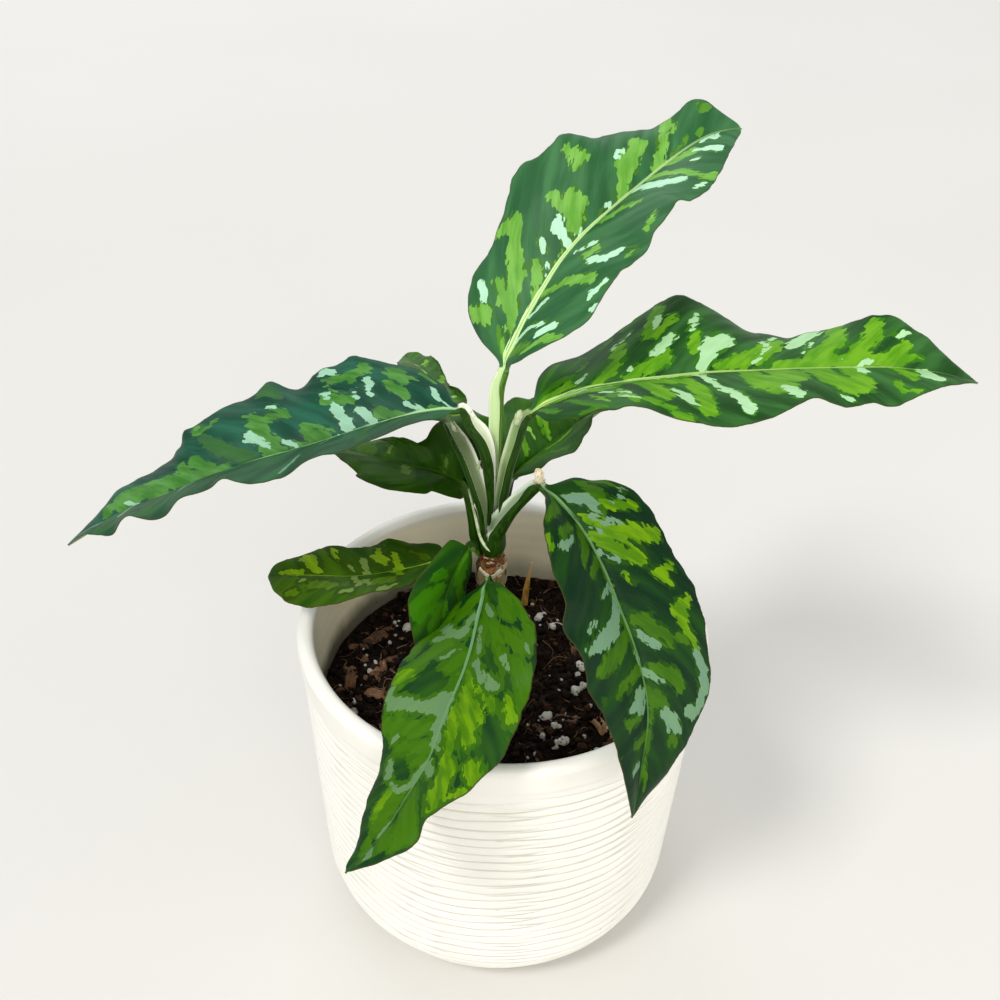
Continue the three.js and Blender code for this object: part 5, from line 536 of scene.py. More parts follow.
# ------------------------------------------------------------------ camera
def aim_camera():
    focal, pitch, roll = 1211.0286, 0.6275, 0.0316
    cp, sp, cr, sr = math.cos(pitch), math.sin(pitch), math.cos(roll), math.sin(roll)
    right = np.array([1.0, 0, 0]); up = np.array([0, sp, cp]); ahead = np.array([0, cp, -sp])
    r2 = cr * right + sr * up
    u2 = -sr * right + cr * up
    cam = bpy.data.cameras.new("camera")
    cam.sensor_width = 36.0
    cam.sensor_fit = "HORIZONTAL"
    cam.lens = focal / 1000.0 * 36.0
    cam.clip_start = 0.01
    cam.clip_end = 30.0
    ob = bpy.data.objects.new("camera", cam)
    bpy.context.scene.collection.objects.link(ob)
    from mathutils import Matrix
    m = Matrix.Identity(4)
    for i in range(3):
        m[i][0], m[i][1], m[i][2] = r2[i], u2[i], -ahead[i]
    m[0][3], m[1][3], m[2][3] = -0.0022596, -0.289536, 0.36796
    ob.matrix_world = m
    bpy.context.scene.camera = ob

aim_camera()

# ------------------------------------------------------------------ numbers
def spline(x, y):
    """Not-a-knot cubic through (x, y); y may hold several columns. Returns a callable."""
    x = np.asarray(x, float); y = np.asarray(y, float)
    n = len(x)
    h = np.diff(x)
    a = np.zeros((n, n)); b = np.zeros((n,) + y.shape[1:])
    for i in range(1, n - 1):
        a[i, i - 1], a[i, i], a[i, i + 1] = h[i - 1], 2 * (h[i - 1] + h[i]), h[i]
        b[i] = 6 * ((y[i + 1] - y[i]) / h[i] - (y[i] - y[i - 1]) / h[i - 1])
    a[0, 0], a[0, 1], a[0, 2] = h[1], -(h[0] + h[1]), h[0]
    a[-1, -1], a[-1, -2], a[-1, -3] = h[-2], -(h[-1] + h[-2]), h[-1]
    m = np.linalg.solve(a, b)

    def f(t):
        t = np.asarray(t, float)
        k = np.clip(np.searchsorted(x, t, side="right") - 1, 0, n - 2)
        hh = h[k]; d = t - x[k]; e = x[k + 1] - t
        if y.ndim > 1:
            hh, d, e = hh[..., None], d[..., None], e[..., None]
        return (m[k] * e ** 3 + m[k + 1] * d ** 3) / (6 * hh) + (y[k] / hh - m[k] * hh / 6) * e + (y[k + 1] / hh - m[k + 1] * hh / 6) * d
    return f


def smooth(a, b, x):
    t = np.clip((np.asarray(x, float) - a) / (b - a), 0, 1)
    return t * t * (3 - 2 * t)


def unit(v):
    return v / np.maximum(np.linalg.norm(v, axis=-1, keepdims=True), 1e-12)


def lattice(ix, iy, iz, seed):
    h = (ix.astype(np.int64) * 73856093) ^ (iy.astype(np.int64) * 19349663) ^ (iz.astype(np.int64) * 83492791) ^ (seed * 2654435761)
    h = (h ^ (h >> 13)) * 1274126177
    h = h ^ (h >> 16)
    return (h & 0xFFFFFF) / float(0xFFFFFF) * 2 - 1


def vnoise(p, seed=0):
    """Smooth value noise in -1..1 at points p (..., 3)."""
    p = np.asarray(p, float)
    i = np.floor(p).astype(np.int64)
    f = p - i
    f = f * f * f * (f * (f * 6 - 15) + 10)
    out = 0
    for dx in (0, 1):
        wx = f[..., 0] if dx else 1 - f[..., 0]
        for dy in (0, 1):
            wy = f[..., 1] if dy else 1 - f[..., 1]
            for dz in (0, 1):
                wz = f[..., 2] if dz else 1 - f[..., 2]
                out = out + wx * wy * wz * lattice(i[..., 0] + dx, i[..., 1] + dy, i[..., 2] + dz, seed)
    return out


def fbm(p, seed=0, octaves=4, gain=0.5):
    p = np.asarray(p, float)
    out, amp, s = 0, 1.0, 1.0
    for k in range(octaves):
        out = out + amp * vnoise(p * s + 17.3 * k, seed + k)
        amp *= gain
        s *= 2.03
    return out


def xyz(x, y, z=0.0):
    return np.stack(np.broadcast_arrays(np.asarray(x, float), np.asarray(y, float), np.asarray(z, float)), -1)

# ------------------------------------------------------------------ meshes
def build(name, verts, quads=None, tris=None, attrs=None, mats=(), index=None, smooth_shade=True):
    """A mesh object from millimetre vertices, index arrays and point attributes."""
    verts = np.asarray(verts, float) * MM
    me = bpy.data.meshes.new(name)
    loops, starts, totals = [], [], []
    at = 0
    for arr in (quads, tris):
        if arr is None or len(arr) == 0:
            continue
        arr = np.asarray(arr, np.int32)
        k = arr.shape[1]
        loops.append(arr.ravel())
        starts.append(at + np.arange(len(arr), dtype=np.int32) * k)
        totals.append(np.full(len(arr), k, np.int32))
        at += arr.size
    loops = np.concatenate(loops); starts = np.concatenate(starts); totals = np.concatenate(totals)
    me.vertices.add(len(verts)); me.loops.add(len(loops)); me.polygons.add(len(starts))
    me.vertices.foreach_set("co", verts.astype(np.float32).ravel())
    me.loops.foreach_set("vertex_index", loops)
    me.polygons.foreach_set("loop_start", starts)
    me.polygons.foreach_set("loop_total", totals)
    me.polygons.foreach_set("use_smooth", np.full(len(starts), smooth_shade))
    if index is not None:
        me.polygons.foreach_set("material_index", np.asarray(index, np.int32))
    me.update(calc_edges=True)
    for key, val in (attrs or {}).items():
        val = np.asarray(val, np.float32)
        if val.ndim == 1:
            a = me.attributes.new(key, "FLOAT", "POINT"); a.data.foreach_set("value", val)
        else:
            a = me.attributes.new(key, "FLOAT_VECTOR", "POINT"); a.data.foreach_set("vector", val.ravel())
    me.validate(clean_customdata=False)
    ob = bpy.data.objects.new(name, me)
    for m in mats:
        me.materials.append(m)
    bpy.context.scene.collection.objects.link(ob)
    return ob


def grid_quads(rows, cols, wrap=True, base=0, flip=False):
    r = np.arange(rows - 1)[:, None]
    c = np.arange(cols if wrap else cols - 1)[None, :]
    c2 = (c + 1) % cols
    q = np.stack([r * cols + c + 0 * c2, r * cols + c2, (r + 1) * cols + c2, (r + 1) * cols + c + 0 * c2], -1).reshape(-1, 4) + base
    return q[:, ::-1] if flip else q


def fans(rows, cols, v0, v1, base=0, flip=False):
    """Triangles closing the first and last ring of a wrapped grid onto vertices v0 and v1."""
    c = np.arange(cols); c2 = (c + 1) % cols
    a = np.stack([np.full(cols, v0), c2 + base, c + base], -1)
    k = (rows - 1) * cols + base
    b = np.stack([np.full(cols, v1), k + c, k + c2], -1)
    t = np.concatenate([a, b])
    return t[:, ::-1] if flip else t


def outward(verts, quads, tris):
    """True if the closed mesh has positive volume."""
    v = np.asarray(verts)
    vol = 0.0
    for f in (quads, tris):
        if f is None or not len(f):
            continue
        a = v[f[:, 0]]
        for k in range(1, f.shape[1] - 1):
            vol += np.einsum("ij,ij->i", a, np.cross(v[f[:, k]], v[f[:, k + 1]])).sum()
    return vol > 0


def tube(path, radius, sides=10, squash=1.0, roll=0.0, cap=True):
    """Vertices and faces of a closed tube along a path; radius may vary."""
    path = np.asarray(path, float)
    n = len(path)
    radius = np.broadcast_to(np.asarray(radius, float), (n,))
    t = unit(np.gradient(path, axis=0))
    ref = np.array([0.0, 0, 1]) if abs(t[0][2]) < 0.9 else np.array([1.0, 0, 0])
    s = unit(np.cross(t[0], ref))
    side = []
    for i in range(n):
        s = unit(s - t[i] * np.dot(s, t[i]))
        side.append(s)
    side = np.array(side)
    nor = np.cross(t, side)
    a = np.linspace(0, 2 * math.pi, sides, endpoint=False) + roll
    ring = side[:, None] * np.cos(a)[None, :, None] + squash * nor[:, None] * np.sin(a)[None, :, None]
    v = (path[:, None] + ring * radius[:, None, None]).reshape(-1, 3)
    q = grid_quads(n, sides)
    v = np.concatenate([v, path[:1], path[-1:]])
    tr = fans(n, sides, len(v) - 2, len(v) - 1)
    if not outward(v, q, tr):
        q, tr = q[:, ::-1], tr[:, ::-1]
    return v, q, tr


class Heap:
    """Collects many small closed shells into one mesh."""
    def __init__(self):
        self.v, self.q, self.t, self.a, self.n = [], [], [], {}, 0

    def add(self, v, q=None, t=None, **attrs):
        v = np.asarray(v, float)
        if q is not None and len(q):
            self.q.append(np.asarray(q) + self.n)
        if t is not None and len(t):
            self.t.append(np.asarray(t) + self.n)
        for k, val in attrs.items():
            val = np.asarray(val, float)
            if val.ndim == 0:
                val = np.full(len(v), float(val))
            self.a.setdefault(k, []).append(val)
        self.v.append(v)
        self.n += len(v)

    def build(self, name, mats, smooth_shade=True):
        return build(name, np.concatenate(self.v), np.concatenate(self.q) if self.q else None,
                     np.concatenate(self.t) if self.t else None, {k: np.concatenate(v) for k, v in self.a.items()}, mats, smooth_shade=smooth_shade)


def ico(level):
    import bmesh
    bm = bmesh.new()
    bmesh.ops.create_icosphere(bm, subdivisions=level, radius=1.0)
    v = np.array([x.co[:] for x in bm.verts])
    f = np.array([[x.index for x in p.verts] for p in bm.faces])
    bm.free()
    return v, f


ICO = {k: ico(k) for k in (1, 2, 3, 4)}

# ------------------------------------------------------------------ shader building
class Nodes:
    def __init__(self, name):
        self.mat = bpy.data.materials.new(name)
        self.mat.use_nodes = True
        self.nt = self.mat.node_tree
        self.nt.nodes.clear()
        self.out = self.nt.nodes.new("ShaderNodeOutputMaterial")
        self.bsdf = self.nt.nodes.new("ShaderNodeBsdfPrincipled")
        self.link(self.bsdf.outputs[0], self.out.inputs[0])

    def link(self, a, b):
        self.nt.links.new(a, b)

    def put(self, node, key, val):
        sock = node.inputs[key]
        if hasattr(val, "is_output") or isinstance(val, bpy.types.NodeSocket):
            self.link(val, sock)
        elif isinstance(val, (tuple, list)) and len(val) == 3 and sock.type == "RGBA":
            sock.default_value = (*val, 1.0)
        else:
            sock.default_value = val

    def attr(self, name, out="Vector"):
        n = self.nt.nodes.new("ShaderNodeAttribute")
        n.attribute_type = "GEOMETRY"
        n.attribute_name = name
        return n.outputs[out]

    def coord(self, out="Object"):
        return self.nt.nodes.new("ShaderNodeTexCoord").outputs[out]

    def math(self, op, a, b=0.0, c=None, clamp=False):
        n = self.nt.nodes.new("ShaderNodeMath")
        n.operation = op
        n.use_clamp = clamp
        self.put(n, 0, a)
        self.put(n, 1, b)
        if c is not None:
            self.put(n, 2, c)
        return n.outputs[0]

    def vmath(self, op, a, b=(0, 0, 0)):
        n = self.nt.nodes.new("ShaderNodeVectorMath")
        n.operation = op
        self.put(n, 0, a)
        if op == "SCALE":
            self.put(n, "Scale", b)
        else:
            self.put(n, 1, b)
        return n.outputs[0]

    def sep(self, v):
        n = self.nt.nodes.new("ShaderNodeSeparateXYZ")
        self.put(n, 0, v)
        return n.outputs

    def comb(self, x, y, z=0.0):
        n = self.nt.nodes.new("ShaderNodeCombineXYZ")
        for i, v in enumerate((x, y, z)):
            self.put(n, i, v)
        return n.outputs[0]

    def noise(self, vec, scale=1.0, detail=3.0, rough=0.5, lac=2.0, dist=0.0, color=False):
        n = self.nt.nodes.new("ShaderNodeTexNoise")
        self.put(n, "Vector", vec)
        n.inputs["Scale"].default_value = scale
        n.inputs["Detail"].default_value = detail
        n.inputs["Roughness"].default_value = rough
        n.inputs["Lacunarity"].default_value = lac
        n.inputs["Distortion"].default_value = dist
        return n.outputs["Color" if color else 0]

    def white(self, vec):
        n = self.nt.nodes.new("ShaderNodeTexWhiteNoise")
        n.noise_dimensions = "3D"
        self.put(n, "Vector", vec)
        return n.outputs["Value"]

    def voronoi(self, vec, scale=1.0, feature="F1", out="Distance", rnd=1.0):
        n = self.nt.nodes.new("ShaderNodeTexVoronoi")
        n.feature = feature
        self.put(n, "Vector", vec)
        n.inputs["Scale"].default_value = scale
        n.inputs["Randomness"].default_value = rnd
        return n.outputs[out]

    def step(self, x, lo, hi, a=0.0, b=1.0, kind="SMOOTHSTEP"):
        """Maps x from lo..hi onto a..b, clamped."""
        n = self.nt.nodes.new("ShaderNodeMapRange")
        n.interpolation_type = kind
        n.clamp = True
        self.put(n, "Value", x)
        self.put(n, "From Min", lo)
        self.put(n, "From Max", hi)
        self.put(n, "To Min", a)
        self.put(n, "To Max", b)
        return n.outputs[0]

    def mix(self, f, a, b, mode="MIX"):
        n = self.nt.nodes.new("ShaderNodeMix")
        n.data_type = "RGBA"
        n.blend_type = mode
        n.clamp_factor = True
        self.put(n, 0, f)
        self.put(n, 6, a)
        self.put(n, 7, b)
        return n.outputs[2]

    def bump(self, height, strength=0.3, distance=0.001, normal=None):
        n = self.nt.nodes.new("ShaderNodeBump")
        n.inputs["Strength"].default_value = strength
        n.inputs["Distance"].default_value = distance
        self.put(n, "Height", height)
        if normal is not None:
            self.link(normal, n.inputs["Normal"])
        return n.outputs[0]

    def set(self, **kw):
        for k, v in kw.items():
            self.put(self.bsdf, k.replace("_", " "), v)
        return self.mat


def rgb(r, g, b):
    """sRGB bytes to a linear colour."""
    out = []
    for c in (r, g, b):
        c /= 255.0
        out.append(c / 12.92 if c <= 0.04045 else ((c + 0.055) / 1.055) ** 2.4)
    return tuple(out)

# ------------------------------------------------------------------ leaf finish
def leaf_material(name, dark, dark2, mid, bright, bright2, silver, rib, seed, spread=0.5, edge=1.0, rough=0.44, spec=0.3,
                  ribw=1.0, under=(58, 92, 34), inner=(226, 238, 204), floor=(176, 200, 140), flecks=0.5, back=(20, 48, 2), back2=(40, 76, 6), lee_shade=0.0):
    g = Nodes(name)
    co = g.attr("leafco")            # x along the midrib mm, y across mm, share of half width
    pt = g.attr("leafpt")            # distance to patches, distance to silver, upper side 1 / lower side 0
    st = g.attr("leafst")            # stalk 1 / blade 0, distance from margin mm, share of length
    x, y, v = g.sep(co)
    fb, fs, side = g.sep(pt)
    fm = g.attr("leafmd", "Fac")     # distance to the duller patches
    stalk, rim, u = g.sep(st)
    ay = g.math("ABSOLUTE", y)
    # coordinate across and along the side veins, which leave the midrib and sweep towards the tip
    q = g.math("SUBTRACT", x, g.math("ADD", g.math("MULTIPLY", ay, 0.95), g.math("MULTIPLY", g.math("MULTIPLY", ay, ay), 0.012)))
    p = g.math("ADD", g.math("MULTIPLY", ay, 1.25), g.math("MULTIPLY", x, 0.35))
    half = g.math("MULTIPLY", g.math("SIGN", y), 9.0)
    vein = g.comb(q, p, g.math("ADD", half, float(seed)))
    stretch = g.vmath("MULTIPLY", vein, (1.0, 0.30, 1.0))
    fine = g.vmath("MULTIPLY", vein, (1.0, 0.16, 1.0))

    def ragged(shift, big, comb, small, lobe):
        """Offsets that cut a patch along the fine veins: broad wander, round lobes, stepped fingers, small nicks."""
        n = g.noise(g.vmath("ADD", stretch, shift), 0.40, 2.0, 0.5)
        row = g.math("FLOOR", g.math("ADD", g.math("MULTIPLY", q, 0.95), g.math("MULTIPLY", n, 3.2)))
        col_ = g.math("FLOOR", g.math("ADD", g.math("MULTIPLY", p, 0.21), g.math("MULTIPLY", row, 0.37)))
        w = g.white(g.comb(row, col_, g.math("ADD", half, float(seed) + shift[0])))
        m = g.noise(g.vmath("ADD", fine, shift), 2.1, 1.0, 0.5)
        out = g.math("MULTIPLY", g.math("SUBTRACT", n, 0.5), big * edge)
        b = g.noise(g.vmath("ADD", g.vmath("MULTIPLY", vein, (1.0, 0.75, 1.0)), shift), 0.46, 1.0, 0.5)
        out = g.math("ADD", out, g.math("MULTIPLY", g.math("SUBTRACT", b, 0.5), lobe * edge))
        out = g.math("ADD", out, g.math("MULTIPLY", g.math("SUBTRACT", w, 0.5), comb * edge))
        return g.math("ADD", out, g.math("MULTIPLY", g.math("SUBTRACT", m, 0.5), small * edge))

    jag = ragged((0.0, 0.0, 0.0), 2.3, 0.62, 0.6, 3.6)
    jag2 = ragged((31.0, 7.0, 3.0), 1.8, 0.55, 0.6, 2.8)
    jag3 = ragged((57.0, 23.0, 5.0), 4.2, 0.8, 0.7, 3.0)
    mb = g.step(g.math("ADD", fb, jag), 0.07, -0.08)
    ms = g.step(g.math("ADD", fs, jag2), 0.06, -0.07)
    md = g.step(g.math("ADD", fm, jag), 0.10, -0.10)
    mm = g.step(g.math("SUBTRACT", g.math("ADD", g.math("MINIMUM", g.math("MINIMUM", fb, fs), fm), jag3), spread), 0.12, -0.14)
    # dark ground, clouded, a little paler along the side veins
    cloud = g.noise(stretch, 0.13, 3.0, 0.5)
    ground = g.mix(g.step(cloud, 0.35, 0.68), dark, dark2)
    wave = g.math("ABSOLUTE", g.math("SUBTRACT", g.math("FRACT", g.math("DIVIDE", g.math("ADD", q, g.math("MULTIPLY", g.math("SUBTRACT", cloud, 0.5), 5.0)), 6.4)), 0.5))
    veinline = g.math("MULTIPLY", g.step(wave, 0.05, 0.0), g.step(ay, 1.0, 4.0))
    ground = g.mix(g.math("MULTIPLY", veinline, 0.25), ground, dark2)
    broad = g.step(wave, 0.10, 0.48)
    ground = g.mix(g.math("MULTIPLY", broad, 0.22), ground, tuple(0.62 * c for c in dark))
    # patches
    tone = g.noise(stretch, 0.30, 3.0, 0.55)
    patch = g.mix(g.step(tone, 0.34, 0.66), bright, bright2)
    hole = g.noise(g.vmath("ADD", fine, (91.0, 17.0, 2.0)), 1.1, 1.0, 0.5)
    patch = g.mix(g.math("MULTIPLY", g.step(hole, 0.76, 0.79), 0.8), patch, mid)
    pale = g.mix(g.step(tone, 0.30, 0.70), silver, tuple(0.80 * a + 0.20 * b for a, b in zip(silver, bright2)))
    col = g.mix(mm, ground, g.mix(g.step(tone, 0.35, 0.65), mid, tuple(0.8 * a + 0.2 * b for a, b in zip(mid, dark2))))
    fl = g.noise(g.vmath("ADD", fine, (3.0, 71.0, 5.0)), 0.75, 2.0, 0.6)
    col = g.mix(g.math("MULTIPLY", g.step(fl, 0.735, 0.76), flecks), col, bright)
    dull = g.mix(g.step(tone, 0.30, 0.70), tuple(0.72 * a + 0.28 * b for a, b in zip(mid, bright)), tuple(0.40 * a + 0.60 * b for a, b in zip(mid, bright)))
    col = g.mix(md, col, dull)
    col = g.mix(mb, col, patch)
    col = g.mix(ms, col, pale)
    # the finest veins only just show in the colour
    hair = g.noise(g.vmath("MULTIPLY", vein, (3.4, 0.12, 1.0)), 1.0, 2.0, 0.55)
    col = g.mix(g.math("MULTIPLY", g.step(hair, 0.52, 0.72), 0.16), col, tuple(0.6 * c for c in mid))
    # midrib: pale band that thins towards the tip, fine dark lines in it, feathering into the blade at its base
    wide = g.math("MULTIPLY", ribw, g.math("ADD", 0.24, g.math("MULTIPLY", 1.02, g.math("POWER", 2.718, g.math("MULTIPLY", u, -3.6)))))
    feather = g.math("MULTIPLY", g.math("SUBTRACT", g.noise(g.vmath("MULTIPLY", co, (0.10, 1.9, 0.0)), 1.0, 2.0, 0.6), 0.5), g.step(u, 0.0, 0.30, 3.6 * ribw, 0.35, "LINEAR"))
    band = g.step(g.math("ADD", g.math("SUBTRACT", ay, wide), feather), 0.14, -0.14)
    ribcol = g.mix(g.step(u, 0.1, 0.9), rib, tuple(0.6 * a + 0.4 * b for a, b in zip(rib, mid)))
    lines = g.math("ABSOLUTE", g.math("SUBTRACT", g.math("DIVIDE", ay, g.math("ADD", wide, 0.05)), 0.45))
    ribcol = g.mix(g.math("MULTIPLY", g.step(lines, 0.16, 0.04), 0.55), ribcol, mid)
    ribcol = g.mix(g.math("MULTIPLY", g.step(ay, 0.13, 0.03), 0.40), ribcol, mid)
    col = g.mix(g.math("MULTIPLY", band, g.step(u, 0.985, 0.70, 0.3, 0.95)), col, ribcol)
    # painted shade: the half of the leaf on one side of the midrib is painted deeper green, standing in for the shadow
    # on the side turned from the window
    if lee_shade:
        lee_shade_mask = g.math("MULTIPLY", g.step(y, -0.45, -1.1), lee_shade)
        col = g.mix(lee_shade_mask, col, g.mix(g.step(cloud, 0.3, 0.7), rgb(14, 62, 26), rgb(40, 92, 34)))
    # margin: thin, darker, faintly brown
    col = g.mix(g.step(rim, 0.42, 0.10, 0.0, 0.8), col, tuple(0.6 * a + 0.4 * b for a, b in zip(dark, rgb(92, 60, 24))))
    # lower side: duller and lighter, the pattern only just showing
    low = g.mix(0.20, rgb(*under), col)
    low = g.mix(g.math("MULTIPLY", g.step(ay, 1.5, 0.5), 0.55), low, rgb(118, 150, 70))
    low = g.mix(g.math("MULTIPLY", veinline, 0.3), low, rgb(118, 150, 70))
    col = g.mix(g.step(side, 0.35, 0.65), low, col)
    # stalk: pale channel with brighter thin wings, dark green back
    streak = g.noise(g.vmath("MULTIPLY", co, (0.05, 2.2, 2.2)), 1.0, 2.0, 0.5)
    skinback = g.mix(g.step(streak, 0.35, 0.7), rgb(*back), rgb(*back2))
    pale_in = g.mix(g.step(g.math("ADD", v, g.math("MULTIPLY", g.math("SUBTRACT", streak, 0.5), 1.4)), 0.25, 1.15), rgb(*floor), rgb(*inner))
    pale_in = g.mix(g.math("MULTIPLY", g.step(streak, 0.56, 0.66), 0.35), pale_in, rgb(*floor))
    stalkcol = g.mix(g.step(g.math("ADD", side, g.math("MULTIPLY", g.math("SUBTRACT", streak, 0.5), 0.35)), 0.40, 0.62), skinback, pale_in)
    col = g.mix(stalk, col, stalkcol)
    rg = g.math("ADD", rough, g.math("MULTIPLY", g.math("SUBTRACT", cloud, 0.5), 0.22))
    rg = g.math("ADD", rg, g.math("MULTIPLY", ms, 0.07))
    # fine parallel veins and pebbled skin
    skin = g.noise(co, 3.2, 2.0, 0.6)
    h = g.math("ADD", g.math("MULTIPLY", hair, 0.6), g.math("MULTIPLY", skin, 0.35))
    h = g.math("SUBTRACT", h, g.math("MULTIPLY", veinline, 0.5))
    return g.set(Base_Color=col, Roughness=rg, Normal=g.bump(h, 0.26, 0.00025), Specular_IOR_Level=spec)


# ------------------------------------------------------------------ leaves
ACROSS = 47                      # points from margin to margin on each side
SV = np.sin(np.linspace(-1, 1, ACROSS) * math.pi / 2) * 0.55 + np.linspace(-1, 1, ACROSS) * 0.45
DEEPER = {
    # how each stalk goes on inside the bundle of sheaths
    "leaf_top": [(-4.2, 0.9, 150.0, 1.0, 1.0), (-4.1, 1.0, 158.0, 1.3, 1.3)],
    "leaf_right": [(-3.6, -1.0, 144.0, 1.4, 1.2), (-3.3, -1.2, 149.5, 1.8, 1.5)],
    "leaf_left": [(-4.6, -0.4, 144.5, 1.4, 1.2), (-4.9, -0.8, 150.5, 1.7, 1.5)],
    "leaf_front_right": [(-4.8, 0.8, 143.4, 2.8, 2.2), (-4.8, -1.4, 144.4, 3.6, 2.8)],
    "leaf_front": [(-4.3, -1.2, 104.0, 1.6, 1.2), (-4.4, -3.6, 108.5, 1.7, 1.4)],
    "leaf_low_left": [(-6.2, 1.5, 91.0, 1.6, 1.2), (-8.6, 1.9, 96.5, 1.6, 1.3)],
    "leaf_low_front": [(-5.0, 0.2, 132.0, 1.4, 1.2), (-6.8, -0.2, 136.6, 1.4, 1.2)],
    "leaf_back_left": [(-5.2, 0.8, 134.0, 2.2, 2.0), (-6.6, 1.1, 139.0, 1.8, 1.6)],
    "leaf_back_upper": [(-5.0, -2.0, 139.5, 1.8, 1.4), (-5.6, -2.4, 146.0, 2.0, 1.6)],
    "leaf_back_right": [(-3.8, 1.6, 137.0, 1.9, 1.6), (-2.9, 3.3, 142.0, 1.7, 1.4)],
}
# which way the open side of each stalk faces below its blade
FACE = {
    "leaf_top": (-0.42, -0.88, 0.20),
    "leaf_right": (-0.86, -0.34, 0.42),
    "leaf_left": (0.78, -0.10, 0.61),
    "leaf_front_right": (-0.86, -0.14, 0.50),
    "leaf_front": None,
    "leaf_low_left": None,
    "leaf_low_front": None,
    "leaf_back_left": (0.70, 0.65, 0.30),
    "leaf_back_upper": (0.78, -0.60, 0.20),
    "leaf_back_right": (-0.2, -0.5, 0.8),
}


# half width and half thickness of the stalk where it runs into the blade
CLOSES = {"leaf_front_right": 147.4}
JOIN = {"leaf_front": (1.0, 0.55)}


def blade_frame(table):
    t = np.array(table, float)
    mid, left, right = t[:, 0:3], t[:, 3:6], t[:, 6:9]
    s = np.r_[0, np.cumsum(np.linalg.norm(np.diff(mid, axis=0), axis=1))]
    u = s / s[-1]
    return spline(u, mid), spline(u, left), spline(u, right), s[-1], max(np.linalg.norm(left - mid, axis=1).max(), np.linalg.norm(right - mid, axis=1).max())


def mark_field(name, kind, U, V, length, half):
    f = np.full(U.shape, 30.0)
    X, Y = U * length, V * half
    for k, pts in MARKS[name]:
        if k != kind:
            continue
        for (u0, v0, w0), (u1, v1, w1) in zip(pts[:-1], pts[1:]):
            ax, ay = u0 * length, v0 * half
            dx, dy = u1 * length - ax, v1 * half - ay
            t = np.clip(((X - ax) * dx + (Y - ay) * dy) / (dx * dx + dy * dy + 1e-9), 0, 1)
            f = np.minimum(f, np.hypot(X - ax - t * dx, Y - ay - t * dy) - (w0 + (w1 - w0) * t))
    return f


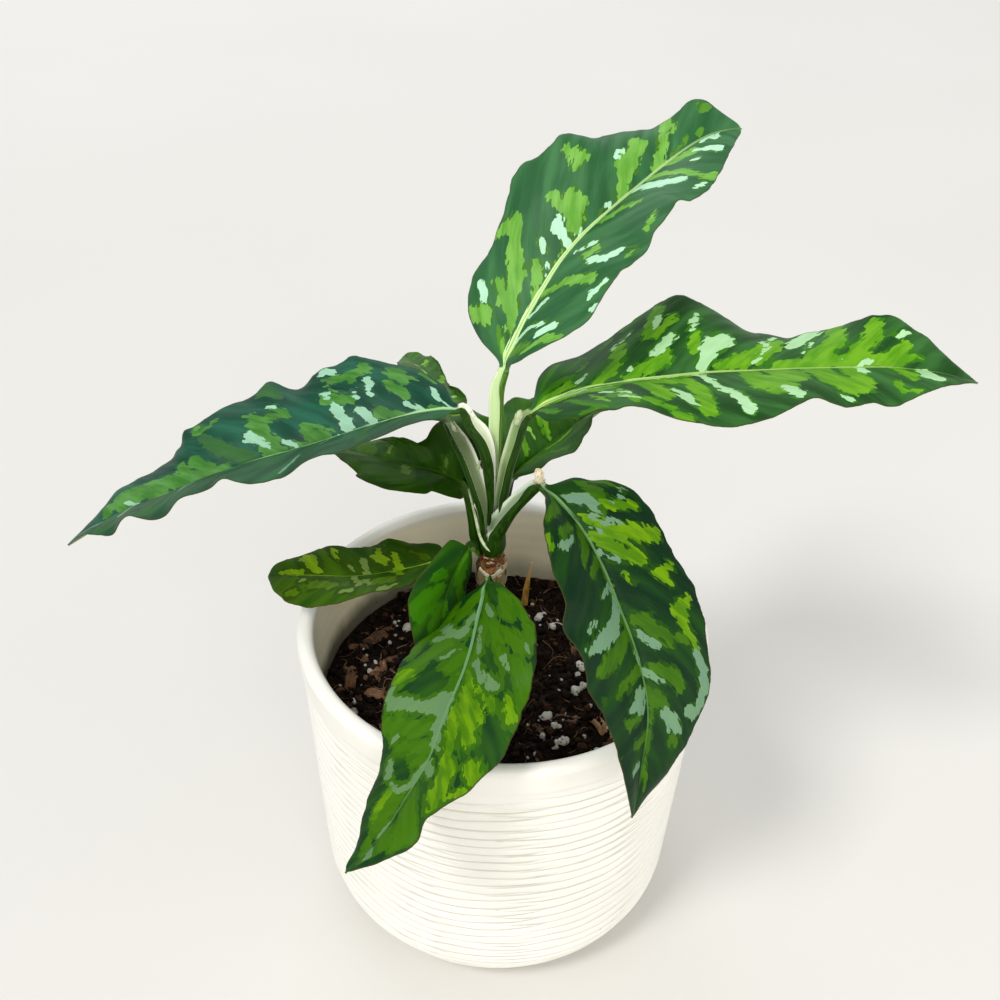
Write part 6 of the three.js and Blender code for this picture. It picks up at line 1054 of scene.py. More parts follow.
def make_leaf(name, seed, mat, rows=190, curl=0.30, quilt=0.07, thick=0.28):
    mid, left, right, length, half = blade_frame(BLADES[name])
    # sample stations, closer together near base and tip
    k = np.linspace(0, 1, rows)
    uu = 0.12 * (1 - np.cos(k * math.pi)) / 2 + 0.88 * k
    m, L, R = mid(uu), left(uu), right(uu)
    tip = smooth(1.0, 0.985, uu)[:, None]
    base = smooth(0.0, 0.012, uu)[:, None]
    L = m + (L - m) * np.maximum(tip * base, 0.02)
    R = m + (R - m) * np.maximum(tip * base, 0.02)
    a = np.abs(SV)[None, :, None]
    edge = np.where(SV[None, :, None] < 0, L[:, None], R[:, None])
    w = np.linalg.norm(edge - m[:, None], axis=-1)                      # rows x across
    tang = unit(np.gradient(m, axis=0))
    side = unit((R - L) - tang * np.sum((R - L) * tang, axis=1)[:, None])
    # where the blade is too narrow to say, take the direction from further in
    ok = (w.max(axis=1) > 1.2)
    first, last = np.argmax(ok), len(ok) - 1 - np.argmax(ok[::-1])
    for i in range(first - 1, -1, -1):
        side[i] = unit(side[i + 1] - tang[i] * np.dot(side[i + 1], tang[i]))
    for i in range(last + 1, len(side)):
        side[i] = unit(side[i - 1] - tang[i] * np.dot(side[i - 1], tang[i]))
    nor = unit(np.cross(side, tang))
    bulge = 0.30 * w[..., None] * a * (1 - a)
    P = m[:, None] + (edge - m[:, None]) * a + nor[:, None] * bulge
    # the margin's own ruffles and corners
    tl, tr_ = (spline(np.linspace(0, 1, len(t)), np.array(t, float))(uu) for t in TRIM[name])
    P = P + np.where(SV[None, :, None] < 0, tl[:, None], tr_[:, None]) * (0.25 * a + 0.75 * a ** 4)
    U = np.repeat(uu[:, None], ACROSS, 1)
    V = np.repeat(SV[None, :], rows, 0)
    Ymm = np.sign(V) * w * np.abs(V)
    X = U * length
    # local normal of the curved sheet
    du = np.gradient(P, axis=0); dv = np.gradient(P, axis=1)
    N = unit(np.cross(dv, du))
    flip = np.sum(N * nor[:, None], axis=-1) < 0
    N[flip] *= -1
    bad = (w < 0.8)
    N[bad] = np.repeat(nor[:, None], ACROSS, 1)[bad]
    # relief: quilted between the side veins, waved margin, small random dents
    ay = np.abs(Ymm)
    q = X - 0.95 * ay - 0.012 * ay * ay
    ph = q / 6.4 + 0.23 * vnoise(xyz(X * 0.05, Ymm * 0.05, seed), seed) * 2
    inner = smooth(0.06, 0.25, np.abs(V)) * (1 - smooth(0.75, 1.0, np.abs(V))) * smooth(0.02, 0.12, U) * (1 - smooth(0.86, 0.99, U))
    quilted = quilt * np.cos(2 * math.pi * ph + math.pi * (V > 0)) * inner
    rip = np.abs(V) ** 3 * smooth(0.05, 0.2, U) * (1 - smooth(0.88, 1.0, U))
    wave = curl * rip * (0.5 * np.sin(X / 2.6 + 2.2 * np.sign(V) + seed + 1.5 * vnoise(xyz(X * 0.07, np.sign(V) * 9, seed), seed + 2)) + 0.9 * vnoise(xyz(X * 0.16, np.sign(V) * 3, seed), seed + 5))
    dents = 0.38 * vnoise(xyz(X * 0.10, Ymm * 0.10, seed * 1.7), seed + 9) * smooth(0.05, 0.2, np.abs(V)) * (1 - smooth(0.9, 1.0, U))
    P = P + N * (quilted + wave + dents)[..., None]
    # margin irregularity in the plane of the blade
    nick = np.abs(V) ** 6 * 0.30 * fbm(xyz(X * 0.33, np.sign(V) * 5, seed), seed + 3, 3) * rip
    outdir = unit(edge - m[:, None]) * 1.0
    P = P + outdir * nick[..., None]
    # thickness
    t_up = thick * (1 - 0.55 * np.abs(V) ** 4) * np.ones_like(U)
    ribw = 0.45 + 0.80 * (1 - U) ** 1.6
    groove = (0.34 * (1 - U) ** 0.8 + 0.05) * np.exp(-(Ymm / (0.40 * ribw)) ** 2)
    shoulder = (0.14 * (1 - U) + 0.03) * np.exp(-((ay - 0.95 * ribw) / (0.5 * ribw)) ** 2)
    top = P + N * (t_up - groove + shoulder)[..., None]
    keel = (1.55 * (1 - U) ** 1.1 + 0.12) * np.exp(-(Ymm / (0.85 * ribw)) ** 2)
    lat = 0.10 * np.clip(np.cos(2 * math.pi * ph + math.pi * (V > 0)), 0, 1) ** 3 * inner
    bottom = P - N * (t_up + keel + lat)[..., None]
    ring = np.concatenate([top, bottom[:, ::-1]], axis=1)
    ringV = np.concatenate([V, V[:, ::-1]], axis=1)
    ringY = np.concatenate([Ymm, Ymm[:, ::-1]], axis=1)
    ringS = np.concatenate([np.ones_like(V), np.zeros_like(V)], axis=1)
    ringS[:, ACROSS - 1] = ringS[:, 0] = 0.75
    ringRim = np.concatenate([w * (1 - np.abs(V)), (w * (1 - np.abs(V)))[:, ::-1]], axis=1)
    # stalk
    pts = np.array(DEEPER[name] + STALKS[name], float)
    lead = mid(np.array([0.0, 0.03, 0.06]))
    cen = np.concatenate([pts[:, :3], lead])
    dist = np.r_[0, np.cumsum(np.linalg.norm(np.diff(cen, axis=0), axis=1))]
    path = spline(dist, cen)
    jw, jt = JOIN.get(name, (1.7, 1.5))
    size = spline(dist, np.concatenate([pts[:, 3:5], [[jw, jt], [0.7 * jw, 0.73 * jt], [0.47 * jw, 0.47 * jt]]]))
    s_base = dist[len(pts)]
    n_st = max(24, int(s_base / 0.62))
    ss = np.linspace(0, s_base, n_st, endpoint=False)
    over = m[uu <= 0.055]                       # the stalk goes on under the first part of the blade
    n_ov = len(over)
    c_all = np.concatenate([path(ss), over])
    sz = np.concatenate([size(ss), np.stack([np.interp(uu[:n_ov], [0, 0.03, 0.06], [jw, 0.7 * jw, 0.47 * jw]), np.interp(uu[:n_ov], [0, 0.03, 0.06], [jt, 0.73 * jt, 0.47 * jt])], -1)])
    tg = unit(np.gradient(c_all, axis=0))
    sd = np.zeros_like(c_all)
    sd[-1] = unit(side[n_ov - 1] - tg[-1] * np.dot(side[n_ov - 1], tg[-1]))
    for i in range(len(c_all) - 2, -1, -1):
        sd[i] = unit(sd[i + 1] - tg[i] * np.dot(sd[i + 1], tg[i]))
    nr = unit(np.cross(sd, tg))
    # turn the section so that its open side faces the given way lower down
    if FACE[name] is None:
        want = nr
    else:
        face = np.array(FACE[name], float)[None]
        want = face - tg * np.sum(tg * face, axis=1)[:, None]
    want = unit(want)
    ang = np.arctan2(np.sum(want * sd, axis=1), np.sum(want * nr, axis=1))
    ang = np.unwrap(ang)
    ang = ang - 2 * math.pi * np.round(ang[n_st - 1] / (2 * math.pi))
    near = np.linalg.norm(c_all - c_all[n_st - 1], axis=1) * np.where(np.arange(len(c_all)) < n_st, 1, 0)
    ang = ang * smooth(0.0, 9.0, near)
    sd, nr = sd * np.cos(ang)[:, None] - nr * np.sin(ang)[:, None], nr * np.cos(ang)[:, None] + sd * np.sin(ang)[:, None]
    e = np.linspace(-1, 1, ACROSS)
    chan_x = 0.80 * e + 0.05 * np.sin(math.pi * e)
    chan_y = 0.62 - 0.62 * (1 - np.abs(e) ** 3)
    f = np.radians(38 - (38 + 218) * (np.linspace(0, 1, ACROSS)))
    back_x, back_y = np.cos(f), np.sin(f)
    cx = np.concatenate([chan_x, back_x]); cy = np.concatenate([chan_y, back_y])
    stretch = 1 + 0.03 * vnoise(xyz(np.arange(len(c_all)) * 0.15, seed, 0), seed)[:, None]
    cy = np.repeat(cy[None], len(c_all), 0)
    shut = np.zeros((len(c_all), ACROSS))
    if name in CLOSES:                          # the channel closes where the stalk clasps the stem
        shut = 1 - smooth(CLOSES[name], CLOSES[name] + 2.4, c_all[:, 2:] - 0.5 * e[None, :] ** 2)
        cy[:, :ACROSS] += shut * (0.66 * (1 - np.abs(e) ** 3) + 0.42 * (1 - e ** 2))[None, :]
    SR = c_all[:, None] + sd[:, None] * (cx[None, :] * sz[:, :1] * stretch)[..., None] + nr[:, None] * (cy * sz[:, 1:] * 1.08)[..., None]
    kk = smooth(0.0, 0.05, uu[:n_ov])[:, None, None]
    ring[:n_ov] = SR[n_st:] * (1 - kk) + ring[:n_ov] * kk
    stalk_side = np.concatenate([np.ones(ACROSS), smooth(0.94, 1.0, np.abs(np.linspace(-1, 1, ACROSS))) * 0.6])
    stalk_side = np.repeat(stalk_side[None], n_st, 0)
    stalk_side[:, :ACROSS] *= 1 - shut[:n_st]
    stalk_side[:, ACROSS:] *= 1 - shut[:n_st, :1]
    allr = np.concatenate([SR[:n_st], ring])
    rows_all = n_st + rows
    x_st = (ss - s_base)[:, None] * np.ones((1, 2 * ACROSS))
    y_st = cx[None, :] * sz[:n_st, :1] * 2.0
    co = np.concatenate([np.stack([x_st, y_st, cy[:n_st] * 2.2], -1),
                         np.stack([np.repeat(X[:, :1], 2 * ACROSS, 1), ringY, ringV], -1)])
    fb = mark_field(name, "b", U, V, length, half)
    fs = mark_field(name, "s", U, V, length, half)
    fm = mark_field(name, "m", U, V, length, half)
    fb = np.concatenate([fb, fb[:, ::-1]], 1); fs = np.concatenate([fs, fs[:, ::-1]], 1)
    fm = np.concatenate([np.full_like(x_st, 9.0), np.concatenate([fm, fm[:, ::-1]], 1)])
    pt = np.concatenate([np.stack([np.full_like(x_st, 9.0), np.full_like(x_st, 9.0), stalk_side], -1), np.stack([fb, fs, ringS], -1)])
    run_out = (1 - smooth(0.0, 0.022, uu))[:, None] * smooth(2.4, 1.0, np.abs(ringY))
    stw = np.concatenate([np.ones_like(x_st), run_out])
    rimd = np.concatenate([np.full_like(x_st, 9.0), np.where(np.repeat(w.max(axis=1, keepdims=True), 2 * ACROSS, 1) > 2.0, ringRim, 9.0)])
    ush = np.concatenate([np.zeros_like(x_st), np.repeat(uu[:, None], 2 * ACROSS, 1)])
    stt = np.stack([stw, rimd, ush], -1)
    verts = allr.reshape(-1, 3)
    n = len(verts)
    verts = np.concatenate([verts, allr[0].mean(0, keepdims=True), allr[-1].mean(0, keepdims=True)])
    quads = grid_quads(rows_all, 2 * ACROSS)
    tris = fans(rows_all, 2 * ACROSS, n, n + 1)
    if not outward(verts, quads, tris):
        quads, tris = quads[:, ::-1], tris[:, ::-1]

    def flat(arr):
        arr = arr.reshape(-1, 3)
        return np.concatenate([arr, arr[:1], arr[-1:]])
    fm = np.r_[fm.ravel(), 9.0, 9.0]
    ob = build(name + "_blade", verts, quads, tris, {"leafco": flat(co), "leafpt": flat(pt), "leafst": flat(stt), "leafmd": fm}, [mat])
    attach(ob, "root"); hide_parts(name)
    return ob


# painted shade and light: every leaf has its own copy of the finish with colours matched leaf by leaf, so the leaves
# that face the camera and hang in shade (leaf_front, leaf_front_right, and leaf_back_right in the shade of leaf_right,
# whose finish leaf_back_upper shares) are painted darker than the lit upper leaves, and the pale stalk channel of
# leaf_left, which faces the light, is painted brighter than that of leaf_right
MATS = {
    "leaf_top": leaf_material("leaf_top_skin", dark=rgb(38, 92, 50), dark2=rgb(62, 118, 70), mid=rgb(63, 110, 26), bright=rgb(94, 157, 51), bright2=rgb(120, 179, 75),
                              silver=rgb(183, 230, 200), rib=rgb(219, 254, 176), seed=1, spread=0.15, spec=0.16, ribw=1.4, under=(96, 140, 62), inner=(240, 250, 216), floor=(206, 230, 174), back=(60, 102, 18), back2=(104, 146, 56)),
    "leaf_right": leaf_material("leaf_right_skin", dark=rgb(23, 69, 19), dark2=rgb(55, 109, 48), mid=rgb(48, 112, 2), bright=rgb(79, 143, 10), bright2=rgb(109, 167, 28),
                                silver=rgb(175, 219, 170), rib=rgb(201, 232, 139), seed=2, spread=0.35, spec=0.15, ribw=0.9, inner=(208, 222, 188), floor=(142, 166, 112)),
    "leaf_left": leaf_material("leaf_left_skin", dark=rgb(9, 62, 43), dark2=rgb(33, 96, 73), mid=rgb(40, 78, 55), bright=rgb(54, 113, 34), bright2=rgb(83, 141, 63),
                               silver=rgb(154, 202, 174), rib=rgb(166, 212, 150), seed=3, spread=0.25, spec=0.14, ribw=0.85, lee_shade=0.6, inner=(252, 253, 246), floor=(224, 232, 204)),
    "leaf_front_right": leaf_material("leaf_front_right_skin", dark=rgb(11, 44, 22), dark2=rgb(26, 67, 18), mid=rgb(34, 74, 8), bright=rgb(74, 123, 7), bright2=rgb(111, 153, 7),
                                      silver=rgb(107, 143, 118), rib=rgb(111, 155, 94), seed=4, spread=0.45, spec=0.12, ribw=0.85, inner=(226, 236, 218), floor=(146, 168, 134)),
    "leaf_front": leaf_material("leaf_front_skin", dark=rgb(14, 55, 22), dark2=rgb(38, 84, 12), mid=rgb(53, 101, 2), bright=rgb(67, 116, 1), bright2=rgb(105, 150, 1),
                                silver=rgb(97, 131, 91), rib=rgb(123, 169, 122), seed=5, spread=1.3, spec=0.11, ribw=0.75, inner=(128, 160, 92), floor=(96, 138, 56)),
    "leaf_low_left": leaf_material("leaf_low_left_skin", dark=rgb(34, 72, 2), dark2=rgb(64, 100, 2), mid=rgb(45, 71, 1), bright=rgb(97, 140, 3), bright2=rgb(126, 158, 21),
                                   silver=rgb(105, 130, 66), rib=rgb(158, 214, 18), seed=6, spread=1.2, spec=0.09, ribw=0.45, inner=(128, 160, 92), floor=(96, 138, 56)),
    "leaf_low_front": leaf_material("leaf_low_front_skin", dark=rgb(26, 72, 22), dark2=rgb(52, 105, 6), mid=rgb(58, 123, 9), bright=rgb(66, 130, 8), bright2=rgb(90, 148, 14),
                                    silver=rgb(112, 160, 100), rib=rgb(78, 128, 24), seed=7, spread=1.4, spec=0.09, ribw=0.35, inner=(112, 146, 76), floor=(84, 126, 44)),
    "leaf_back": leaf_material("leaf_back_skin", dark=rgb(29, 65, 1), dark2=rgb(47, 89, 2), mid=rgb(48, 90, 1), bright=rgb(51, 83, 2), bright2=rgb(66, 96, 4),
                               silver=rgb(98, 128, 59), rib=rgb(63, 104, 11), seed=8, spread=1.4, spec=0.05, ribw=0.5, inner=(110, 136, 74), floor=(78, 106, 44)),
    "leaf_back_pale": leaf_material("leaf_back_pale_skin", dark=rgb(36, 83, 5), dark2=rgb(57, 107, 13), mid=rgb(37, 85, 1), bright=rgb(80, 141, 10), bright2=rgb(114, 176, 24),
                                    silver=rgb(150, 200, 89), rib=rgb(89, 134, 25), seed=9, spread=1.0, spec=0.09, ribw=0.5, inner=(228, 233, 216), floor=(122, 138, 100)),
}
make_leaf("leaf_top", 1, MATS["leaf_top"], rows=200)
make_leaf("leaf_right", 2, MATS["leaf_right"], rows=210)
make_leaf("leaf_left", 3, MATS["leaf_left"], rows=230)
make_leaf("leaf_front_right", 4, MATS["leaf_front_right"], rows=200)
make_leaf("leaf_front", 5, MATS["leaf_front"], rows=190)
make_leaf("leaf_low_left", 6, MATS["leaf_low_left"], rows=140)
make_leaf("leaf_low_front", 7, MATS["leaf_low_front"], rows=130)
make_leaf("leaf_back_left", 8, MATS["leaf_back"], rows=150)
make_leaf("leaf_back_upper", 9, MATS["leaf_back_pale"], rows=150)
make_leaf("leaf_back_right", 10, MATS["leaf_back_pale"], rows=150)

# ------------------------------------------------------------------ pot
RIM_R, POT_H, FOOT_R, FOOT_ROUND, WALL, FLOOR, RIM_BAND, RIM_ROUND = 65.0, 112.3, 60.75, 19.9, 5.2, 6.0, 9.5, 2.6
ROW = 3.95


def pot_out(z):
    z = np.asarray(z, float)
    t = (z - FOOT_ROUND) / (POT_H - RIM_ROUND - FOOT_ROUND)
    s = np.clip(1 - z / FOOT_ROUND, 0, 1)
    return np.where(z >= FOOT_ROUND, FOOT_R + (RIM_R - FOOT_R) * t, FOOT_R - FOOT_ROUND * (1 - np.sqrt(np.maximum(0, 1 - s * s))))


def pot_in(z):
    return pot_out(np.maximum(np.asarray(z, float), FOOT_ROUND)) - WALL


def ripples(th, z):
    """How far the wall stands back at angle th, height z: overlapping hand-pressed rows that hand over to one another."""
    shape = np.broadcast(th, z).shape
    line, lip, tot = np.zeros(shape), np.zeros(shape), np.zeros(shape)
    rng = RNG(41)
    n = 11
    for k in range(n):
        c = -math.pi + (k + 0.5 + rng.uniform(-0.22, 0.22)) * 2 * math.pi / n
        lean = rng.uniform(0.30, 0.85) * (1 if k % 2 else -1)
        dd = (th - c + math.pi) % (2 * math.pi) - math.pi
        ph = z / ROW + rng.uniform(0, 1) + lean * dd + 0.22 * vnoise(xyz(th * 2.2, z * 0.05, k), 70 + k) + 0.11 * vnoise(xyz(th * 6.0, z * 0.2, k), 80 + k)
        row = np.floor(ph)
        fr = ph - row
        # every row runs out at its own place on either side
        wob = 0.16 * lattice(row.astype(np.int64), np.full_like(row, k).astype(np.int64), np.full_like(row, 3).astype(np.int64), 51) + 0.05 * vnoise(xyz(z * 0.3, k * 7.0, 0), 50 + k)
        half = 0.30 + wob * 0.9
        wgt = 1 - smooth(half - 0.06, half + 0.20, np.abs(dd + 0.4 * wob))
        near = np.minimum(fr, (1 - fr) * 2.2)
        cut = np.exp(-(near / 0.19) ** 2)
        line = np.maximum(line, wgt * cut * (0.82 + 0.26 * vnoise(xyz(th * 3.5, row * 2.3, k), 90 + k)))
        lip += wgt * 0.55 * (0.5 - fr) * (1 - cut)
        tot += wgt
    return line, lip / np.maximum(tot, 0.75)


def make_pot():
    seg = 420
    th = np.linspace(0, 2 * math.pi, seg, endpoint=False)
    zc = POT_H - RIM_ROUND
    prof = [(0.0, 0.0, 0), (18.0, 0.0, 0), (33.0, 0.0, 0), (38.0, 0.0, 0)]
    for z in np.linspace(0.0, 8.0, 26)[0:]:
        prof.append((float(pot_out(z)), float(z), 1))
    for z in np.arange(8.25, zc - 0.01, 0.25):
        prof.append((float(pot_out(z)), float(z), 1))
    for a in np.linspace(0, math.pi / 2, 10):
        prof.append((RIM_R - RIM_ROUND + RIM_ROUND * math.cos(a), zc + RIM_ROUND * math.sin(a), 2))
    ri = RIM_R - WALL
    for a in np.linspace(0, math.pi / 2, 10)[1:]:
        prof.append((ri + 2.4 - 2.4 * math.sin(a), POT_H - 2.4 + 2.4 * math.cos(a), 3))
    for z in np.linspace(POT_H - 3.2, 27.0, 90):
        prof.append((float(pot_in(z)), float(z), 4))
    for a in np.linspace(0, math.pi / 2, 14)[1:]:
        prof.append((float(pot_in(26)) - 20 + 20 * math.cos(a), 26 - 20 * math.sin(a), 5))
    prof += [(20.0, FLOOR, 5), (8.0, FLOOR, 5), (0.0, FLOOR, 5)]
    r = np.array([p[0] for p in prof]); z = np.array([p[1] for p in prof]); tag = np.array([p[2] for p in prof])
    TH, Z = np.meshgrid(th, z)
    Rr = np.repeat(r[:, None], seg, 1)
    o, t = ripples(TH, Z)
    depth = 0.95 * smooth(4.0, 12.0, Z) * (1 - 0.45 * smooth(POT_H - RIM_BAND - 9.0, POT_H - RIM_BAND - 3.0, Z)) * (1 - smooth(POT_H - RIM_BAND - 3.5, POT_H - RIM_BAND + 0.6, Z))
    depth = depth * (tag == 1)[:, None]
    back = depth * (0.72 * o - 0.50 * t + 0.12)
    furrow = o * depth / 0.95
    step_in = 0.34 * (1 - smooth(POT_H - RIM_BAND - 1.0, POT_H - RIM_BAND + 1.0, Z)) * (tag == 1)[:, None] * smooth(2, 12, Z)
    Rr = Rr - np.clip(back, -0.05, 0.9) - step_in
    Rr = Rr + (0.10 * fbm(xyz(np.cos(TH) * 2.4, np.sin(TH) * 2.4, Z * 0.03), 11, 3)) * ((tag == 1) | (tag == 4))[:, None]
    Rr = Rr + 0.05 * np.sin(Z * 1.3) * (tag == 4)[:, None]
    X, Y = Rr * np.cos(TH), Rr * np.sin(TH)
    v = np.stack([X, Y, Z], -1)[1:-1]
    rows = len(v)
    flatv = v.reshape(-1, 3)
    n = len(flatv)
    flatv = np.concatenate([flatv, [[0, 0, 0.0]], [[0, 0, FLOOR]]])
    q = grid_quads(rows, seg); tr = fans(rows, seg, n, n + 1)
    if not outward(flatv, q, tr):
        q, tr = q[:, ::-1], tr[:, ::-1]
    inside = np.repeat((tag >= 3).astype(float)[1:-1, None], seg, 1).ravel()
    cut = furrow[1:-1].ravel()
    inside = np.r_[inside, 0, 1]; cut = np.r_[cut, 0, 0]
    g = Nodes("pot_glaze_white")
    pos = g.coord()
    x, y, z = g.sep(pos)
    ins = g.attr("inside", "Fac"); furrow_shade = g.attr("furrow", "Fac")
    big = g.noise(g.vmath("MULTIPLY", pos, (1, 1, 1.6)), 26, 3, 0.5)
    white = g.mix(g.step(big, 0.3, 0.7), rgb(242, 240, 232), rgb(247, 245, 239))
    warm_bounce = g.mix(g.step(big, 0.35, 0.65), rgb(248, 238, 208), rgb(252, 244, 218))
    # painted shade: the furrows between the ripple rows are painted greyer, standing in for the shadow under each lip
    col = g.mix(g.math("MULTIPLY", g.step(furrow_shade, 0.20, 1.0), 0.85), white, rgb(200, 195, 178))
    # painted light: the inside wall below the rim is painted warmer cream than the outside, standing in for the warm
    # light bounced inside the pot
    col = g.mix(g.math("MULTIPLY", ins, g.step(z, 0.1112, 0.1075)), col, warm_bounce)
    # painted shade and damp soil on the inside just over the mix: a dark band standing in for the shadow low on the
    # wall, strongest on the left side that lies in shadow, and soil splashes
    ragged = g.math("MULTIPLY", g.math("SUBTRACT", g.noise(g.vmath("MULTIPLY", pos, (1, 1, 0.5)), 70, 4, 0.6), 0.5), 0.010)
    shade_and_soil_band = g.step(g.math("ADD", z, ragged), 0.0925, 0.0835)
    left_shade_side = g.step(x, 0.02, -0.045, 0.42, 1.0)
    col = g.mix(g.math("MULTIPLY", g.math("MULTIPLY", g.math("MULTIPLY", shade_and_soil_band, ins), left_shade_side), 0.86), col, rgb(66, 60, 48))
    spl = g.noise(pos, 520, 2, 0.5)
    col = g.mix(g.math("MULTIPLY", g.math("MULTIPLY", g.step(spl, 0.70, 0.76), ins), g.step(z, 0.104, 0.086)), col, rgb(84, 66, 48))
    # few tiny iron specks in the glaze
    spk = g.voronoi(pos, 95)
    pick = g.noise(pos, 33, 1, 0.5)
    col = g.mix(g.math("MULTIPLY", g.math("MULTIPLY", g.step(spk, 0.055, 0.035), g.step(pick, 0.60, 0.64)), 0.6), col, rgb(150, 138, 116))
    rough = g.math("ADD", 0.36, g.math("MULTIPLY", g.noise(pos, 60, 3, 0.6), 0.16))
    orange = g.noise(pos, 900, 3, 0.55)
    pool = g.noise(pos, 160, 3, 0.5)
    h = g.math("ADD", g.math("MULTIPLY", orange, 0.25), pool)
    mat = g.set(Base_Color=col, Roughness=rough, Normal=g.bump(h, 0.22, 0.0003), Specular_IOR_Level=0.5, Coat_Weight=0.15, Coat_Roughness=0.2)
    ob = build("pot_body", flatv, q, tr, {"inside": inside, "furrow": cut}, [mat])
    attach(ob, "root"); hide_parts("pot")


make_pot()

# ------------------------------------------------------------------ potting mix
SOIL, MOUND = 81.5, 2.2
STEM = (-4.2, 1.0)


def soil_z(x, y):
    x = np.asarray(x, float); y = np.asarray(y, float)
    r = np.hypot(x, y)
    base = SOIL + MOUND * np.maximum(0, 1 - (r / 50) ** 2)
    wob = 0.75 * np.sin(x * 0.31 + 1.3) * np.cos(y * 0.27 - 0.6) + 0.45 * np.sin(x * 0.71 - y * 0.53)
    fade = np.clip((58.6 - r) / 9, 0, 1)
    lump = 1.10 * fbm(xyz(x * 0.16, y * 0.16, 3), 21, 2) + 0.80 * np.abs(fbm(xyz(x * 0.36, y * 0.36, 5), 23, 2)) + 0.42 * fbm(xyz(x * 0.95, y * 0.95, 7), 27, 2)
    return base + wob * fade + lump * (0.35 + 0.65 * fade) - 0.3


def soil_material():
    g = Nodes("peat_mix")
    pos = g.coord()
    t = g.attr("tone", "Fac")
    n1 = g.noise(pos, 240, 5, 0.65)
    n2 = g.noise(pos, 1100, 3, 0.6)
    col = g.mix(g.step(n1, 0.35, 0.70), rgb(15, 9, 6), rgb(42, 26, 17))
    col = g.mix(g.math("MULTIPLY", g.step(n2, 0.60, 0.74), 0.6), col, rgb(88, 62, 44))
    col = g.mix(g.step(t, 0.60, 1.0), col, rgb(80, 53, 34))
    col = g.mix(g.step(t, 0.30, 0.0), col, rgb(14, 9, 7))
    h = g.math("ADD", n1, g.math("MULTIPLY", n2, 0.5))
    return g.set(Base_Color=col, Roughness=g.step(n1, 0.3, 0.7, 0.62, 0.92), Normal=g.bump(h, 0.8, 0.0008), Specular_IOR_Level=0.14)


PEAT = soil_material()


def make_soil():
    seg, rad = 330, 150
    th = np.linspace(0, 2 * math.pi, seg, endpoint=False)
    rmax = float(pot_in(81.5)) - 0.35
    r = np.linspace(0.6, rmax, rad)
    TH, R = np.meshgrid(th, r)
    X, Y = R * np.cos(TH), R * np.sin(TH)
    Z = soil_z(X, Y)
    top = np.stack([X, Y, Z], -1)
    side = []
    for z in (78, 70, 55, 40, 27, 15.5, 9.2, 6.5):
        rr = float(pot_in(z)) - 0.5 - (0 if z > 20 else 4.6 if z > 12 else 12 if z > 8 else 19)
        side.append(np.stack([rr * np.cos(th), rr * np.sin(th), np.full(seg, z)], -1))
    v = np.concatenate([top, np.array(side)])
    rows = len(v)
    flatv = np.concatenate([v.reshape(-1, 3), [[0, 0, float(soil_z(0, 0))]], [[0, 0, 6.5]]])
    n = rows * seg
    q = grid_quads(rows, seg); tr = fans(rows, seg, n, n + 1)
    if not outward(flatv, q, tr):
        q, tr = q[:, ::-1], tr[:, ::-1]
    tone = 0.5 + 0.28 * fbm(flatv * 0.35, 33, 3)
    ob = build("peat_bed", flatv, q, tr, {"tone": tone}, [PEAT])
    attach(ob, "root"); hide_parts("soil")


make_soil()


def scatter_points(n, rng, rmax=57.0, keep=None):
    out = []
    while len(out) < n:
        r = rmax * math.sqrt(rng.uniform()); a = rng.uniform(0, 2 * math.pi)
        x, y = r * math.cos(a), r * math.sin(a)
        if math.hypot(x - STEM[0], y - STEM[1]) < 5.0:
            continue
        if keep and not keep(x, y):
            continue
        out.append((x, y))
    return out


def turn(rng):
    """A random rotation matrix."""
    q = rng.normal(size=4); q /= np.linalg.norm(q)
    w, x, y, z = q
    return np.array([[1 - 2 * (y * y + z * z), 2 * (x * y - z * w), 2 * (x * z + y * w)],
                     [2 * (x * y + z * w), 1 - 2 * (x * x + z * z), 2 * (y * z - x * w)],
                     [2 * (x * z - y * w), 2 * (y * z + x * w), 1 - 2 * (x * x + y * y)]])


def lump(level, size, rough, seed, rot=None):
    v, f = ICO[level]
    v = v * (1 + rough * fbm(v * 1.6 + seed * 3.1, seed % 97, 3))[:, None]
    v = v * np.asarray(size)
    if rot is not None:
        v = v @ rot.T
    return v, f


def make_crumbs():
    rng = RNG(7)
    heap = Heap()
    for i, (x, y) in enumerate(scatter_points(2700, rng, 57.6)):
        s = 0.45 + 1.5 * rng.uniform() ** 2.6
        lv = 2 if s > 0.9 else 1
        v, f = lump(lv, (s, s * rng.uniform(0.6, 1.0), s * rng.uniform(0.5, 0.85)), 0.30, i, turn(rng))
        r = math.hypot(x, y)
        if r + s > 58.6:
            x, y = x * (58.4 - s) / r, y * (58.4 - s) / r
        v = v + [x, y, float(soil_z(x, y)) + s * rng.uniform(0.05, 0.45)]
        heap.add(v, t=f, tone=float(np.clip(rng.normal(0.48, 0.22), 0, 1)))
    ob = heap.build("peat_crumbs", [PEAT])
    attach(ob, "root")


make_crumbs()


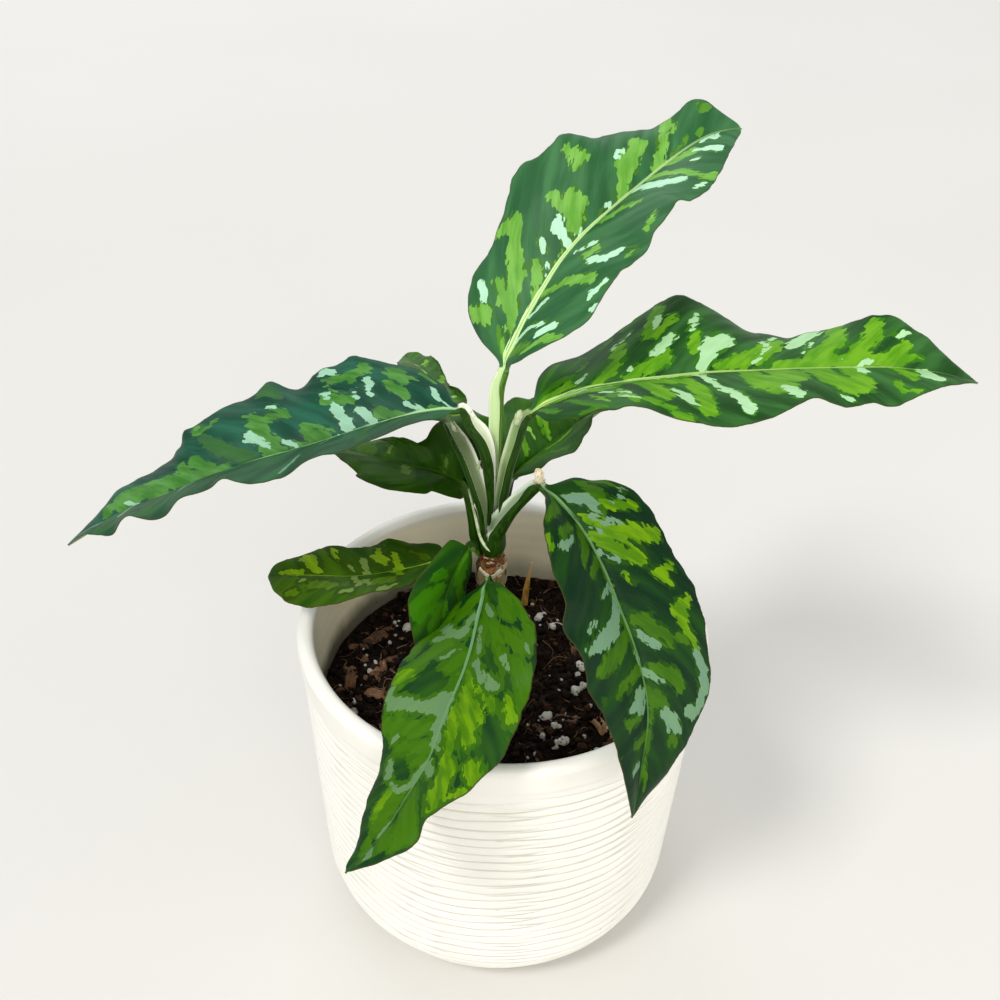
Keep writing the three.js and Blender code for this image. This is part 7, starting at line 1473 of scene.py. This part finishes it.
def make_fibres():
    g = Nodes("root_fibre")
    pos = g.coord(); t = g.attr("tone", "Fac")
    col = g.mix(t, rgb(70, 45, 30), rgb(176, 140, 104))
    col = g.mix(g.math("MULTIPLY", g.noise(pos, 900, 3, 0.6), 0.6), col, rgb(96, 66, 44))
    mat = g.set(Base_Color=col, Roughness=0.75, Normal=g.bump(g.noise(pos, 2500, 2, 0.5), 0.4, 0.0003))
    rng = RNG(19)
    heap = Heap()
    named = [((14.0, -20.0), 0.5, 14.0, 0.9), ((3.0, -8.0), 1.9, 11.0, 0.8), ((-36.0, 16.0), 0.4, 15.0, 0.9), ((-42.0, 8.0), 1.2, 10.0, 0.8), ((24.0, 20.0), 2.2, 9.0, 0.6)]
    for i, ((x, y), d, ln, tone) in enumerate(named + [(p, rng.uniform(0, 2 * math.pi), rng.uniform(4, 13), rng.uniform(0.1, 0.85)) for p in scatter_points(135, rng, 54)]):
        n = 16
        pts = []
        a = d
        for k in range(n):
            r = math.hypot(x, y)
            if r > 56.5:
                x, y = x * 56.5 / r, y * 56.5 / r
            lift = 0.35 + 0.9 * math.sin(math.pi * k / (n - 1)) * rng.uniform(0.2, 1.0)
            pts.append((x, y, float(soil_z(x, y)) + lift))
            a += rng.normal(0, 0.28)
            x += math.cos(a) * ln / n; y += math.sin(a) * ln / n
        pts = np.array(pts)
        pts[:, 2] = np.convolve(np.pad(pts[:, 2], 2, mode="edge"), np.ones(5) / 5, "valid")
        w = rng.uniform(0.10, 0.26)
        v, q, tr = tube(pts, w * (1 - 0.6 * np.linspace(0, 1, n)), 6)
        heap.add(v, q, tr, tone=tone)
    ob = heap.build("root_fibres", [mat])
    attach(ob, "root")


make_fibres()


def perlite_material():
    g = Nodes("perlite_grain")
    pos = g.coord(); d = g.attr("deep", "Fac")
    n = g.noise(pos, 420, 4, 0.6)
    col = g.mix(g.step(n, 0.35, 0.7), rgb(232, 230, 226), rgb(196, 190, 184))
    col = g.mix(g.step(d, 0.15, 0.9), col, rgb(128, 112, 102))
    col = g.mix(g.math("MULTIPLY", g.step(g.noise(pos, 260, 3, 0.6), 0.60, 0.72), 0.55), col, rgb(120, 96, 80))
    return g.set(Base_Color=col, Roughness=0.88, Normal=g.bump(g.math("ADD", n, g.noise(pos, 1500, 2, 0.6)), 0.6, 0.0004))


PERLITE = perlite_material()


def grain(level, sx, sy, sz, seed, rng, rot):
    """A puffed grain: rounded lobes with pits."""
    v, f = ICO[level]
    lobes = 0.0
    for k in range(5):
        d = unit(rng.normal(size=3))
        lobes = np.maximum(lobes, np.clip((v @ d - 0.35) / 0.65, 0, 1) ** 2 * rng.uniform(0.15, 0.42))
    pits = 0.0
    deep = np.zeros(len(v))
    for k in range(9):
        d = unit(rng.normal(size=3))
        c = np.clip((v @ d - math.cos(rng.uniform(0.22, 0.42))) / 0.08, 0, 1)
        pits = np.maximum(pits, c * rng.uniform(0.10, 0.26))
        deep = np.maximum(deep, c)
    r = 0.84 + lobes - pits + 0.07 * fbm(v * 3.2 + seed, seed % 89, 3)
    v = v * r[:, None] * np.array([sx, sy, sz])
    return v @ rot.T, f, deep


def sit(v, x, y, sink):
    """Lower a shell at x, y until its underside is sunk a little into the mix."""
    v = v + [x, y, 0]
    low = np.argsort(v[:, 2])[: max(4, len(v) // 8)]
    v[:, 2] += float(np.median(soil_z(v[low, 0], v[low, 1]) - v[low, 2])) - sink
    return v


def make_perlite():
    big = {1: (13.2, 33.1, 4.6, 3.6, 3.0, 20), 2: (18.8, 27.6, 4.0, 4.4, 2.8, 70), 3: (26.5, 7.5, 3.8, 3.2, 2.6, 130), 4: (24.5, -4.4, 3.4, 4.0, 2.6, 10),
           5: (15.1, -16.0, 4.4, 3.4, 2.8, 45), 6: (19.6, -26.4, 3.6, 3.0, 2.4, 95), 7: (-47.6, -15.2, 3.8, 3.4, 2.6, 60), 8: (-33.4, 26.7, 3.6, 4.2, 2.8, 150)}
    for k, (x, y, sx, sy, sz, a) in big.items():
        rng = RNG(200 + k)
        a = math.radians(a)
        rot = np.array([[math.cos(a), -math.sin(a), 0], [math.sin(a), math.cos(a), 0], [0, 0, 1]])
        v, f, deep = grain(4, sx / 2, sy / 2, sz / 2, 300 + k, rng, rot)
        v = sit(v, x, y, 0.25)
        ob = build("perlite_grain_%d" % k, v, tris=f, attrs={"deep": deep}, mats=[PERLITE])
        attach(ob, "root"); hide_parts("perlite_%d" % k)
    rng = RNG(77)
    heap = Heap()
    # small grains, thickest in loose clusters
    spots = [(p, rng.uniform(0.28, 0.75)) for p in scatter_points(95, rng, 56)]
    for cx, cy, n, spread in ((15.5, 30.5, 9, 4.0), (25.5, 2.0, 7, 3.5), (16.5, -18.0, 8, 3.6), (19.0, -27.0, 6, 4.0), (28.0, -34.0, 7, 6.0), (12.0, -38.0, 8, 7.0),
                              (-47.0, -14.0, 9, 4.0), (-34.0, 26.0, 6, 4.0), (-46.0, 8.0, 8, 5.0), (35.0, -20.0, 6, 6.0), (-20.0, 42.0, 5, 6.0), (30.0, 35.0, 6, 6.0), (-10.0, -45.0, 7, 6.0)):
        for _ in range(n):
            spots.append(((cx + rng.normal(0, spread), cy + rng.normal(0, spread)), rng.uniform(0.45, 1.35)))
    for i, ((x, y), s) in enumerate(spots):
        r = math.hypot(x, y)
        if r > 56.0:
            x, y = x * 56 / r, y * 56 / r
        v, f, deep = grain(3 if s > 0.7 else 2, s, s * rng.uniform(0.7, 1.1), s * rng.uniform(0.6, 0.9), 500 + i, rng, turn(rng))
        heap.add(sit(v, x, y, 0.25 * s), t=f, deep=deep)
    ob = heap.build("perlite_scatter", [PERLITE])
    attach(ob, "root")


make_perlite()


def bark_material():
    g = Nodes("bark_chip")
    pos = g.coord(); t = g.attr("tone", "Fac")
    n = g.noise(pos, 320, 4, 0.62)
    col = g.mix(g.step(n, 0.35, 0.68), rgb(66, 42, 28), rgb(124, 84, 56))
    col = g.mix(g.step(t, 0.4, 1.0), col, rgb(178, 136, 100))
    col = g.mix(g.math("MULTIPLY", g.step(g.noise(pos, 900, 3, 0.6), 0.55, 0.72), 0.5), col, rgb(200, 164, 130))
    return g.set(Base_Color=col, Roughness=0.82, Normal=g.bump(n, 0.8, 0.0007))


BARK = bark_material()


def chip(sx, sy, sz, seed, rng, level=14):
    """A torn flake: a bent plate with a layered, ragged outline."""
    nu, nv = level, max(7, level // 2)
    u = np.linspace(-1, 1, nu); v = np.linspace(-1, 1, nv)
    U, V = np.meshgrid(u, v, indexing="ij")
    rag = 1 + 0.22 * vnoise(xyz(U * 2.5, V * 2.5, seed), seed % 83)
    taper = 1 - 0.35 * np.abs(U) ** 2
    X = U * sx / 2 * rag
    Y = V * sy / 2 * taper * rag + 0.12 * sy * np.sin(U * 2.0 + seed)
    bend = 0.55 * sz * (1 - U ** 2) + 0.25 * sz * vnoise(xyz(U * 3, V * 3, seed + 4), seed % 71)
    rim = np.clip(1 - np.maximum(np.abs(U), np.abs(V)) ** 6, 0.12, 1)
    layer = 0.12 * sz * np.sign(np.sin(V * 7 + seed)) * rim
    top = np.stack([X, Y, bend + 0.5 * sz * rim + layer], -1)
    bot = np.stack([X * 0.96, Y * 0.96, bend - 0.5 * sz * rim], -1)
    vv = np.concatenate([top.reshape(-1, 3), bot.reshape(-1, 3)])
    n = nu * nv
    q = grid_quads(nu, nv, wrap=False)
    loop = [i * nv for i in range(nu)] + [(nu - 1) * nv + j for j in range(1, nv)] + [i * nv + nv - 1 for i in range(nu - 2, -1, -1)] + [j for j in range(nv - 2, 0, -1)]
    loop = np.array(loop); nxt = np.roll(loop, -1)
    wall = np.stack([loop, nxt, nxt + n, loop + n], -1)
    qq = np.concatenate([q, q[:, ::-1] + n, wall])
    # make the two skins and the wall agree, then point outwards
    a = vv[q[0]]
    up = np.cross(a[1] - a[0], a[2] - a[0])[2] > 0
    if not up:
        qq = np.concatenate([q[:, ::-1], q + n, wall])
    w0 = vv[wall[0]]
    nrm = np.cross(w0[1] - w0[0], w0[2] - w0[0])
    if np.dot(nrm, w0.mean(0) - vv.mean(0)) < 0:
        qq[2 * len(q):] = qq[2 * len(q):, ::-1]
    return vv, qq


def make_bark():
    big = {1: (-43.6, 20.5, 9.5, 4.4, 1.9, 35), 2: (-50.0, 1.6, 8.0, 4.0, 1.8, 100), 3: (-41.0, -6.0, 7.2, 3.6, 1.7, 160), 4: (35.5, 17.0, 8.6, 4.2, 1.8, 60), 5: (31.5, -17.5, 7.4, 3.8, 1.7, 120)}
    for k, (x, y, sx, sy, sz, a) in big.items():
        rng = RNG(400 + k)
        v, q = chip(sx, sy, sz, 11 * k, rng, 26)
        a = math.radians(a)
        rot = np.array([[math.cos(a), -math.sin(a), 0], [math.sin(a), math.cos(a), 0], [0, 0, 1]])
        v = sit(v @ rot.T, x, y, 0.2)
        ob = build("bark_flake_%d" % k, v, q, attrs={"tone": np.full(len(v), 0.35 + 0.1 * k)}, mats=[BARK])
        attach(ob, "root"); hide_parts("bark_chip_%d" % k)
    rng = RNG(91)
    heap = Heap()
    spots = scatter_points(60, rng, 54) + [(-45 + rng.normal(0, 5), 8 + rng.normal(0, 11)) for _ in range(34)]
    for i, (x, y) in enumerate(spots):
        r = math.hypot(x, y)
        if r > 53.5:
            x, y = x * 53.5 / r, y * 53.5 / r
        s = rng.uniform(1.8, 5.2)
        v, q = chip(s, s * rng.uniform(0.3, 0.6), s * rng.uniform(0.14, 0.26), 30 + i, rng, 12)
        a, b = rng.uniform(0, 2 * math.pi), rng.normal(0, 0.45)
        ra = np.array([[math.cos(a), -math.sin(a), 0], [math.sin(a), math.cos(a), 0], [0, 0, 1]])
        rb = np.array([[1, 0, 0], [0, math.cos(b), -math.sin(b)], [0, math.sin(b), math.cos(b)]])
        heap.add(sit(v @ (ra @ rb).T, x, y, 0.25), q, tone=float(np.clip(rng.normal(0.45, 0.28), 0, 1)))
    ob = heap.build("bark_scatter", [BARK])
    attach(ob, "root")


make_bark()

# ------------------------------------------------------------------ stem
def make_stem():
    seg, rows = 120, 330
    th = np.linspace(0, 2 * math.pi, seg, endpoint=False)
    z = np.linspace(70.0, 142.2, rows)
    TH, Z = np.meshgrid(th, z)
    r = 4.15 + 0 * Z
    for zn, h, w in ((92.5, 0.42, 1.3), (103.0, 0.5, 1.3), (113.2, 0.45, 1.2), (123.4, 0.5, 1.2), (133.0, 0.55, 1.3)):
        ring = zn + 0.7 * np.sin(TH + zn) + 0.35 * np.sin(3 * TH + zn)
        r = r + h * np.exp(-((Z - ring) / w) ** 2) - 0.30 * np.exp(-((Z - ring + 2.1) / 0.8) ** 2)
    p = xyz(np.cos(TH) * 3, np.sin(TH) * 3, Z * 0.18)
    r = r + 0.28 * fbm(p, 61, 4) + 0.10 * np.sin(TH * 17 + 2 * vnoise(p * 0.7, 63))
    r = r * (1 - 0.16 * smooth(133.5, 139.5, Z) - 0.22 * smooth(140.0, 142.2, Z))
    # knobbly old scar on the front and the right
    for a, zc, h, w in ((-1.55, 134.2, 1.0, 1.9), (-1.15, 131.6, 0.8, 1.5), (-1.9, 131.0, 0.6, 1.4), (-1.45, 137.3, 0.7, 1.5), (-0.9, 135.0, 0.5, 1.6)):
        d = (TH - a + math.pi) % (2 * math.pi) - math.pi
        r = r + h * np.exp(-(d * 4.2 / w) ** 2 - ((Z - zc) / w) ** 2) * (1 + 0.5 * fbm(p * 2.4, 67, 3))
    v = np.stack([STEM[0] + r * np.cos(TH), STEM[1] + r * np.sin(TH), Z], -1).reshape(-1, 3)
    n = len(v)
    v = np.concatenate([v, [[STEM[0], STEM[1], 70.0]], [[STEM[0], STEM[1], 142.6]]])
    q = grid_quads(rows, seg); tr = fans(rows, seg, n, n + 1)
    if not outward(v, q, tr):
        q, tr = q[:, ::-1], tr[:, ::-1]
    g = Nodes("stem_bark")
    pos = g.coord()
    x, y, zz = g.sep(pos)
    n1 = g.noise(g.vmath("MULTIPLY", pos, (1, 1, 0.45)), 520, 5, 0.62)
    n2 = g.noise(g.vmath("MULTIPLY", pos, (1, 1, 0.25)), 1500, 3, 0.6)
    n3 = g.noise(pos, 240, 4, 0.6)
    tan = g.mix(g.step(n1, 0.35, 0.7), rgb(172, 150, 108), rgb(206, 192, 150))
    brown = g.mix(g.step(n1, 0.35, 0.68), rgb(46, 34, 16), rgb(92, 70, 36))
    red = g.mix(g.step(n3, 0.38, 0.62), rgb(112, 66, 24), rgb(172, 116, 66))
    # painted shade: the left side of the stem is painted dark brown by its x position, standing in for the shadow on
    # that side; reddish brown over the middle and tan on the right
    across = g.math("ADD", x, g.math("MULTIPLY", g.math("SUBTRACT", n3, 0.5), 0.004))
    col = g.mix(g.step(across, -0.0085, -0.0055), brown, red)
    col = g.mix(g.step(across, -0.0042, -0.0014), col, tan)
    green = g.mix(g.step(n1, 0.3, 0.7), rgb(92, 100, 40), rgb(138, 138, 74))
    col = g.mix(g.math("MULTIPLY", g.step(n3, 0.45, 0.62), g.step(zz, 0.124, 0.112)), col, green)
    flake = g.step(g.voronoi(g.vmath("MULTIPLY", pos, (1, 1, 0.7)), 700), 0.30, 0.20)
    col = g.mix(g.math("MULTIPLY", flake, g.step(n3, 0.56, 0.62)), col, rgb(222, 204, 166))
    col = g.mix(g.step(n2, 0.42, 0.28), col, rgb(34, 20, 10))
    h = g.math("ADD", n1, g.math("MULTIPLY", n2, 0.6))
    mat = g.set(Base_Color=col, Roughness=0.78, Normal=g.bump(h, 0.75, 0.0008), Specular_IOR_Level=0.35)
    ob = build("stem_trunk", v, q, tr, None, [mat])
    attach(ob, "root"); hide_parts("stem")
    # torn flakes of old sheath on the scar
    rng = RNG(5)
    heap = Heap()
    for i in range(64):
        a = -1.45 + rng.normal(0, 0.50); zc = 136.6 + rng.normal(0, 2.4)
        s = rng.uniform(0.8, 2.5)
        vv, qq = chip(s, s * rng.uniform(0.35, 0.7), 0.20, 60 + i, rng, 12)
        # stand the flake on the stem surface, leaning out
        tilt = rng.uniform(-0.9, 0.6); spin = rng.uniform(0, 2 * math.pi)
        c, sn = math.cos(spin), math.sin(spin)
        vv = vv @ np.array([[c, -sn, 0], [sn, c, 0], [0, 0, 1]]).T
        out = np.array([math.cos(a), math.sin(a), 0]); tan_ = np.array([-math.sin(a), math.cos(a), 0]); upv = np.array([0, 0, 1.0])
        nrm = unit(out * math.cos(tilt) + upv * math.sin(tilt)); up2 = unit(np.cross(nrm, tan_))
        vv = vv[:, :1] * tan_ + vv[:, 1:2] * up2 + vv[:, 2:3] * nrm
        rr = 4.45 - 0.055 * max(0.0, zc - 133.5) + 0.55 * math.exp(-((a + 1.45) / 0.5) ** 2)
        vv = vv + np.array([STEM[0], STEM[1], zc]) + out * rr
        heap.add(vv, qq, tone=rng.uniform(0, 1))
    g = Nodes("scar_flake")
    pos = g.coord(); t = g.attr("tone", "Fac")
    col = g.mix(g.step(t, 0.25, 0.6), rgb(96, 52, 16), rgb(176, 116, 64))
    col = g.mix(g.step(t, 0.80, 0.98), col, rgb(222, 200, 164))
    col = g.mix(g.math("MULTIPLY", g.noise(pos, 1400, 3, 0.6), 0.55), col, rgb(96, 52, 22))
    fm = g.set(Base_Color=col, Roughness=0.8, Normal=g.bump(g.noise(pos, 1600, 3, 0.6), 0.6, 0.0005))
    ob = heap.build("scar_flakes", [fm])
    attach(ob, "root")


make_stem()


def sheath_material(name, pale=(214, 214, 176), shade=(150, 150, 96), tip=(176, 140, 96)):
    g = Nodes(name)
    pos = g.coord(); t = g.attr("tone", "Fac")
    n = g.noise(g.vmath("MULTIPLY", pos, (1, 1, 0.3)), 900, 4, 0.6)
    col = g.mix(g.step(n, 0.35, 0.68), rgb(*pale), rgb(*shade))
    col = g.mix(g.step(t, 0.62, 1.0), col, rgb(*tip))
    return g.set(Base_Color=col, Roughness=0.62, Normal=g.bump(n, 0.5, 0.0005))


SHEATH = sheath_material("papery_sheath", (232, 230, 208), (200, 196, 160), (132, 112, 74))


def ribbon(rows, cols, fn, thick, name=None):
    """A thin closed sheet: fn(s, t) gives points, s along 0..1, t across -1..1."""
    s = np.linspace(0, 1, rows); t = np.linspace(-1, 1, cols)
    S, T = np.meshgrid(s, t, indexing="ij")
    P = fn(S, T)
    N = unit(np.cross(np.gradient(P, axis=0), np.gradient(P, axis=1)))
    th = thick * (1 - 0.6 * np.abs(T) ** 4)[..., None] / 2
    ring = np.concatenate([P + N * th, (P - N * th)[:, ::-1]], axis=1)
    c2 = 2 * cols
    v = ring.reshape(-1, 3)
    n = len(v)
    v = np.concatenate([v, ring[0].mean(0, keepdims=True), ring[-1].mean(0, keepdims=True)])
    q = grid_quads(rows, c2); tr = fans(rows, c2, n, n + 1)
    if not outward(v, q, tr):
        q, tr = q[:, ::-1], tr[:, ::-1]
    tone = np.r_[np.repeat(S, 2, axis=1).reshape(-1), 0, 1]
    return v, q, tr, tone


def make_collar():
    heap = Heap()

    def fn(S, T):
        # S goes round the stem from the left over the front to the right, T goes up
        a = np.radians(-262 + 344 * S)
        front = np.exp(-((a + math.pi / 2) / 0.42) ** 2)
        rag = 0.9 * vnoise(xyz(a * 4.2, 0 * a, 2), 15) + 0.5 * vnoise(xyz(a * 11, 0 * a, 5), 17)
        up = (T + 1) / 2
        near = np.exp(-((a + math.pi / 2) / 0.92) ** 6)
        z = 126.6 + (2.6 + 6.6 * near + 0.7 * rag) * up - 2.6 * front * up
        r = 4.50 + 0.30 * up ** 2 + (0.9 * up ** 2 + 0.35 * up) * near + 0.18 * vnoise(xyz(a * 6, up * 2, 1), 19)
        return np.stack([STEM[0] + r * np.cos(a), STEM[1] + r * np.sin(a), z], -1)
    v, q, tr, tone = ribbon(170, 22, fn, 0.42)
    ring_a = np.arctan2(v[:, 1] - STEM[1], v[:, 0] - STEM[0]) + math.pi / 2
    top_edge = np.exp(-(ring_a / 1.0) ** 4) * smooth(2.4, 0.6, 135.8 - 2.6 * np.exp(-(ring_a / 0.42) ** 2) - v[:, 2])
    heap.add(v, q, tr, tone=0.95 - 0.90 * top_edge)
    ob = heap.build("leaf_scar_ring", [SHEATH])
    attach(ob, "root"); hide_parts("leaf_scar_collar")


make_collar()


def make_spike():
    a, b = np.array([7.5, 39.5, 81.2]), np.array([9.4, 38.6, 103.5])

    def fn(S, T):
        w = 1.15 * (1 - S) ** 0.55 * (0.75 + 0.35 * np.sin(2.4 * S + 0.6)) + 0.12
        c = a + (b - a) * S[..., None]
        bend = 0.7 * np.sin(S * math.pi)[..., None] * np.array([-0.5, -0.3, 0])
        sidev = np.array([0.98, 0.18, 0.05])
        cup = 0.35 * w * T ** 2
        return c + bend + sidev * (w * T)[..., None] + np.array([-0.1, -0.98, 0]) * cup[..., None] + 0.05 * np.sin(T * 14)[..., None] * np.array([0, -1.0, 0])
    v, q, tr, tone = ribbon(70, 26, fn, 0.5)
    m = sheath_material("dry_straw", (206, 164, 84), (160, 112, 44), (214, 190, 132))
    ob = build("dry_spike_blade", v, q, tr, {"tone": tone}, [m])
    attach(ob, "root"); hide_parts("dry_spike")


make_spike()

# small papery tips where the stalk sheaths end
def make_tips():
    heap = Heap()
    spots = [
        # base point, direction of the tip, sideways direction, length, half width, roundness, rag, cream
        ((1.75, -2.5, 186.0), (0.16, 0.10, 1.0), (0.98, -0.10, -0.10), 4.4, 1.05, 4.0, 0.15, 0.1),
        ((-10.6, -3.6, 188.6), (-0.62, 0.02, 0.78), (0.78, -0.25, 0.56), 5.0, 1.05, -0.8, 0.12, 2.0),
        ((8.9, -8.6, 170.4), (-0.10, 0.10, 1.0), (0.99, 0.10, 0.05), 4.1, 1.45, 6.0, 0.50, 1.0),
        ((-15.6, 0.9, 180.4), (-0.36, 0.05, 0.92), (0.90, -0.20, 0.40), 3.6, 0.95, -0.8, 0.20, 0.1),
        ((-9.2, -3.5, 170.4), (0.24, 0.12, 1.0), (0.9, -0.40, -0.10), 3.4, 0.60, -0.7, 0.25, 0.0),
    ]
    for i, (p, d, sd, ln, hw, full, rag, cream) in enumerate(spots):
        p, d, sd = np.array(p), unit(np.array(d, float)), unit(np.array(sd, float))
        nn = unit(np.cross(d, sd))

        def fn(S, T, p=p, d=d, sd=sd, nn=nn, ln=ln, hw=hw, full=full, rag=rag, i=i):
            w = hw * (np.sqrt(np.maximum(1 - S ** full, 0)) if full > 0 else np.maximum(1 - S, 0) ** -full) + 0.05
            w = w * (1 + rag * vnoise(xyz(S * 6, T * 1.5, i), 31 + i))
            up = ln * S * (1 + rag * 0.35 * vnoise(xyz(T * 3.0, i, 0), 37 + i))
            return p + d * up[..., None] + sd * (w * T)[..., None] + nn * (0.38 * w * T ** 2 + 0.4 * S * S)[..., None] - np.array([0.0, -0.8, 0.6]) * (1.5 * np.maximum(0.45 - S, 0))[..., None]
        v, q, tr, tone = ribbon(34, 18, fn, 0.24)
        heap.add(v, q, tr, tone=tone, cream=np.full(len(v), cream))
    # the pale margin of the outermost sheath, clasping the stem under the stalks
    line = np.array([(-11.7, 3.0, 159.5), (-10.1, 0.7, 153.5), (-8.8, -2.4, 149.5), (-7.5, -7.0, 148.4), (-5.9, -8.8, 146.9), (-4.2, -9.0, 145.4)])
    dist = np.r_[0, np.cumsum(np.linalg.norm(np.diff(line, axis=0), axis=1))]
    path = spline(dist, line)

    def hem(S, T):
        c = path(S * dist[-1])
        out = np.stack([c[..., 0] - STEM[0], c[..., 1] - STEM[1] - 1.0, 0 * S], -1)
        out = unit(out)
        t = unit(np.gradient(c, axis=0))
        across = unit(np.cross(t, out))
        w = 0.62 * np.sin(np.clip(S * 1.04, 0, 1) * math.pi) ** 0.35 * (1 + 0.15 * vnoise(xyz(S * 14, 0, 3), 43)) + 0.05
        return c + across * (w * T)[..., None] - out * (0.55 * w * T ** 2)[..., None]
    v, q, tr, tone = ribbon(90, 12, hem, 0.55)
    heap.add(v, q, tr, tone=tone * 0.1 + 0.2, cream=np.zeros(len(v)))
    g = Nodes("sheath_tip")
    pos = g.coord(); t = g.attr("tone", "Fac"); cr = g.attr("cream", "Fac")
    n = g.noise(g.vmath("MULTIPLY", pos, (1, 1, 0.3)), 900, 4, 0.6)
    col = g.mix(cr, g.mix(g.step(n, 0.35, 0.68), rgb(196, 210, 172), rgb(150, 170, 118)), g.mix(g.step(n, 0.35, 0.68), rgb(232, 224, 198), rgb(208, 194, 160)))
    col = g.mix(g.step(cr, 1.2, 1.8), col, g.mix(g.step(n, 0.35, 0.68), rgb(250, 252, 244), rgb(226, 234, 208)))
    col = g.mix(g.math("MULTIPLY", g.step(t, 0.78, 1.0), 0.45), col, rgb(186, 160, 116))
    speck = g.step(g.noise(pos, 1300, 2, 0.5), 0.60, 0.68)
    col = g.mix(g.math("MULTIPLY", g.math("MULTIPLY", speck, cr), 0.75), col, rgb(150, 100, 64))
    m = g.set(Base_Color=col, Roughness=0.62, Normal=g.bump(n, 0.5, 0.0005))
    ob = heap.build("sheath_tips", [m])
    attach(ob, "root")


make_tips()

# ------------------------------------------------------------------ stage and light
def stage():
    s = 6.0
    me = bpy.data.meshes.new("floor")
    me.from_pydata([(-s, -s, 0), (s, -s, 0), (s, s, 0), (-s, s, 0)], [], [(0, 1, 2, 3)])
    fl = bpy.data.objects.new("floor", me)
    bpy.context.scene.collection.objects.link(fl)
    g = Nodes("floor_paint")
    n = g.noise(g.coord(), 3.0, 2, 0.5)
    g.set(Base_Color=g.mix(n, rgb(212, 210, 206), rgb(219, 217, 213)), Roughness=0.8, Specular_IOR_Level=0.2)
    me.materials.append(g.mat)

    def lamp(name, loc, target, size, power, color=(1, 1, 1), size_y=None):
        li = bpy.data.lights.new(name, "AREA")
        li.shape = "RECTANGLE" if size_y else "SQUARE"
        li.size = size
        if size_y:
            li.size_y = size_y
        li.energy = power
        li.color = color
        ob = bpy.data.objects.new(name, li)
        bpy.context.scene.collection.objects.link(ob)
        from mathutils import Vector
        ob.location = loc
        ob.rotation_euler = (Vector(target) - Vector(loc)).to_track_quat("-Z", "Y").to_euler()

    sun = bpy.data.lights.new("key", "SUN")
    sun.energy = 1.56
    sun.angle = math.radians(16)
    sun.color = (1.0, 0.985, 0.955)
    key = bpy.data.objects.new("key", sun)
    bpy.context.scene.collection.objects.link(key)
    from mathutils import Vector
    key.rotation_euler = Vector((0.52, 0.50, -0.95)).to_track_quat("-Z", "Y").to_euler()
    lamp("window", (-0.7, 2.0, 1.6), (0, 0, 0.16), 2.0, 14.0, (0.93, 0.97, 1.0), 1.2)
    lamp("fill_front", (0.25, -1.5, 1.0), (0, 0.02, 0.09), 1.2, 12.0, (1.0, 0.96, 0.88))
    lamp("fill_right", (1.5, -0.8, 0.7), (0, 0, 0.08), 1.2, 6.4, (1.0, 0.96, 0.87))
    w = bpy.data.worlds.new("studio")
    w.use_nodes = True
    nt = w.node_tree
    bg = nt.nodes["Background"]
    tc = nt.nodes.new("ShaderNodeTexCoord")
    sp = nt.nodes.new("ShaderNodeSeparateXYZ")
    nt.links.new(tc.outputs["Generated"], sp.inputs[0])
    m1 = nt.nodes.new("ShaderNodeMath"); m1.operation = "MULTIPLY_ADD"
    nt.links.new(sp.outputs["Y"], m1.inputs[0]); m1.inputs[1].default_value = 0.16; m1.inputs[2].default_value = 0.45
    m2 = nt.nodes.new("ShaderNodeMath"); m2.operation = "MULTIPLY_ADD"
    nt.links.new(sp.outputs["Z"], m2.inputs[0]); m2.inputs[1].default_value = 0.24
    nt.links.new(m1.outputs[0], m2.inputs[2])
    nt.links.new(m2.outputs[0], bg.inputs[1])
    bg.inputs[0].default_value = (0.96, 0.98, 1.0, 1.0)
    sc = bpy.context.scene
    sc.world = w
    sc.view_settings.view_transform = "Standard"
    sc.view_settings.look = "None"
    sc.view_settings.exposure = 0.0


stage()
